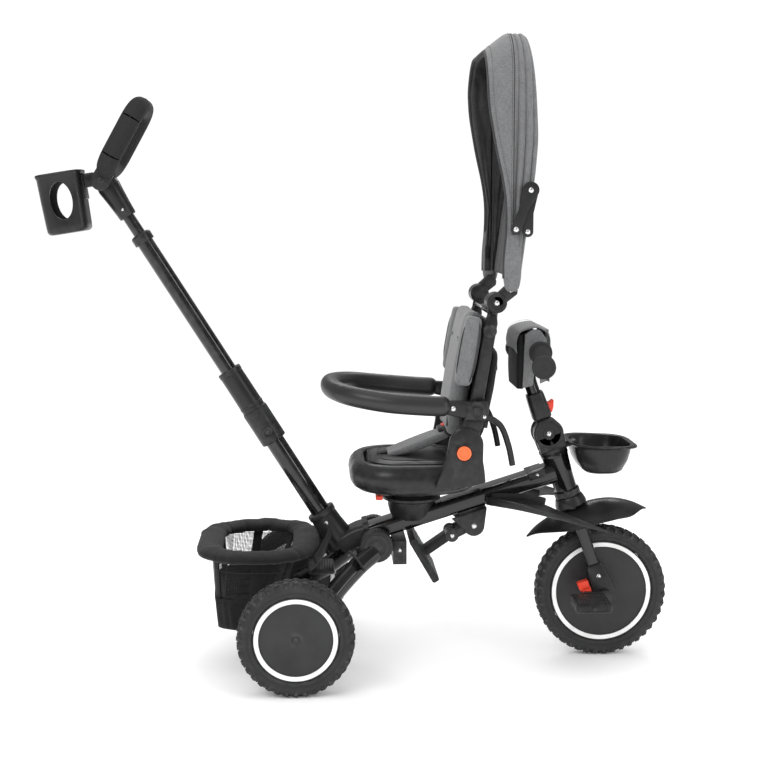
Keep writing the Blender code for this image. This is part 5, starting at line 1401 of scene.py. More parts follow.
# ---- push pole ----------------------------------------------------------------------------------
@dataclass
class PushPole:
    """Three telescoping tubes, their sleeve, the looped grip and the cup holder."""

    low_r: float = 0.018
    mid_r: float = 0.015
    top_r: float = 0.011
    sleeve: Pair = (0.158, 0.3135)
    ferrule: float = 0.5988
    top: float = 0.6616

    def build(self) -> None:
        """Makes the tubes, grip and cup holder."""
        self.build_tubes()
        self.build_elbow()
        self.build_grip()
        self.build_cup()

    def build_tubes(self) -> None:
        """The lower tube with its sleeve, the middle tube with its ferrule, and the top tube."""
        low, high = self.sleeve
        r, m, t = self.low_r, self.mid_r, self.top_r
        lower = Shape().lathe(POLE,
            [(m + 0.0004, -0.049), (r - 0.0005, -0.049), (r, -0.0485), (r, high - 0.008), (m + 0.0004, high - 0.008)],
                64)
        hang(lower.object("pole_lower_tube"), "frame", TUBE, ["pole_lower"])
        outline = [
            (r - 0.0008, low),
            (r + 0.005, low),
            (r + 0.0064, low + 0.0016),
            (r + 0.0064, low + 0.066),
            (r + 0.0054, low + 0.069),
            (r + 0.0044, low + 0.07),
            (r + 0.0044, low + 0.076),
            (r + 0.005, low + 0.077),
            (r + 0.005, low + 0.08),
            (r + 0.0042, low + 0.0812),
            (r + 0.0038, high - 0.01),
            (r + 0.0046, high - 0.0085),
            (r + 0.0046, high - 0.0015),
            (r + 0.0036, high),
            (m + 0.0004, high),
            (m + 0.0004, high - 0.006),
            (r - 0.0008, high - 0.006),
        ]
        hang(Shape().lathe(POLE, outline, 64).object("pole_sleeve", 25), "frame", SATIN)
        boss = POLE @ Matrix.Translation((0, 0, low + 0.022)) @ ALONG_Y
        collar = Shape().lathe(boss,
            [(0.0062, -r - 0.004), (0.01, -r - 0.004), (0.0096, -r - 0.0078), (0.0088, -r - 0.0086),
                (0.0062, -r - 0.008)], 40)
        hang(collar.object("pole_button_collar"), "frame", SATIN)
        button = Shape().lathe(boss,
            [(0, -r - 0.0045), (0.0056, -r - 0.0045), (0.0056, -r - 0.0076), (0.0048, -r - 0.0084),
                (0.0, -r - 0.008)], 32)
        hang(button.object("pole_press_button"), "pole_button", GREY_PLASTIC, ["pole_button"])
        f = self.ferrule
        middle = Shape().lathe(POLE, [(t + 0.0004, high - 0.058), (m, high - 0.058), (m, f), (t + 0.0004, f)], 64)
        hang(middle.object("pole_middle_tube"), "pole_mid", TUBE, ["pole_mid"])
        outline = [(m - 0.0004, f - 0.008), (m + 0.0036, f - 0.008), (m + 0.004, f - 0.007), (m + 0.004, f + 0.006),
            (m + 0.0024, f + 0.0085), (t + 0.003, f + 0.01), (t + 0.0004, f + 0.01), (t + 0.0004, f - 0.001)]
        hang(Shape().lathe(POLE, outline, 56).object("pole_ferrule", 25), "pole_mid", SATIN)
        top = Shape().lathe(POLE,
            [(t - 0.002, f - 0.198), (t, f - 0.198), (t, self.top - 0.012), (t - 0.002, self.top - 0.012)], 56)
        hang(top.object("pole_top_tube"), "pole_top", TUBE, ["pole_top"])

    def build_elbow(self) -> None:
        """The hinge boss between the top tube and the grip, tapering down to the tube."""
        elbow = Shape()
        end = self.top
        elbow.lathe(POLE, [(0.011, end - 0.016), (0.015, end - 0.016), (0.016, end - 0.0145), (0.0172, end + 0.004),
            (0.019, end + 0.026), (0.0212, end + 0.046), (0.02, end + 0.054), (0.012, end + 0.058),
                (0.0, end + 0.058), (0.0, end - 0.01), (0.011, end - 0.01)], 48)
        low, high = -0.0175, 0.0175
        elbow.lathe(GRIP @ ALONG_Y,
            [(0, low), (0.016, low), (0.0172, low + 0.0015), (0.0172, high - 0.0015), (0.016, high), (0, high)], 56)
        elbow.rod(GRIP @ Vector((0, -0.0298, 0)), GRIP @ Vector((0, 0.0298, 0)), 0.005, 28)
        hang(elbow.object("pole_elbow", 30), "pole_top", SATIN)
        screw = POLE @ Vector((0.0, -0.0168, end - 0.001))
        rivet_row("elbow_screws", "pole_top",
            [(screw, Vector((0, -1, 0))), (screw + Vector((0, 0.0324, 0)), Vector((0, 1, 0)))], 0.0026, 0.0009)

    def build_grip(self) -> None:
        """The foam loop with a split line, on two plastic cheeks."""
        half, low, high, r = 0.056, 0.026, 0.148, 0.0182
        corners = rounded_loop(half, (high - low) / 2, 0.03, 12)
        line = [GRIP @ Vector((0, u, (low + high) / 2 + v)) for u, v in corners]
        line = [p for i, p in enumerate(line) if (p - line[i - 1]).length > 1e-5]
        grip_axis = GRIP.to_3x3() @ Vector((1, 0, 0))
        foam = Shape().tube(smooth_path(line, 3, closed=True), circle(r, 32), closed=True, up=grip_axis)
        hang(foam.object("push_grip_foam", 60), "push_grip", FOAM, ["push_grip"])
        seam = [p + grip_axis * 0.0 + (p - GRIP @ Vector((0, 0,
            (low + high) / 2))).normalized() * (r + 0.0001) for p in smooth_path(line, 3, closed=True)]
        bead = Shape().tube(seam, circle(0.0008, 8), closed=True, up=grip_axis)
        hang(bead.object("push_grip_seam", 60), "push_grip", GRIP_RUBBER)
        cheeks = Shape()
        for side in Side:
            y0, y1 = span(side, 0.018, 0.029)
            outline = arc_points(0, 0, 0.018, 190, 350, 16) + [(0.0165, 0.016), (0.012, 0.034), (-0.012, 0.034),
                (-0.0165, 0.016)]
            cheeks.slab(GRIP, outline, y0, y1, Edge.ROUND, 3)
        hang(cheeks.object("push_grip_cheeks"), "push_grip", SATIN)
        heads = [(GRIP @ Vector((0, s * 0.0294, 0)), Vector((0, s, 0))) for s in (1, -1)]
        rivet_row("push_grip_rivets", "push_grip", heads, 0.0062, 0.0012, GREY_PLASTIC)

    def build_cup(self) -> None:
        """A square cup with a rolled lip and an oval window in each side."""
        half = 0.0385
        levels = [
            (half - 0.0075, 0.0005, 0.02),
            (half - 0.0035, 0.002, 0.022),
            (half - 0.001, 0.006, 0.023),
            (half - 0.0005, 0.014, 0.022),
            (half + 0.0005, 0.06, 0.021),
            (half + 0.001, 0.101, 0.021),
            (half + 0.0026, 0.104, 0.022),
            (half + 0.003, 0.1072, 0.022),
            (half + 0.0022, 0.1092, 0.022),
            (half - 0.0005, 0.1098, 0.021),
            (half - 0.0028, 0.109, 0.02),
            (half - 0.0036, 0.106, 0.0195),
            (half - 0.0042, 0.06, 0.019),
            (half - 0.005, 0.014, 0.018),
            (half - 0.009, 0.007, 0.016),
            (half - 0.016, 0.0046, 0.014),
        ]
        rows = [[CUP @ Vector((u, v, z)) for u, v in rounded_loop(h, h, c, 10, 2.3)] for h, z, c in levels]
        cup = Shape().rings(rows).object("cup_solid", 40)
        cuts = Shape()
        window = [(0.02 * cos(2 * pi * i / 40), 0.059 + 0.0335 * sin(2 * pi * i / 40)) for i in range(40)]
        cuts.rings([[CUP @ Vector((x, y, z)) for x, z in window] for y in (-0.07, 0.07)])
        cuts.rings([[CUP @ Vector((x, y, z)) for y, z in window] for x in (-0.07, 0.03)])
        cutter = cuts.object("cup_cutter")
        step = cup.modifiers.new("windows", "BOOLEAN")
        step.operation, step.solver, step.object = "DIFFERENCE", "EXACT", cutter
        cup = plain_mesh(cup, "cup_holder_shell")
        bpy.data.objects.remove(cutter)
        rim = cup.modifiers.new("rims", "BEVEL")
        rim.width, rim.segments, rim.limit_method, rim.angle_limit = 0.0009, 2, "ANGLE", radians(45)
        cup = plain_mesh(cup, "cup_holder_shell")
        cup.data.shade_smooth()
        cup.data.set_sharp_from_angle(angle=radians(40))
        hang(cup, "pole_top", SATIN, ["cup_holder"])
        arm = Shape().box(CUP, (half - 0.001, -0.013, 0.076), (0.062, 0.013, 0.101), Edge.ROUND, 3)
        arm.box(CUP, (half - 0.0012, -0.018, 0.056), (half + 0.0034, 0.018, 0.103), Edge.SOFT)
        hang(arm.object("cup_holder_arm"), "pole_top", SATIN)


# ---- front end ----------------------------------------------------------------------------------
@dataclass
class FrontEnd:
    """Fork, mudguard, clutch buttons, cranks, pedals and the tray in front of the stem."""

    fork_half: float = 0.037
    crank: float = 0.036

    def build(self) -> None:
        """Makes every piece of the front end."""
        self.build_fork()
        self.build_guard()
        self.build_clutches()
        self.build_cranks()
        self.build_tray()

    def build_fork(self) -> None:
        """Crown, skirt, flattened legs and moulded fork ends with their rivets."""
        fork, ends, heads = Shape(), Shape(), []
        fork.box(STEER, (-0.018, -0.046, 0.1345), (0.018, 0.046, 0.15), Edge.ROUND, 3)
        fork.lathe(STEER, [(0, 0.148), (0.016, 0.148), (0.016, 0.162), (0.0125, 0.1625), (0.0125, 0.288), (0, 0.288)],
            48)
        for side in Side:
            s = side.value
            line = [STEER @ Vector((0, s * self.fork_half, t)) for t in (0.146, 0.125, 0.09, 0.05, 0.03)]
            fork.tube(smooth_path(line, 4), rounded_loop(0.008, 0.0118, 0.007, 7), lambda k: 1.0 - 0.1 * k)
            y0, y1 = span(side, self.fork_half - 0.013, self.fork_half + 0.013)
            outline = arc_points(0.0, 0.0, 0.0225, 180, 360, 16) + [(0.0225, 0.022), (0.019, 0.04), (0.015, 0.058),
                (0.012, 0.062), (-0.012, 0.062), (-0.015, 0.058), (-0.0165, 0.04), (-0.0165, 0.007)]
            ends.slab(STEER, outline, y0, y1, Edge.ROUND, 3)
            outer = s * (self.fork_half + 0.0131)
            heads.append((STEER @ Vector((0.001, outer, 0.04)), Vector((0, s, 0))))
            heads.append((STEER @ Vector((0.001, s * (self.fork_half - 0.0131), 0.04)), Vector((0, -s, 0))))
        hang(fork.object("fork_tube", 40), "fork", TUBE, ["fork"])
        hang(ends.object("fork_end_pair"), "fork", SATIN, ["fork_end_left", "fork_end_right"])
        rivet_row("fork_end_rivets", "fork", heads, 0.0042, 0.0014)
        skirt = [(0.0128, 0.1735), (0.029, 0.1735), (0.03, 0.175), (0.0296, 0.18), (0.0262, 0.19), (0.025, 0.1918),
            (0.0128, 0.1918)]
        hang(Shape().lathe(STEER, skirt, 64).object("head_skirt", 25), "fork", SATIN)

    def build_guard(self) -> None:
        """A leaf-shaped saddle over the tyre, pointed at both ends, with a rolled rim."""
        crest = [(-0.14, 0.229), (-0.115, 0.252), (-0.085, 0.271), (-0.052, 0.2845), (-0.015, 0.2965), (0.02, 0.3),
            (0.055, 0.294), (0.085, 0.281)]
        halves = [0.0015, 0.029, 0.046, 0.0535, 0.0545, 0.051, 0.039, 0.0015]
        spine = smooth_path([Vector((x, 0, z)) for x, z in crest], 6)
        widths = [p.y for p in smooth_path([Vector((x, h, 0)) for (x, _), h in zip(crest, halves)], 6)]
        rows = []
        for point, half in zip(spine, widths):
            half = max(half, 0.0012)
            row = []
            for k in range(-10, 11):
                y = half * k / 10
                row.append(spot(point.x, y, point.z - 10.5 * y * y - 0.0016 * (abs(k) / 10) ** 6))
            rows.append(row)
        guard = Shape().rings(rows, wrap=False, caps=False)
        made = guard.object("mudguard_leaf", 60)
        wall = made.modifiers.new("wall", "SOLIDIFY")
        wall.thickness, wall.offset = 0.0028, 0.0
        rim = made.modifiers.new("rim", "BEVEL")
        rim.width, rim.segments, rim.limit_method, rim.angle_limit = 0.001, 2, "ANGLE", radians(50)
        made = plain_mesh(made, "mudguard_leaf")
        made.data.shade_smooth()
        made.data.set_sharp_from_angle(angle=radians(60))
        hang(made, "fork", SATIN, ["mudguard"])

    def build_clutches(self) -> None:
        """A two-step red slide in the rear of each fork end."""
        for side in Side:
            y0, y1 = span(side, self.fork_half - 0.0086, self.fork_half + 0.0086)
            slide = Shape().box(STEER, (-0.036, y0, 0.009), (-0.0195, y1, 0.025), Edge.SOFT, 3)
            slide.box(STEER, (-0.04, y0, 0.0215), (-0.02, y1, 0.0372), Edge.SOFT, 3)
            for i in range(3):
                slide.box(STEER, (-0.0406, y0 + 0.002, 0.024 + 0.0042 * i),
                    (-0.0385, y1 - 0.002, 0.0258 + 0.0042 * i), Edge.CRISP, 1)
            node_name = "clutch_button_" + side.word
            hang(slide.object("clutch_slide_" + side.word), node_name, RED, [node_name])

    def build_cranks(self) -> None:
        """The crank axle and arms, and the two ribbed pedals."""
        hang(Shape().node_copy("cranks", 0.0009).object("crank_set"), "cranks", DARK_STEEL, ["cranks"])
        for side in Side:
            self.build_pedal(side)

    def build_pedal(self, side: Side) -> None:
        """One pedal: a rounded block with tread ribs top and bottom and a thin raised frame on its outer end."""
        s, word = side.value, side.word
        low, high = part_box("pedal_" + word)
        at = Matrix()
        body = Shape().box(at, (low.x, low.y, low.z), (high.x, high.y, high.z), Edge.FULL, 4)
        ribs = Shape()
        for i in range(10):
            x = low.x + 0.0065 + i * (high.x - low.x - 0.016) / 9
            for z in (high.z - 0.0006, low.z - 0.0008):
                ribs.box(at, (x, low.y + 0.006, z), (x + 0.003, high.y - 0.006, z + 0.0014), Edge.CRISP, 1)
        middle = (low + high) / 2
        outer = high.y if s > 0 else low.y
        frame_line = rounded_loop((high.x - low.x) / 2 - 0.0095, (high.z - low.z) / 2 - 0.0036, 0.004, 8)
        path = [Vector((middle.x + u, outer, middle.z + v)) for u, v in frame_line]
        path = [p for i, p in enumerate(path) if (p - path[i - 1]).length > 1e-6]
        body.tube(path, rounded_loop(0.0009, 0.0007, 0.0004, 3), closed=True)
        hang(body.object("pedal_block_" + word), "pedal_" + word, PLASTIC, ["pedal_" + word])
        hang(ribs.object("pedal_tread_" + word), "pedal_" + word, RUBBER)

    def build_tray(self) -> None:
        """An oval tray with a wide lip that reaches forward, carried on two arms."""
        middle = -0.006
        levels = [
            (0.024, 0.048, 0.357, 0.0),
            (0.03, 0.054, 0.3578, 0.0),
            (0.037, 0.061, 0.3625, 0.0),
            (0.047, 0.0685, 0.38, 0.02),
            (0.0515, 0.0725, 0.396, 0.02),
            (0.0525, 0.0735, 0.4055, 0.0),
            (0.058, 0.078, 0.4085, -0.02),
            (0.064, 0.0808, 0.4095, -0.06),
            (0.0648, 0.0812, 0.411, -0.06),
            (0.0632, 0.08, 0.4128, -0.05),
            (0.0575, 0.077, 0.413, -0.02),
            (0.0515, 0.0728, 0.4105, 0.0),
            (0.049, 0.07, 0.398, 0.02),
            (0.04, 0.063, 0.372, 0.02),
            (0.033, 0.057, 0.363, 0.0),
            (0.024, 0.048, 0.3606, 0.0),
        ]
        rows = []
        for half_x, half_y, z, rise in levels:
            loop = rounded_loop(half_x, half_y, min(half_x, half_y) * 0.78, 12)
            rows.append([spot(middle + u, v, z + rise * u) for u, v in loop])
        hang(Shape().rings(rows).object("front_tray", 45), "fork", SATIN, ["front_bin"])


@dataclass
class Stem:
    """The folding stem with its red lever, handlebar, grips and cloth pouch."""

    hinge: float = 0.3206
    hinge_r: float = 0.028
    bar_at: Pair = (0.034, 0.4915)
    bar_half: float = 0.175

    def build(self) -> None:
        """Makes the stem's pieces."""
        self.build_hinge()
        self.build_riser()
        self.build_bar()
        self.build_pouch()

    def build_hinge(self) -> None:
        """The fixed cheeks of the fold with their collar and white-headed pin."""
        base = Shape()
        low = 0.2824
        base.lathe(STEER, [(0.013, low), (0.0262, low), (0.0272, low + 0.001), (0.0272, low + 0.006),
            (0.0262, low + 0.0072), (0.0236, low + 0.01), (0.0225, low + 0.02), (0.0, low + 0.02), (0.0, low + 0.008),
                (0.013, low + 0.008)], 64)
        hub = STEER @ Matrix.Translation((0, 0, self.hinge)) @ ALONG_Y
        r = self.hinge_r
        for side in Side:
            s = side.value
            outline = [(0, 0.013), (r - 0.0012, 0.013), (r, 0.0142), (r, 0.0218), (r - 0.0022, 0.0236),
                (r - 0.006, 0.0238), (r - 0.0066, 0.023), (0.0112, 0.023), (0.0106, 0.0238), (0, 0.0238)]
            base.lathe(hub, [(q, s * h) for q, h in outline], 72)
            y0, y1 = span(side, 0.013, 0.023)
            base.slab(STEER, [(-0.025, low + 0.006), (0.025, low + 0.006), (0.0265, self.hinge - 0.004),
                (-0.0265, self.hinge - 0.004)], y0, y1, Edge.SOFT)
        base.box(STEER, (0.01, -0.012, low + 0.001), (0.046, 0.012, low + 0.009), Edge.SOFT)
        hang(base.object("stem_hinge", 30), "fork", SATIN, ["stem_base"])
        heads = [(STEER @ Vector((0, s * 0.0238, self.hinge)), Vector((0, s, 0))) for s in (1, -1)]
        rivet_row("stem_hinge_rivets", "fork", heads, 0.0052, 0.0018)

    def build_riser(self) -> None:
        """The housing over the hinge, the bent riser tube and the bar clamp."""
        stem, tube = Shape(), Shape()
        stem.lathe(STEER @ Matrix.Translation((0, 0, self.hinge)) @ ALONG_Y,
            [(0.0, -0.0123), (0.0255, -0.0123), (0.0262, -0.0115), (0.0262, 0.0115), (0.0255, 0.0123), (0.0, 0.0123)],
                56)
        rows = []
        for t, half_u, half_v in ((0.344, 0.011, 0.0118), (0.35, 0.0172, 0.0178), (0.354, 0.018, 0.019),
            (0.39, 0.0168, 0.0176), (0.3985, 0.016, 0.0168), (0.4, 0.0145, 0.0152)):
            rows.append([STEER @ Vector((u, v, t)) for u,
                v in rounded_loop(half_u, half_v, min(half_u, half_v) * 0.6, 8)])
        stem.rings(rows)
        hang(stem.object("stem_housing", 40), "stem", SATIN, ["stem"])
        route = [STEER @ Vector(p) for p in ((0, 0, 0.385), (0, 0, 0.425), (0.006, 0, 0.455), (0.02, 0, 0.476),
            (0.033, 0, 0.49))]
        tube.tube(smooth_path(route, 8), circle(0.0125, 36))
        hang(tube.object("stem_riser", 40), "stem", TUBE)
        lever = Shape()
        outline = [(0.0168, 0.356), (0.0205, 0.3552), (0.0262, 0.364), (0.0305, 0.376), (0.0285, 0.3772),
            (0.0215, 0.3748), (0.0168, 0.375)]
        lever.slab(STEER, outline, -0.008, 0.008, Edge.SOFT)
        hang(lever.object("stem_release_lever"), "stem_lever", RED, ["stem_lever"])
        u, t = self.bar_at
        clamp = Shape().lathe(STEER @ Matrix.Translation((u, 0, t)) @ ALONG_Y,
            [(0.0, -0.024), (0.0172, -0.024), (0.0185, -0.0225), (0.0185, -0.004), (0.0176, -0.003), (0.0176, 0.003),
                (0.0185, 0.004), (0.0185, 0.0225), (0.0172, 0.024), (0.0, 0.024)], 48)
        hang(clamp.object("bar_clamp", 30), "stem", PLASTIC)

    def bar_point(self, y: float) -> Vector:
        """A point of the bar's middle line at a distance from the centre plane."""
        share = max(0.0, (abs(y) - 0.03) / (self.bar_half - 0.03))
        u, t = self.bar_at
        return STEER @ Vector((u - 0.022 * share, y, t - 0.026 * share))

    def build_bar(self) -> None:
        """The swept bar and the two flanged, ribbed grips."""
        ys = [-0.171, -0.1, -0.03, 0.0, 0.03, 0.1, 0.171]
        bar = Shape().tube(smooth_path([self.bar_point(y) for y in ys], 4), circle(0.011, 28), up=Vector((0, 0, 1)))
        hang(bar.object("handlebar", 60), "stem", TUBE)
        for side in Side:
            start, end = self.bar_point(side.value * 0.087), self.bar_point(side.value * self.bar_half)
            run = end - start
            at = Matrix.Translation(start) @ Vector((0, 0, 1)).rotation_difference(run).to_matrix().to_4x4()
            long = run.length
            outline = [(0.0122, 0.0), (0.02, 0.0), (0.021, 0.0012), (0.021, 0.0064), (0.02, 0.0078), (0.0168, 0.0086)]
            for i in range(12):
                h = 0.012 + i * 0.005
                outline += [(0.016, h), (0.0172, h + 0.001), (0.0172, h + 0.003), (0.016, h + 0.004)]
            outline += [(0.018, long - 0.013), (0.0206, long - 0.011), (0.021, long - 0.01), (0.021, long - 0.002),
                (0.02, long - 0.0004)]
            outline += [(0.016, long), (0.0155, long - 0.0007), (0.005, long - 0.0007), (0.0044, long - 0.0014),
                (0.0, long - 0.0014), (0.0, 0.0)]
            hang(Shape().lathe(at, outline[:-1] + [(0.0, 0.001)], 48).object("bar_grip_" + side.word, 30), "stem",
                GRIP_RUBBER, ["grip_" + side.word])

    def build_pouch(self) -> None:
        """Two cloth panels over the clamp: a dark net pocket behind, grey sides and a grey flap."""
        rear, front, top, low = -0.1735, -0.113, 0.633, 0.518
        for name, x, half_x, z0, z1, finish in (("pouch_net", rear + 0.009, 0.008, low, 0.616, BLACK_CLOTH),
            ("pouch_front", front - 0.003, 0.0042, low + 0.014, 0.626, GREY_CLOTH)):
            rows = []
            for i in range(15):
                share = i / 14
                belly = 0.55 + 0.45 * sin(pi * min(1.0, share * 1.05 + 0.08)) ** 0.6
                z = z0 + (z1 - z0) * share
                rows.append([spot(x + u * belly, v * (0.9 + 0.1 * belly), z) for u,
                    v in rounded_loop(half_x, 0.061, half_x * 0.96, 7)])
            piece = Shape().rings(rows).object(name, 80)
            hang(piece, "stem", finish, ["pouch"] if name == "pouch_net" else ())
        line = smooth_path([Vector((rear + 0.0005, 0, 0.588)), Vector((rear - 0.001, 0, 0.606)),
            Vector((rear + 0.006, 0, 0.625)), Vector((rear + 0.028, 0, top)), Vector((front - 0.016, 0, top - 0.001)),
                Vector((front - 0.001, 0, 0.618)), Vector((front + 0.0002, 0, 0.58)),
                    Vector((front - 0.0004, 0, 0.535))], 6)
        rows = []
        for y_share in [k / 12 for k in range(-12, 13)]:
            sag = 0.0035 * y_share**4
            rows.append([spot(p.x, 0.064 * y_share,
                p.z - sag + 0.001 * noise.noise(Vector((p.x * 60, y_share * 3, p.z * 60)))) for p in line])
        flap = Shape().rings(rows, wrap=False, caps=False).object("pouch_flap", 80)
        wall = flap.modifiers.new("wall", "SOLIDIFY")
        wall.thickness, wall.offset = 0.0018, 0.0
        flap = plain_mesh(flap, "pouch_flap")
        hang(flap, "stem", GREY_CLOTH)
        sides = Shape()
        for side in Side:
            y0, y1 = span(side, 0.057, 0.0635)
            outline = [(rear + 0.012, 0.52), (rear + 0.016, 0.618), (rear + 0.03, top - 0.006),
                (front - 0.018, top - 0.007), (front - 0.006, 0.61), (front - 0.005, 0.533), (front - 0.016, 0.528),
                    (front - 0.02, 0.59), (rear + 0.04, 0.59), (rear + 0.03, 0.524)]
            sides.slab(GROUND, [(x, z) for x, z in outline], y0, y1, Edge.ROUND, 3)
        made = sides.object("pouch_sides", 60)
        hang(made, "stem", GREY_CLOTH)
        lines = [[spot(p.x, s * 0.0612, p.z + 0.0008) for p in line[6:]] for s in (1, -1)]
        stitch_line("pouch_stitches", "stem", lines, THREAD)


# ---- seat ---------------------------------------------------------------------------------------
def cut_area(piece: bpy.types.Object) -> float:
    """The area of an open surface's faces."""
    return sum(face.area for face in piece.data.polygons)


def thicken(piece: bpy.types.Object, wall: float, offset: float = 0.0) -> bpy.types.Object:
    """Gives an open surface a wall and returns it as a plain mesh."""
    name = piece.name
    skin = piece.modifiers.new("wall", "SOLIDIFY")
    skin.thickness, skin.offset = wall, offset
    made = plain_mesh(piece, name)
    made.data.shade_smooth()
    return made


def ribbon(name: str, body: str, points: Sequence[Vector], width: float, finish: Finish, up: Vector,
    thick: float = 0.0016) -> bpy.types.Object:
    """A flat strap along a line.

    Args:
        name: the piece's name.
        body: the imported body.
        points: the knots of its middle line.
        width: the strap's width.
        finish: its finish.
        up: the way its width lies.
        thick: its thickness.

    Returns:
        The piece.
    """
    section = rounded_loop(width / 2, thick / 2, thick * 0.45, 4)
    return hang(Shape().tube(smooth_path(points, 8), section, up=up).object(name, 60), body, finish)


@dataclass
class Seat:
    """The bucket seat on its swivel, with cushion, strap pad, brackets and release lever."""

    middle: float = -0.3585
    half_x: float = 0.1185
    half_y: float = 0.1345

    def loop(self, inset: float, corner: float, z: float) -> list[Vector]:
        """A level outline of the seat."""
        return [spot(self.middle + u, v, z) for u,
            v in rounded_loop(self.half_x - inset, self.half_y - inset, corner, 12)]

    def build(self) -> None:
        """Makes the seat's pieces."""
        drum = [(0.013, 0.3052), (0.053, 0.3052), (0.0545, 0.306), (0.0545, 0.31), (0.05, 0.312), (0.045, 0.316),
            (0.044, 0.321), (0.048, 0.326), (0.0545, 0.3284), (0.013, 0.3284)]
        hang(Shape().lathe(place(-0.36, 0), drum, 72).object("seat_drum", 30), "seat", SATIN, ["swivel_top"])
        levels = [
            (0.048, 0.044, 0.3292),
            (0.034, 0.054, 0.3304),
            (0.018, 0.068, 0.335),
            (0.0075, 0.078, 0.342),
            (0.0018, 0.084, 0.351),
            (0.0, 0.086, 0.36),
            (0.001, 0.085, 0.369),
            (0.0045, 0.082, 0.377),
            (0.01, 0.077, 0.3835),
            (0.0165, 0.071, 0.3872),
            (0.0225, 0.066, 0.388),
            (0.027, 0.062, 0.3868),
            (0.0292, 0.06, 0.3835),
            (0.03, 0.059, 0.378),
            (0.031, 0.058, 0.362),
            (0.04, 0.052, 0.356),
        ]
        shell = Shape().rings([self.loop(*level) for level in levels])
        hang(shell.object("seat_shell_tub", 45), "seat", SATIN, ["seat_shell"])
        self.build_pad()
        for side in Side:
            self.build_bracket(side)
        lever = Shape().box(GROUND, (-0.4288, -0.0515, 0.3114), (-0.4157, -0.0265, 0.3203), Edge.ROUND, 3)
        hang(lever.object("seat_turn_lever"), "seat_lever", RED, ["seat_lever"])

    def build_pad(self) -> None:
        """The recessed dark pad with its piping, and the grey strap pad over it."""
        levels = [
            (0.034, 0.054, 0.356),
            (0.0322, 0.056, 0.364),
            (0.0318, 0.056, 0.376),
            (0.0336, 0.055, 0.3826),
            (0.04, 0.05, 0.3868),
            (0.052, 0.042, 0.3892),
            (0.074, 0.026, 0.3902),
        ]
        pad = swell(Shape().rings([self.loop(*level) for level in levels]).object("seat_pad", 60), 3.0, 0.0016)
        hang(pad, "seat", HIDE, ["seat_cushion"])
        piping = Shape()
        for inset, corner, z, radius in ((0.0372, 0.052, 0.3864, 0.0016), (0.056, 0.038, 0.3908, 0.0014)):
            line = [p for i, p in enumerate(self.loop(inset, corner, z)) if i % 12]
            piping.tube(line, circle(radius, 12), closed=True, up=Vector((0, 0, 1)))
        hang(piping.object("seat_piping", 60), "seat", HIDE)
        line = smooth_path([Vector((-0.405, 0, 0.3925)), Vector((-0.375, 0, 0.401)), Vector((-0.34, 0, 0.413)),
            Vector((-0.31, 0, 0.425)), Vector((-0.285, 0, 0.433))], 6)
        rows = []
        for i, p in enumerate(line):
            share = i / (len(line) - 1)
            half, thick = 0.026 + 0.014 * sin(pi * min(1, share * 0.9 + 0.1)), 0.0034 + 0.0046 * sin(pi * share)
            rows.append([spot(p.x - 0.35 * b * share, a, p.z + b) for a,
                b in rounded_loop(half, thick, thick * 0.95, 7)])
        wedge = Shape().rings(rows).object("crotch_pad", 60)
        hang(wedge, "seat", GREY_CLOTH)
        ribbon("crotch_strap", "seat", [spot(-0.425, 0, 0.3912), spot(-0.408, 0, 0.3935), spot(-0.392, 0, 0.3975)],
            0.022, WEBBING, Vector((0, 1, 0)))
        for side in Side:
            s = side.value
            knots = [spot(-0.262, s * 0.085, 0.425), spot(-0.275, s * 0.074, 0.43), spot(-0.288, s * 0.055, 0.437),
                spot(-0.294, s * 0.036, 0.441), spot(-0.296, s * 0.018, 0.443)]
            ribbon("lap_strap_" + side.word, "seat", knots, 0.02, WEBBING, Vector((0.5, s * 0.8, 0)))
        buckle = Shape().box(place(-0.296, 0.44, radians(-22)), (-0.016, -0.019, -0.0035), (0.016, 0.019, 0.0055),
            Edge.ROUND, 3)
        hang(buckle.object("harness_buckle"), "seat", PLASTIC)
        press = Shape().box(place(-0.296, 0.44, radians(-22)), (-0.007, -0.009, 0.0045), (0.008, 0.009, 0.0078),
            Edge.SOFT)
        hang(press.object("harness_buckle_press"), "seat", RED)

    def build_bracket(self, side: Side) -> None:
        """A tall side bracket with rings about its round button."""
        s, word = side.value, side.word
        y0, y1 = span(side, 0.135, 0.1512)
        # rises from a broad foot to a round eye
        foot = [(-0.328, 0.353), (-0.3, 0.352), (-0.262, 0.356), (-0.238, 0.363)]
        outline = foot + [(-0.24, 0.384), (-0.243, 0.402)] + arc_points(-0.273, 0.43, 0.0306, 0, 180,
            24) + [(-0.3075, 0.408), (-0.316, 0.384)]
        bracket = Shape().slab(GROUND, outline, y0, y1, Edge.ROUND, 3)
        hole = Shape().rod(spot(-0.277, -0.3, 0.416), spot(-0.277, 0.3, 0.416), 0.0134, 48).object("bracket_cutter")
        made = bracket.object("seat_bracket_solid", 40)
        step = made.modifiers.new("hole", "BOOLEAN")
        step.operation, step.solver, step.object = "DIFFERENCE", "EXACT", hole
        made = plain_mesh(made, "recline_bracket_" + word)
        bpy.data.objects.remove(hole)
        made.data.shade_smooth()
        made.data.set_sharp_from_angle(angle=radians(35))
        hang(made, "seat", SATIN, ["seat_bracket_" + word])
        centre = place(-0.277, 0.416) @ ALONG_Y
        ring = Shape().lathe(centre,
            [(r, s * h) for r, h in ((0.0136, 0.15), (0.0136, 0.1524), (0.015, 0.153), (0.0178, 0.1524),
                (0.0186, 0.1508), (0.0186, 0.1495))], 56)
        hang(ring.object("recline_ring_" + word, 30), "seat", PLASTIC)
        name = "recline_button_" + word
        button = [(0.0, 0.1432), (0.0128, 0.1432), (0.0128, 0.1535), (0.0122, 0.1549), (0.01, 0.1555),
            (0.0092, 0.1552), (0.0084, 0.154), (0.0, 0.1544)]
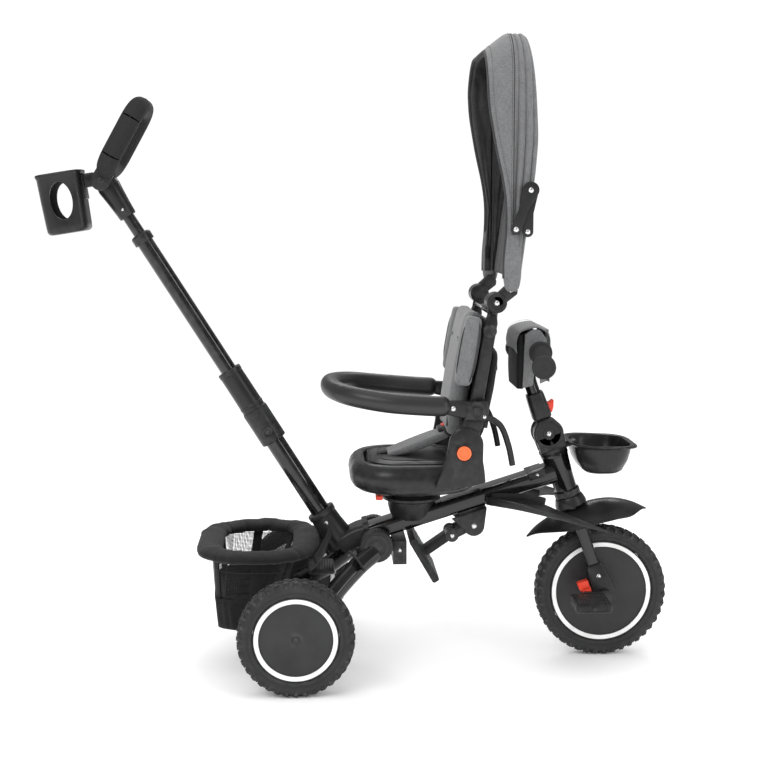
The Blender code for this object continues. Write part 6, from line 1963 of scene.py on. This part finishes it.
        hang(Shape().lathe(centre, [(r, s * h) for r, h in button], 48).object("recline_press_" + word, 30), name,
            ORANGE, [name])


@dataclass
class Backrest:
    """Uprights, cross bars, cushion with bolsters, the cloth bag behind and the bar's sockets."""

    upright: float = 0.116

    def build(self) -> None:
        """Makes the back's pieces."""
        self.build_frame()
        self.build_cushion()
        self.build_bag()

    def build_frame(self) -> None:
        """Two bent uprights with moulded sockets, a cable band and hubs for the hood."""
        tubes, moulded, necks, heads = Shape(), Shape(), Shape(), []
        for side in Side:
            s = side.value
            route = [(-0.277, 0.416), (-0.262, 0.465), (-0.25, 0.512), (-0.2375, 0.585), (-0.2255, 0.655),
                (-0.221, 0.681)]
            tubes.tube(smooth_path([spot(x, s * self.upright, z) for x, z in route], 8), circle(0.0094, 28))
            moulded.lathe(place(-0.221, 0.681) @ ALONG_Y,
                [(r, s * h) for r, h in ((0, 0.106), (0.0165, 0.106), (0.0178, 0.1075), (0.0178, 0.1325),
                    (0.0165, 0.1338), (0, 0.1338))], 48)
            y0, y1 = span(side, 0.12, 0.1458)
            moulded.slab(GROUND, [(-0.274, 0.474), (-0.272, 0.506), (-0.235, 0.5076), (-0.2334, 0.488),
                (-0.237, 0.4724)], y0, y1, Edge.ROUND, 3)
            y0, y1 = span(side, 0.125, 0.1335)
            necks.slab(GROUND, [(-0.296, 0.42), (-0.286, 0.45), (-0.2745, 0.476), (-0.24, 0.476), (-0.248, 0.445),
                (-0.256, 0.418), (-0.268, 0.399), (-0.288, 0.401)], y0, y1, Edge.ROUND, 3)
            necks.slab(GROUND, [(-0.286, 0.44), (-0.2745, 0.476), (-0.24, 0.476), (-0.245, 0.456), (-0.254, 0.448)],
                *span(side, 0.133, 0.142), Edge.ROUND, 3)
            heads.append((spot(-0.241, s * 0.146, 0.48), Vector((0, s, 0))))
            moulded.lathe(place(-0.23, 0.63) @ ALONG_Y,
                [(r, s * h) for r, h in ((0, 0.106), (0.0105, 0.106), (0.012, 0.1075), (0.012, 0.129), (0.0, 0.129))],
                    32)
        for side in Side:
            y0, y1 = span(side, 0.1065, 0.1268)
            moulded.slab(BACK, [(-0.011, -0.055), (0.011, -0.06), (0.011, 0.135), (0.007, 0.15), (-0.007, 0.15),
                (-0.011, 0.135)], y0, y1, Edge.ROUND, 3)
        moulded.box(BACK, (-0.0085, -0.108, -0.05), (-0.0015, 0.108, 0.138), Edge.ROUND, 3)
        half = self.upright
        tubes.rod(spot(-0.261, -half, 0.452), spot(-0.261, half, 0.452), 0.007)
        tubes.rod(spot(-0.224, -half, 0.664), spot(-0.224, half, 0.664), 0.008)
        hang(tubes.object("back_tubes", 45), "back", TUBE, ["back_frame"])
        hang(moulded.object("back_mouldings"), "back", SATIN)
        hang(necks.object("back_necks"), "back", SATIN)
        rivet_row("back_rivets", "back", heads, 0.0034, 0.001)

    def build_cushion(self) -> None:
        """A padded back with a middle seam and two side bolsters."""
        rows = []
        for i in range(13):
            share = i / 12
            t = -0.08 + 0.228 * share
            thick = 0.0095 + 0.0058 * sin(pi * share) ** 0.5
            half = 0.092 - 0.006 * abs(2 * share - 1) ** 3
            rows.append([BACK @ Vector((-0.0282 + v, u, t)) for u, v in rounded_loop(half, thick, thick * 0.97, 7)])
        pad = swell(Shape().rings(rows).object("back_pad", 60), 4.0, 0.003)
        hang(pad, "back", GREY_CLOTH, ["back_cushion"])
        piping = Shape()
        for side in Side:
            s = side.value
            rows = []
            for i in range(11):
                share = i / 10
                t = 0.0165 + 0.123 * share
                swell_by = sin(pi * (0.08 + 0.84 * share)) ** 0.5
                half_u, half_v = 0.0165 * (0.72 + 0.28 * swell_by), 0.0215 * (0.7 + 0.3 * swell_by)
                rows.append([BACK @ Vector((-0.0312 + u, s * 0.116 + v, t)) for u,
                    v in rounded_loop(half_u, half_v, half_u * 0.95, 7)])
            wing = swell(Shape().rings(rows).object("bolster_" + side.word, 60), 4.0, 0.002)
            hang(wing, "back", GREY_CLOTH)
            edge = [BACK @ Vector((-0.0472 + 0.01 * abs(2 * i / 12 - 1) ** 4,
                s * (0.1262 - 0.004 * abs(2 * i / 12 - 1) ** 4), 0.02 + 0.116 * i / 12)) for i in range(13)]
            piping.tube(edge, circle(0.0016, 10))
            back_edge = [BACK @ Vector((-0.0165 - 0.008 * abs(2 * i / 12 - 1) ** 4,
                s * (0.133 - 0.004 * abs(2 * i / 12 - 1) ** 4), 0.02 + 0.116 * i / 12)) for i in range(13)]
            piping.tube(back_edge, circle(0.0016, 10))
        hang(piping.object("bolster_piping", 60), "back", BINDING)
        for side in Side:
            s = side.value
            knots = [BACK @ Vector(p) for p in ((-0.038, s * 0.045, 0.12), (-0.044, s * 0.046, 0.1),
                (-0.0446, s * 0.048, 0.04), (-0.044, s * 0.056, -0.02), (-0.04, s * 0.068, -0.068))]
            ribbon("shoulder_strap_" + side.word, "back", knots, 0.024, WEBBING, Vector((0, 1, 0)), 0.0022)

    def build_bag(self) -> None:
        """A slack cloth bag behind the back, with a zip across it and a clip on its strap."""
        rows = []
        for i in range(17):
            share = i / 16
            t = -0.0775 + 0.1635 * share
            belly = (0.62 + 0.38 * sin(pi * (1 - share) ** 0.8) ** 0.7) * (1.0 if 0 < i < 16 else 0.82)
            row = []
            for k in range(25):
                a = pi * k / 24
                y, u = 0.102 * cos(a) * (0.975 + 0.025 * belly), 0.014 + 0.021 * belly * sin(a) ** 0.62
                u += 0.0009 * noise.noise(Vector((y * 30, t * 45, 2.0)))
                row.append(BACK @ Vector((u, y, t)))
            for k in range(1, 12):
                row.append(BACK @ Vector((0.013, -0.102 + 0.204 * k / 12, t)))
            rows.append(row)
        bag = swell(Shape().rings(rows).object("back_bag_shell", 60), 2.0, 0.0015)
        hang(bag, "back", BLACK_CLOTH, ["back_bag"])
        zip_line = [BACK @ Vector((0.015 + 0.0205 * sin(pi * k / 24) ** 0.62, 0.1 * cos(pi * k / 24),
            0.052)) for k in range(2, 23)]
        hang(Shape().tube(zip_line, rounded_loop(0.0036, 0.0011, 0.0009, 4), up=Vector((0, 0, 1))).object("bag_zip",
            60), "back", BINDING)
        clip = Shape().box(BACK, (0.02, -0.099, -0.056), (0.03, -0.09, -0.036), Edge.SOFT)
        hang(clip.object("bag_clip"), "back", PLASTIC)
        for side in Side:
            s = side.value
            knots = [spot(-0.25, s * 0.112, 0.474), spot(-0.2308, s * 0.108, 0.4735), spot(-0.2065, s * 0.105, 0.457),
                spot(-0.192, s * 0.103, 0.4215), spot(-0.184, s * 0.101, 0.385)]
            ribbon("side_band_" + side.word, "back", knots, 0.012, SATIN, Vector((0, 1, 0)), 0.011)


@dataclass
class GuardBar:
    """A padded U-shaped bar on two swivel ends, with a square button at each."""

    radius: float = 0.018

    def build(self) -> None:
        """Makes the bar, its ends and the buttons."""
        half = [(-0.304, 0.1345, 0.4975), (-0.345, 0.137, 0.4995), (-0.41, 0.1365, 0.505), (-0.47, 0.113, 0.513),
            (-0.503, 0.06, 0.518), (-0.511, 0.0, 0.52)]
        route = [spot(*p) for p in half] + [spot(x, -y, z) for x, y, z in reversed(half[:-1])]
        line = smooth_path(route, 8)

        def ends(share: float) -> float:
            """Tucks the cover in at the bar's two ends."""
            near = min(share, 1 - share) / 0.035
            return 1.0 if near >= 1 else 0.72 + 0.28 * sin(pi / 2 * near)

        bar = Shape().tube(line, circle(self.radius, 40), ends, up=Vector((0, 0, 1)))
        cover = bar.object("guard_bar_cover", 70)
        hang(cover, "guard_bar", HIDE, ["guard_bar"])
        inner = [p + Vector((0, 0, 0)) for p in line]
        centre = spot(-0.36, 0, 0.51)
        seam = []
        for p in inner[3:-3]:
            way = Vector((centre.x - p.x, centre.y - p.y, 0)).normalized()
            seam.append(p + way * (self.radius + 0.0001))
        hang(Shape().tube(seam, circle(0.0007, 8), up=Vector((0, 0, 1))).object("guard_bar_seam", 70), "guard_bar",
            GRIP_RUBBER)
        ends_made, heads = Shape(), []
        for side in Side:
            s = side.value
            ends_made.lathe(place(-0.255, 0.49) @ ALONG_Y,
                [(r, s * h) for r, h in ((0, 0.1275), (0.016, 0.1275), (0.0172, 0.129), (0.0172, 0.145),
                    (0.016, 0.1464), (0.0105, 0.1464), (0.01, 0.1455), (0, 0.1455))], 48)
            outline = [(-0.256, 0.474), (-0.285, 0.478), (-0.312, 0.485), (-0.318, 0.496), (-0.312, 0.51),
                (-0.285, 0.508), (-0.256, 0.506)]
            ends_made.slab(GROUND, outline, *span(side, 0.1285, 0.144), Edge.FULL, 4)
            heads.append((spot(-0.296, s * 0.1442, 0.4945), Vector((0, s, 0))))
            name = "guard_button_" + side.word
            button = Shape().box(GROUND, (-0.2604, span(side, 0.1405, 0.1488)[0], 0.4836),
                (-0.2496, span(side, 0.1405, 0.1488)[1], 0.4964), Edge.SOFT, 3)
            hang(button.object("guard_press_" + side.word), name, GREY_PLASTIC, [name])
        hang(ends_made.object("guard_bar_ends"), "guard_bar", SATIN)
        rivet_row("guard_bar_rivets", "guard_bar", heads, 0.0046, 0.0014)


# ---- hood ---------------------------------------------------------------------------------------
@dataclass
class Hood:
    """The folding canopy: a front panel on its rim, pleats behind it, a dark lining and the links."""

    half: float = 0.156
    top: float = 1.15
    foot: float = 0.724
    corner: float = 0.085
    seam: float = -0.1955
    front: Sequence[Pair] = ((0.724, -0.211), (0.76, -0.211), (0.8, -0.207), (0.85, -0.2066), (0.89, -0.212),
        (0.95, -0.226), (1.02, -0.2385), (1.08, -0.241), (1.118, -0.2408), (1.15, -0.2405))
    rear: Sequence[Pair] = ((0.724, -0.181), (0.77, -0.175), (0.83, -0.1675), (0.9, -0.157), (0.965, -0.152),
        (1.04, -0.156), (1.11, -0.163), (1.15, -0.168))

    def edge(self, table: Sequence[Pair], z: float) -> float:
        """A side profile's x at a height, smoothed."""
        near = [along_table(table, z + d) for d in (-0.016, -0.008, 0.0, 0.008, 0.016)]
        return sum(near) / len(near)

    def spot(self, x: float, y: float, z: float) -> Vector:
        """A point of the hood; the top of the front rim dips towards the opening."""
        ahead = max(0.0, min(1.0, (self.seam - 0.006 - x) / 0.04))
        high = max(0.0, min(1.0, (z - 1.01) / 0.12))
        return spot(x, y, z - 0.03 * ahead**1.2 * high * high * (3 - 2 * high))

    def arch(self, inset: float = 0.0) -> list[tuple[float, float, float]]:
        """The hood seen from the front, as (y, z, share along it) from one foot to the other."""
        half, top, corner = self.half - inset, self.top - inset, self.corner - inset * 0.6
        points = [(-half, self.foot + (top - corner - self.foot) * i / 26) for i in range(26)]
        points += [(-half + corner - corner * cos(a),
            top - corner + corner * sin(a)) for a in (pi / 2 * i / 16 for i in range(17))]
        wide = half - corner
        points += [(-wide + 2 * wide * i / 12, top) for i in range(1, 12)]
        points += [(-y, z) for y, z in reversed(points[:43])]
        return [(y, z, i / (len(points) - 1)) for i, (y, z) in enumerate(points)]

    def band(self, name: str, steps: int, lay: Callable[[float, float, float], Pair],
        wall: float) -> tuple[bpy.types.Object, float]:
        """A strip of the arch.

        Args:
            name: the piece's name.
            steps: rows across the strip.
            lay: share across, height and share along to x and inset.
            wall: the cloth's thickness.

        Returns:
            The piece and its one-sided area.
        """
        outer, inner = self.arch(0.0), self.arch(0.01)
        rows = []
        for i in range(steps + 1):
            row = []
            for (y, z, along), (yi, zi, _) in zip(outer, inner):
                x, inset = lay(i / steps, z, along)
                w = inset / 0.01
                row.append(self.spot(x, y + (yi - y) * w, z + (zi - z) * w))
            rows.append(row)
        made = Shape().rings(rows, wrap=False, caps=False).object(name, 75)
        area = cut_area(made)
        return thicken(made, wall), area

    def build(self) -> None:
        """Makes the canopy, its lining, edges, arms and links."""
        self.build_front()
        self.build_rear()
        self.build_tips()
        self.build_arms()
        self.build_links()

    def build_front(self) -> None:
        """The melange front panel with its bound rim, seam, stitches and dark lining."""

        def outer(across: float, z: float, along: float) -> Pair:
            """The panel's own surface, slightly slack."""
            x0, x1 = self.edge(self.front, z) + 0.0015, self.seam - 0.0008
            slack = 0.0012 * noise.noise(Vector((across * 1.5, along * 26, 0.0))) * sin(pi * across)
            return x0 + (x1 - x0) * across, 0.0024 + slack

        def inner(across: float, z: float, along: float) -> Pair:
            """The lining, hanging in loose folds."""
            x0, x1 = self.edge(self.front, z) + 0.003, self.seam - 0.0012
            fold = 0.0048 * noise.noise(Vector((across * 2.2, along * 22, 4.0)))
            fold += 0.0035 * noise.noise(Vector((across * 5.0 + along * 9, along * 46, 8.0)))
            return x0 + (x1 - x0) * across, 0.0125 + fold * sin(pi * min(1.0,
                across * 1.1 + 0.05)) - 0.0085 * max(0.0, 1 - 9 * across)

        panel, area = self.band("hood_front_panel", 12, outer, 0.002)
        hang(panel, "hood_front", GREY_CLOTH, ["hood_front"])
        lining, area = self.band("hood_front_lining", 12, inner, 0.001)
        hang(lining, "hood_front", LINING)
        arch = self.arch(0.004)
        rim = [self.spot(self.edge(self.front, z) + 0.0012, y, z) for y, z, _ in arch]
        hang(Shape().tube(rim, oval(0.0034, 0.0026, 14), up=Vector((1, 0, 0))).object("hood_front_binding", 70),
            "hood_front", BINDING)
        face = self.arch(0.001)
        lines = [[self.spot(self.edge(self.front, z) + 0.0085, y, z) for y, z, _ in face],
            [self.spot(self.seam - 0.0036, y, z) for y, z, _ in face]]
        stitch_line("hood_front_stitches", "hood_front", lines, DARK_THREAD, 0.0042, 0.003, 0.0004)

    def build_rear(self) -> None:
        """Nested pleats behind the seam, a closing wall and the lining inside it."""

        def outer(across: float, z: float, along: float) -> Pair:
            """Three pleats whose valleys deepen towards the feet."""
            x0, x1 = self.seam + 0.0008, self.edge(self.rear, z) - 0.001
            deep = 0.0036 + 0.0066 * max(0.0, min(1.0, (1.1 - z) / 0.2))
            fold = abs(sin(pi * (0.5 + 3.0 * across + 0.12 * sin(along * 14)))) ** 0.7
            return x0 + (x1 - x0) * across, 0.0016 + deep * (1 - fold) + 0.005 * max(0.0, across - 0.85) / 0.15

        def inner(across: float, z: float, along: float) -> Pair:
            """The dark inside of the pleats."""
            x0, x1 = self.seam + 0.0012, self.edge(self.rear, z) - 0.007
            fold = 0.004 * noise.noise(Vector((across * 4.0, along * 30, 6.0)))
            return x0 + (x1 - x0) * across, 0.0165 + fold

        pleats, area = self.band("hood_rear_pleats", 36, outer, 0.002)
        hang(pleats, "hood", GREY_CLOTH, ["hood_rear"])
        lining, area = self.band("hood_rear_lining", 16, inner, 0.001)
        hang(lining, "hood", LINING)
        for name, finish, shift, inset in (("hood_rear_wall", GREY_CLOTH, -0.003, 0.0058),
            ("hood_rear_inside", LINING, -0.0085, 0.015)):
            made, area = self.wall(name, shift, inset)
            hang(made, "hood", finish)
        face = self.arch(0.0026)
        seam = [spot(self.seam + 0.0004, y, z) for y, z, _ in face]
        hang(Shape().tube(seam, circle(0.0014, 10), up=Vector((1, 0, 0))).object("hood_seam_piping", 70), "hood",
            BINDING)
        rear = [spot(self.edge(self.rear, z) - 0.003, y, z) for y, z, _ in self.arch(0.0066)]
        hang(Shape().tube(rear, circle(0.0022, 10), up=Vector((1, 0, 0))).object("hood_rear_piping", 70), "hood",
            GREY_CLOTH)
        face = self.arch(0.0012)
        stitch_line("hood_rear_stitches", "hood", [[spot(self.seam + 0.0034, y, z) for y, z, _ in face]], DARK_THREAD,
            0.0042, 0.003, 0.0004)

    def wall(self, name: str, shift: float, inset: float) -> tuple[bpy.types.Object, float]:
        """The cloth that closes the hood behind, in long hanging folds."""
        outline = self.arch(inset)[:49]
        rows = []
        for y_edge, z, _ in outline[:43]:
            row = []
            for k in range(-20, 21):
                share = k / 20
                y = share * abs(y_edge)
                fold = 0.0022 * sin(abs(share) ** 1.4 * 15.0) * (1 - abs(share) ** 6)
                slack = 0.003 * noise.noise(Vector((y * 14, z * 9, shift * 900)))
                row.append(spot(self.edge(self.rear,
                    z) + shift - 0.004 * (1 - abs(share) ** 4) + fold * 0.5 + slack * 0.6 * (1 - share**8), y, z))
            rows.append(row)
        made = Shape().rings(rows, wrap=False, caps=False).object(name, 75)
        area = cut_area(made)
        return thicken(made, 0.0012), area

    def build_tips(self) -> None:
        """The bunched, teardrop-shaped ends of the cloth at each foot, with tabs inside."""
        for side in Side:
            s = side.value
            made = Shape()
            for shift, wide, out in ((-0.007, 0.012, 0.0), (0.006, 0.013, 0.0008), (-0.001, 0.0078, 0.0022)):
                rows = []
                for i in range(19):
                    share = i / 18
                    z = 0.7015 + 0.098 * share
                    fat = sin(pi * min(1.0, 0.04 + 0.9 * share ** 0.62)) ** 0.7
                    x = -0.196 + shift * (0.35 + 0.65 * share)
                    rows.append([spot(x + u * (0.25 + 0.75 * fat), s * (0.1512 + out) + v * (0.3 + 0.7 * fat),
                        z) for u, v in oval(wide, 0.0056, 18)])
                made.rings(rows)
            piece = made.object("hood_tip_" + side.word, 80)
            hang(piece, "hood", GREY_CLOTH)
        tabs = Shape()
        for side in Side:
            for x in (-0.2035, -0.1865):
                y0, y1 = span(side, 0.1385, 0.141)
                tabs.box(GROUND, (x - 0.004, y0, 0.748), (x + 0.004, y1, 0.772), Edge.CRISP)
        hang(tabs.object("hood_tabs"), "hood", WEBBING)

    def build_arms(self) -> None:
        """The two arms at the hood's feet and the wire bow that holds its rear arch."""
        arms, heads = Shape(), []
        for side in Side:
            s = side.value
            arms.lathe(place(-0.221, 0.681) @ ALONG_Y,
                [(r, s * h) for r, h in ((0, 0.1347), (0.0168, 0.1347), (0.0178, 0.1357), (0.0178, 0.1484),
                    (0.0166, 0.1498), (0.0112, 0.1498), (0.0106, 0.1488), (0, 0.1488))], 56)
            outline = [(-0.217, 0.672), (-0.1855, 0.696), (-0.1845, 0.704), (-0.19, 0.7165), (-0.202, 0.7165),
                (-0.229, 0.691)]
            arms.slab(GROUND, outline, *span(side, 0.1392, 0.1488), Edge.ROUND, 3)
            heads.append((spot(-0.221, s * 0.149, 0.681), Vector((0, s, 0))))
            heads.append((spot(-0.197, s * 0.149, 0.704), Vector((0, s, 0))))
        side_y, top = self.half - 0.012, self.top - 0.012
        bend = self.corner - 0.012
        half = [(-0.1885, side_y, 0.7), (-0.187, side_y, 0.76), (-0.183, side_y, 0.9), (-0.18, side_y, top - bend)]
        half += [(-0.18, side_y - bend + bend * cos(a), top - bend + bend * sin(a)) for a in (radians(22),
            radians(45), radians(68), radians(90))]
        bow = [spot(*p) for p in half] + [spot(x, -y, z) for x, y, z in reversed(half)]
        arms.tube(smooth_path(bow, 6), circle(0.0028, 14), up=Vector((1, 0, 0)))
        hang(arms.object("hood_arms_pair", 40), "hood", SATIN, ["hood_arms"])
        rivet_row("hood_arm_rivets", "hood", heads, 0.0046, 0.0012)

    def build_links(self) -> None:
        """The elbow links outside the cloth, each with its rivets and a round hub."""
        low, hub, front = (-0.171, 0.805), (-0.167, 0.876), (-0.192, 0.809)
        for name, body, start, end, y_in, y_out, start_r, end_r in (
            ("strut_lower", "struts_lower", low, hub, 0.1602, 0.1648, 0.0095, 0.0145),
            ("strut_upper", "struts_upper", hub, front, 0.1657, 0.1698, 0.0145, 0.0095),
        ):
            run = Vector((end[0] - start[0], 0, end[1] - start[1]))
            at = place(*start) @ Vector((0, 0, 1)).rotation_difference(run).to_matrix().to_4x4()
            for side in Side:
                y0, y1 = span(side, y_in, y_out)
                long = run.length
                outline = arc_points(0, 0, start_r, 180, 360, 16) + [(0.0078, long * 0.45)] + arc_points(0, long,
                    end_r, 0, 180, 16) + [(-0.0078, long * 0.45)]
                link = Shape().slab(at, outline, y0, y1, Edge.SOFT, 3)
                piece = link.object(f"{name}_link_{side.word}")
                hang(piece, body, SATIN, [f"{name}_{side.word}"])
        for name, body, spots, y in (("link_top_rivets", "struts_upper", [hub, front], 0.1699),
            ("link_low_rivets", "struts_lower", [low], 0.1649)):
            rivet_row(name, body, [(spot(x, side.value * y, z), Vector((0, side.value, 0))) for x,
                z in spots for side in Side], 0.0046, 0.0013)


@dataclass
class FlipFootrest:
    """The small fold-down footrest: two bars and a ribbed plate."""

    def build(self) -> None:
        """Makes the bars, their pins and the plate."""
        hang(Shape().node_copy("flip_arm", 0.0014).object("flip_bars"), "flip_arm", GREY_PLASTIC, ["flip_arm"])
        hang(Shape().node_copy("flip_plate", 0.0016).object("flip_tread"), "flip_plate", PLASTIC, ["flip_plate"])
        ribs = Shape()
        at = place(-0.34, 0.201, radians(-30))
        for i in range(7):
            z = -0.036 + 0.012 * i
            for x0, x1 in ((-0.0078, -0.0064), (0.0064, 0.0078)):
                ribs.box(at, (x0, -0.06, z - 0.002), (x1, 0.06, z + 0.002), Edge.CRISP, 1)
        hang(ribs.object("flip_ribs"), "flip_plate", RUBBER)
        heads = [(spot(x, s * 0.0278, z), Vector((0, s, 0))) for x,
            z in ((-0.245, 0.258), (-0.285, 0.238)) for s in (1, -1)]
        rivet_row("flip_rivets", "flip_arm", heads, 0.0048, 0.0014)


# ---- studio -------------------------------------------------------------------------------------
@dataclass
class Studio:
    """A plain white floor, soft lights and the camera."""

    lens: float = 65.1

    def build(self) -> None:
        """Makes the set."""
        self.build_floor()
        self.build_lights()
        self.build_camera()
        view = bpy.context.scene.view_settings
        view.view_transform, view.look, view.exposure = "Standard", "None", 0.0

    def build_floor(self) -> None:
        """A wide white floor."""
        half = 60.0
        mesh = bpy.data.meshes.new("floor")
        mesh.from_pydata([(-half, -half, 0), (half, -half, 0), (half, half, 0), (-half, half, 0)], [], [(0, 1, 2, 3)])
        floor = bpy.data.objects.new("floor", mesh)
        bpy.context.scene.collection.objects.link(floor)
        white = bpy.data.materials.new("floor_white")
        white.use_nodes = True
        shader = white.node_tree.nodes["Principled BSDF"]
        shader.inputs["Base Color"].default_value = (1.0, 1.0, 1.0, 1.0)
        shader.inputs["Roughness"].default_value = 0.9
        shader.inputs["Specular IOR Level"].default_value = 0.1
        mesh.materials.append(white)
        world = bpy.data.worlds.new("soft_white")
        world.use_nodes = True
        world.node_tree.nodes["Background"].inputs["Color"].default_value = (1.0, 1.0, 1.0, 1.0)
        tree = world.node_tree
        ray = tree.nodes.new("ShaderNodeLightPath")
        soften = tree.nodes.new("ShaderNodeMapRange")
        soften.inputs["To Min"].default_value = 1.05
        soften.inputs["To Max"].default_value = 0.3
        tree.links.new(ray.outputs["Is Glossy Ray"], soften.inputs["Value"])
        tree.links.new(soften.outputs["Result"], tree.nodes["Background"].inputs["Strength"])
        bpy.context.scene.world = world

    def build_lights(self) -> None:
        """Long strip lights on both sides and one overhead."""
        lights = [
            ("key", (-1.6, -2.2, 2.6), (1.6, 1.2), 34.0),
            ("fill", (2.2, -1.8, 1.5), (0.5, 2.0), 14.0),
            ("rim", (0.3, 2.4, 2.4), (2.4, 0.6), 24.0),
            ("top", (0.0, 0.0, 3.4), (2.2, 2.2), 17.0),
        ]
        target = Vector((0, 0, 0.5))
        for name, where, size, power in lights:
            data = bpy.data.lights.new(name, "AREA")
            data.shape, data.size, data.size_y, data.energy = "RECTANGLE", size[0], size[1], power
            lamp = bpy.data.objects.new(name, data)
            lamp.location = where
            lamp.rotation_euler = (target - Vector(where)).to_track_quat("-Z", "Y").to_euler()
            bpy.context.scene.collection.objects.link(lamp)

    def build_camera(self) -> None:
        """The camera, level with the seat and a little to the handlebar's side."""
        data = bpy.data.cameras.new("camera")
        data.lens, data.sensor_width = self.lens, 36.0
        camera = bpy.data.objects.new("camera", data)
        right, up, ahead = Vector((0.9988, -0.0492, 0.0)), Vector((0.0063, 0.1276, 0.9918)), Vector((0.0488, 0.9906,
            -0.1278))
        turn = Matrix((right, up, -ahead)).transposed().to_4x4()
        camera.matrix_world = Matrix.Translation((X0 - 0.537, -2.555, 0.8505)) @ turn
        bpy.context.scene.collection.objects.link(camera)
        bpy.context.scene.camera = camera


def build_wheels() -> None:
    """The front wheel and the two rear wheels."""
    axle = joint_spot("front_wheel_spin")
    Wheel("front_wheel", Vector((axle.x, 0, axle.z)), 0.125, "front_wheel", "front_tyre", "front_wheel", 0.008,
        44).build()
    for side in Side:
        low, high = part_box("rear_tyre_" + side.word)
        body = "rear_wheel_" + side.word
        Wheel(body, (low + high) / 2, 0.104, body, "rear_tyre_" + side.word, body, 0.0065, 38).build()


def main() -> None:
    """Builds the tricycle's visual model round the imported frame."""
    logging.basicConfig(level=logging.INFO, format="%(message)s")
    build_wheels()
    for section in (MainFrame, RearEnd, PushPole, FrontEnd, Stem, Seat, Backrest, GuardBar, Hood, FlipFootrest, Studio):
        LOG.info("building %s", section.__name__)
        section().build()


if __name__ == "__main__":
    main()
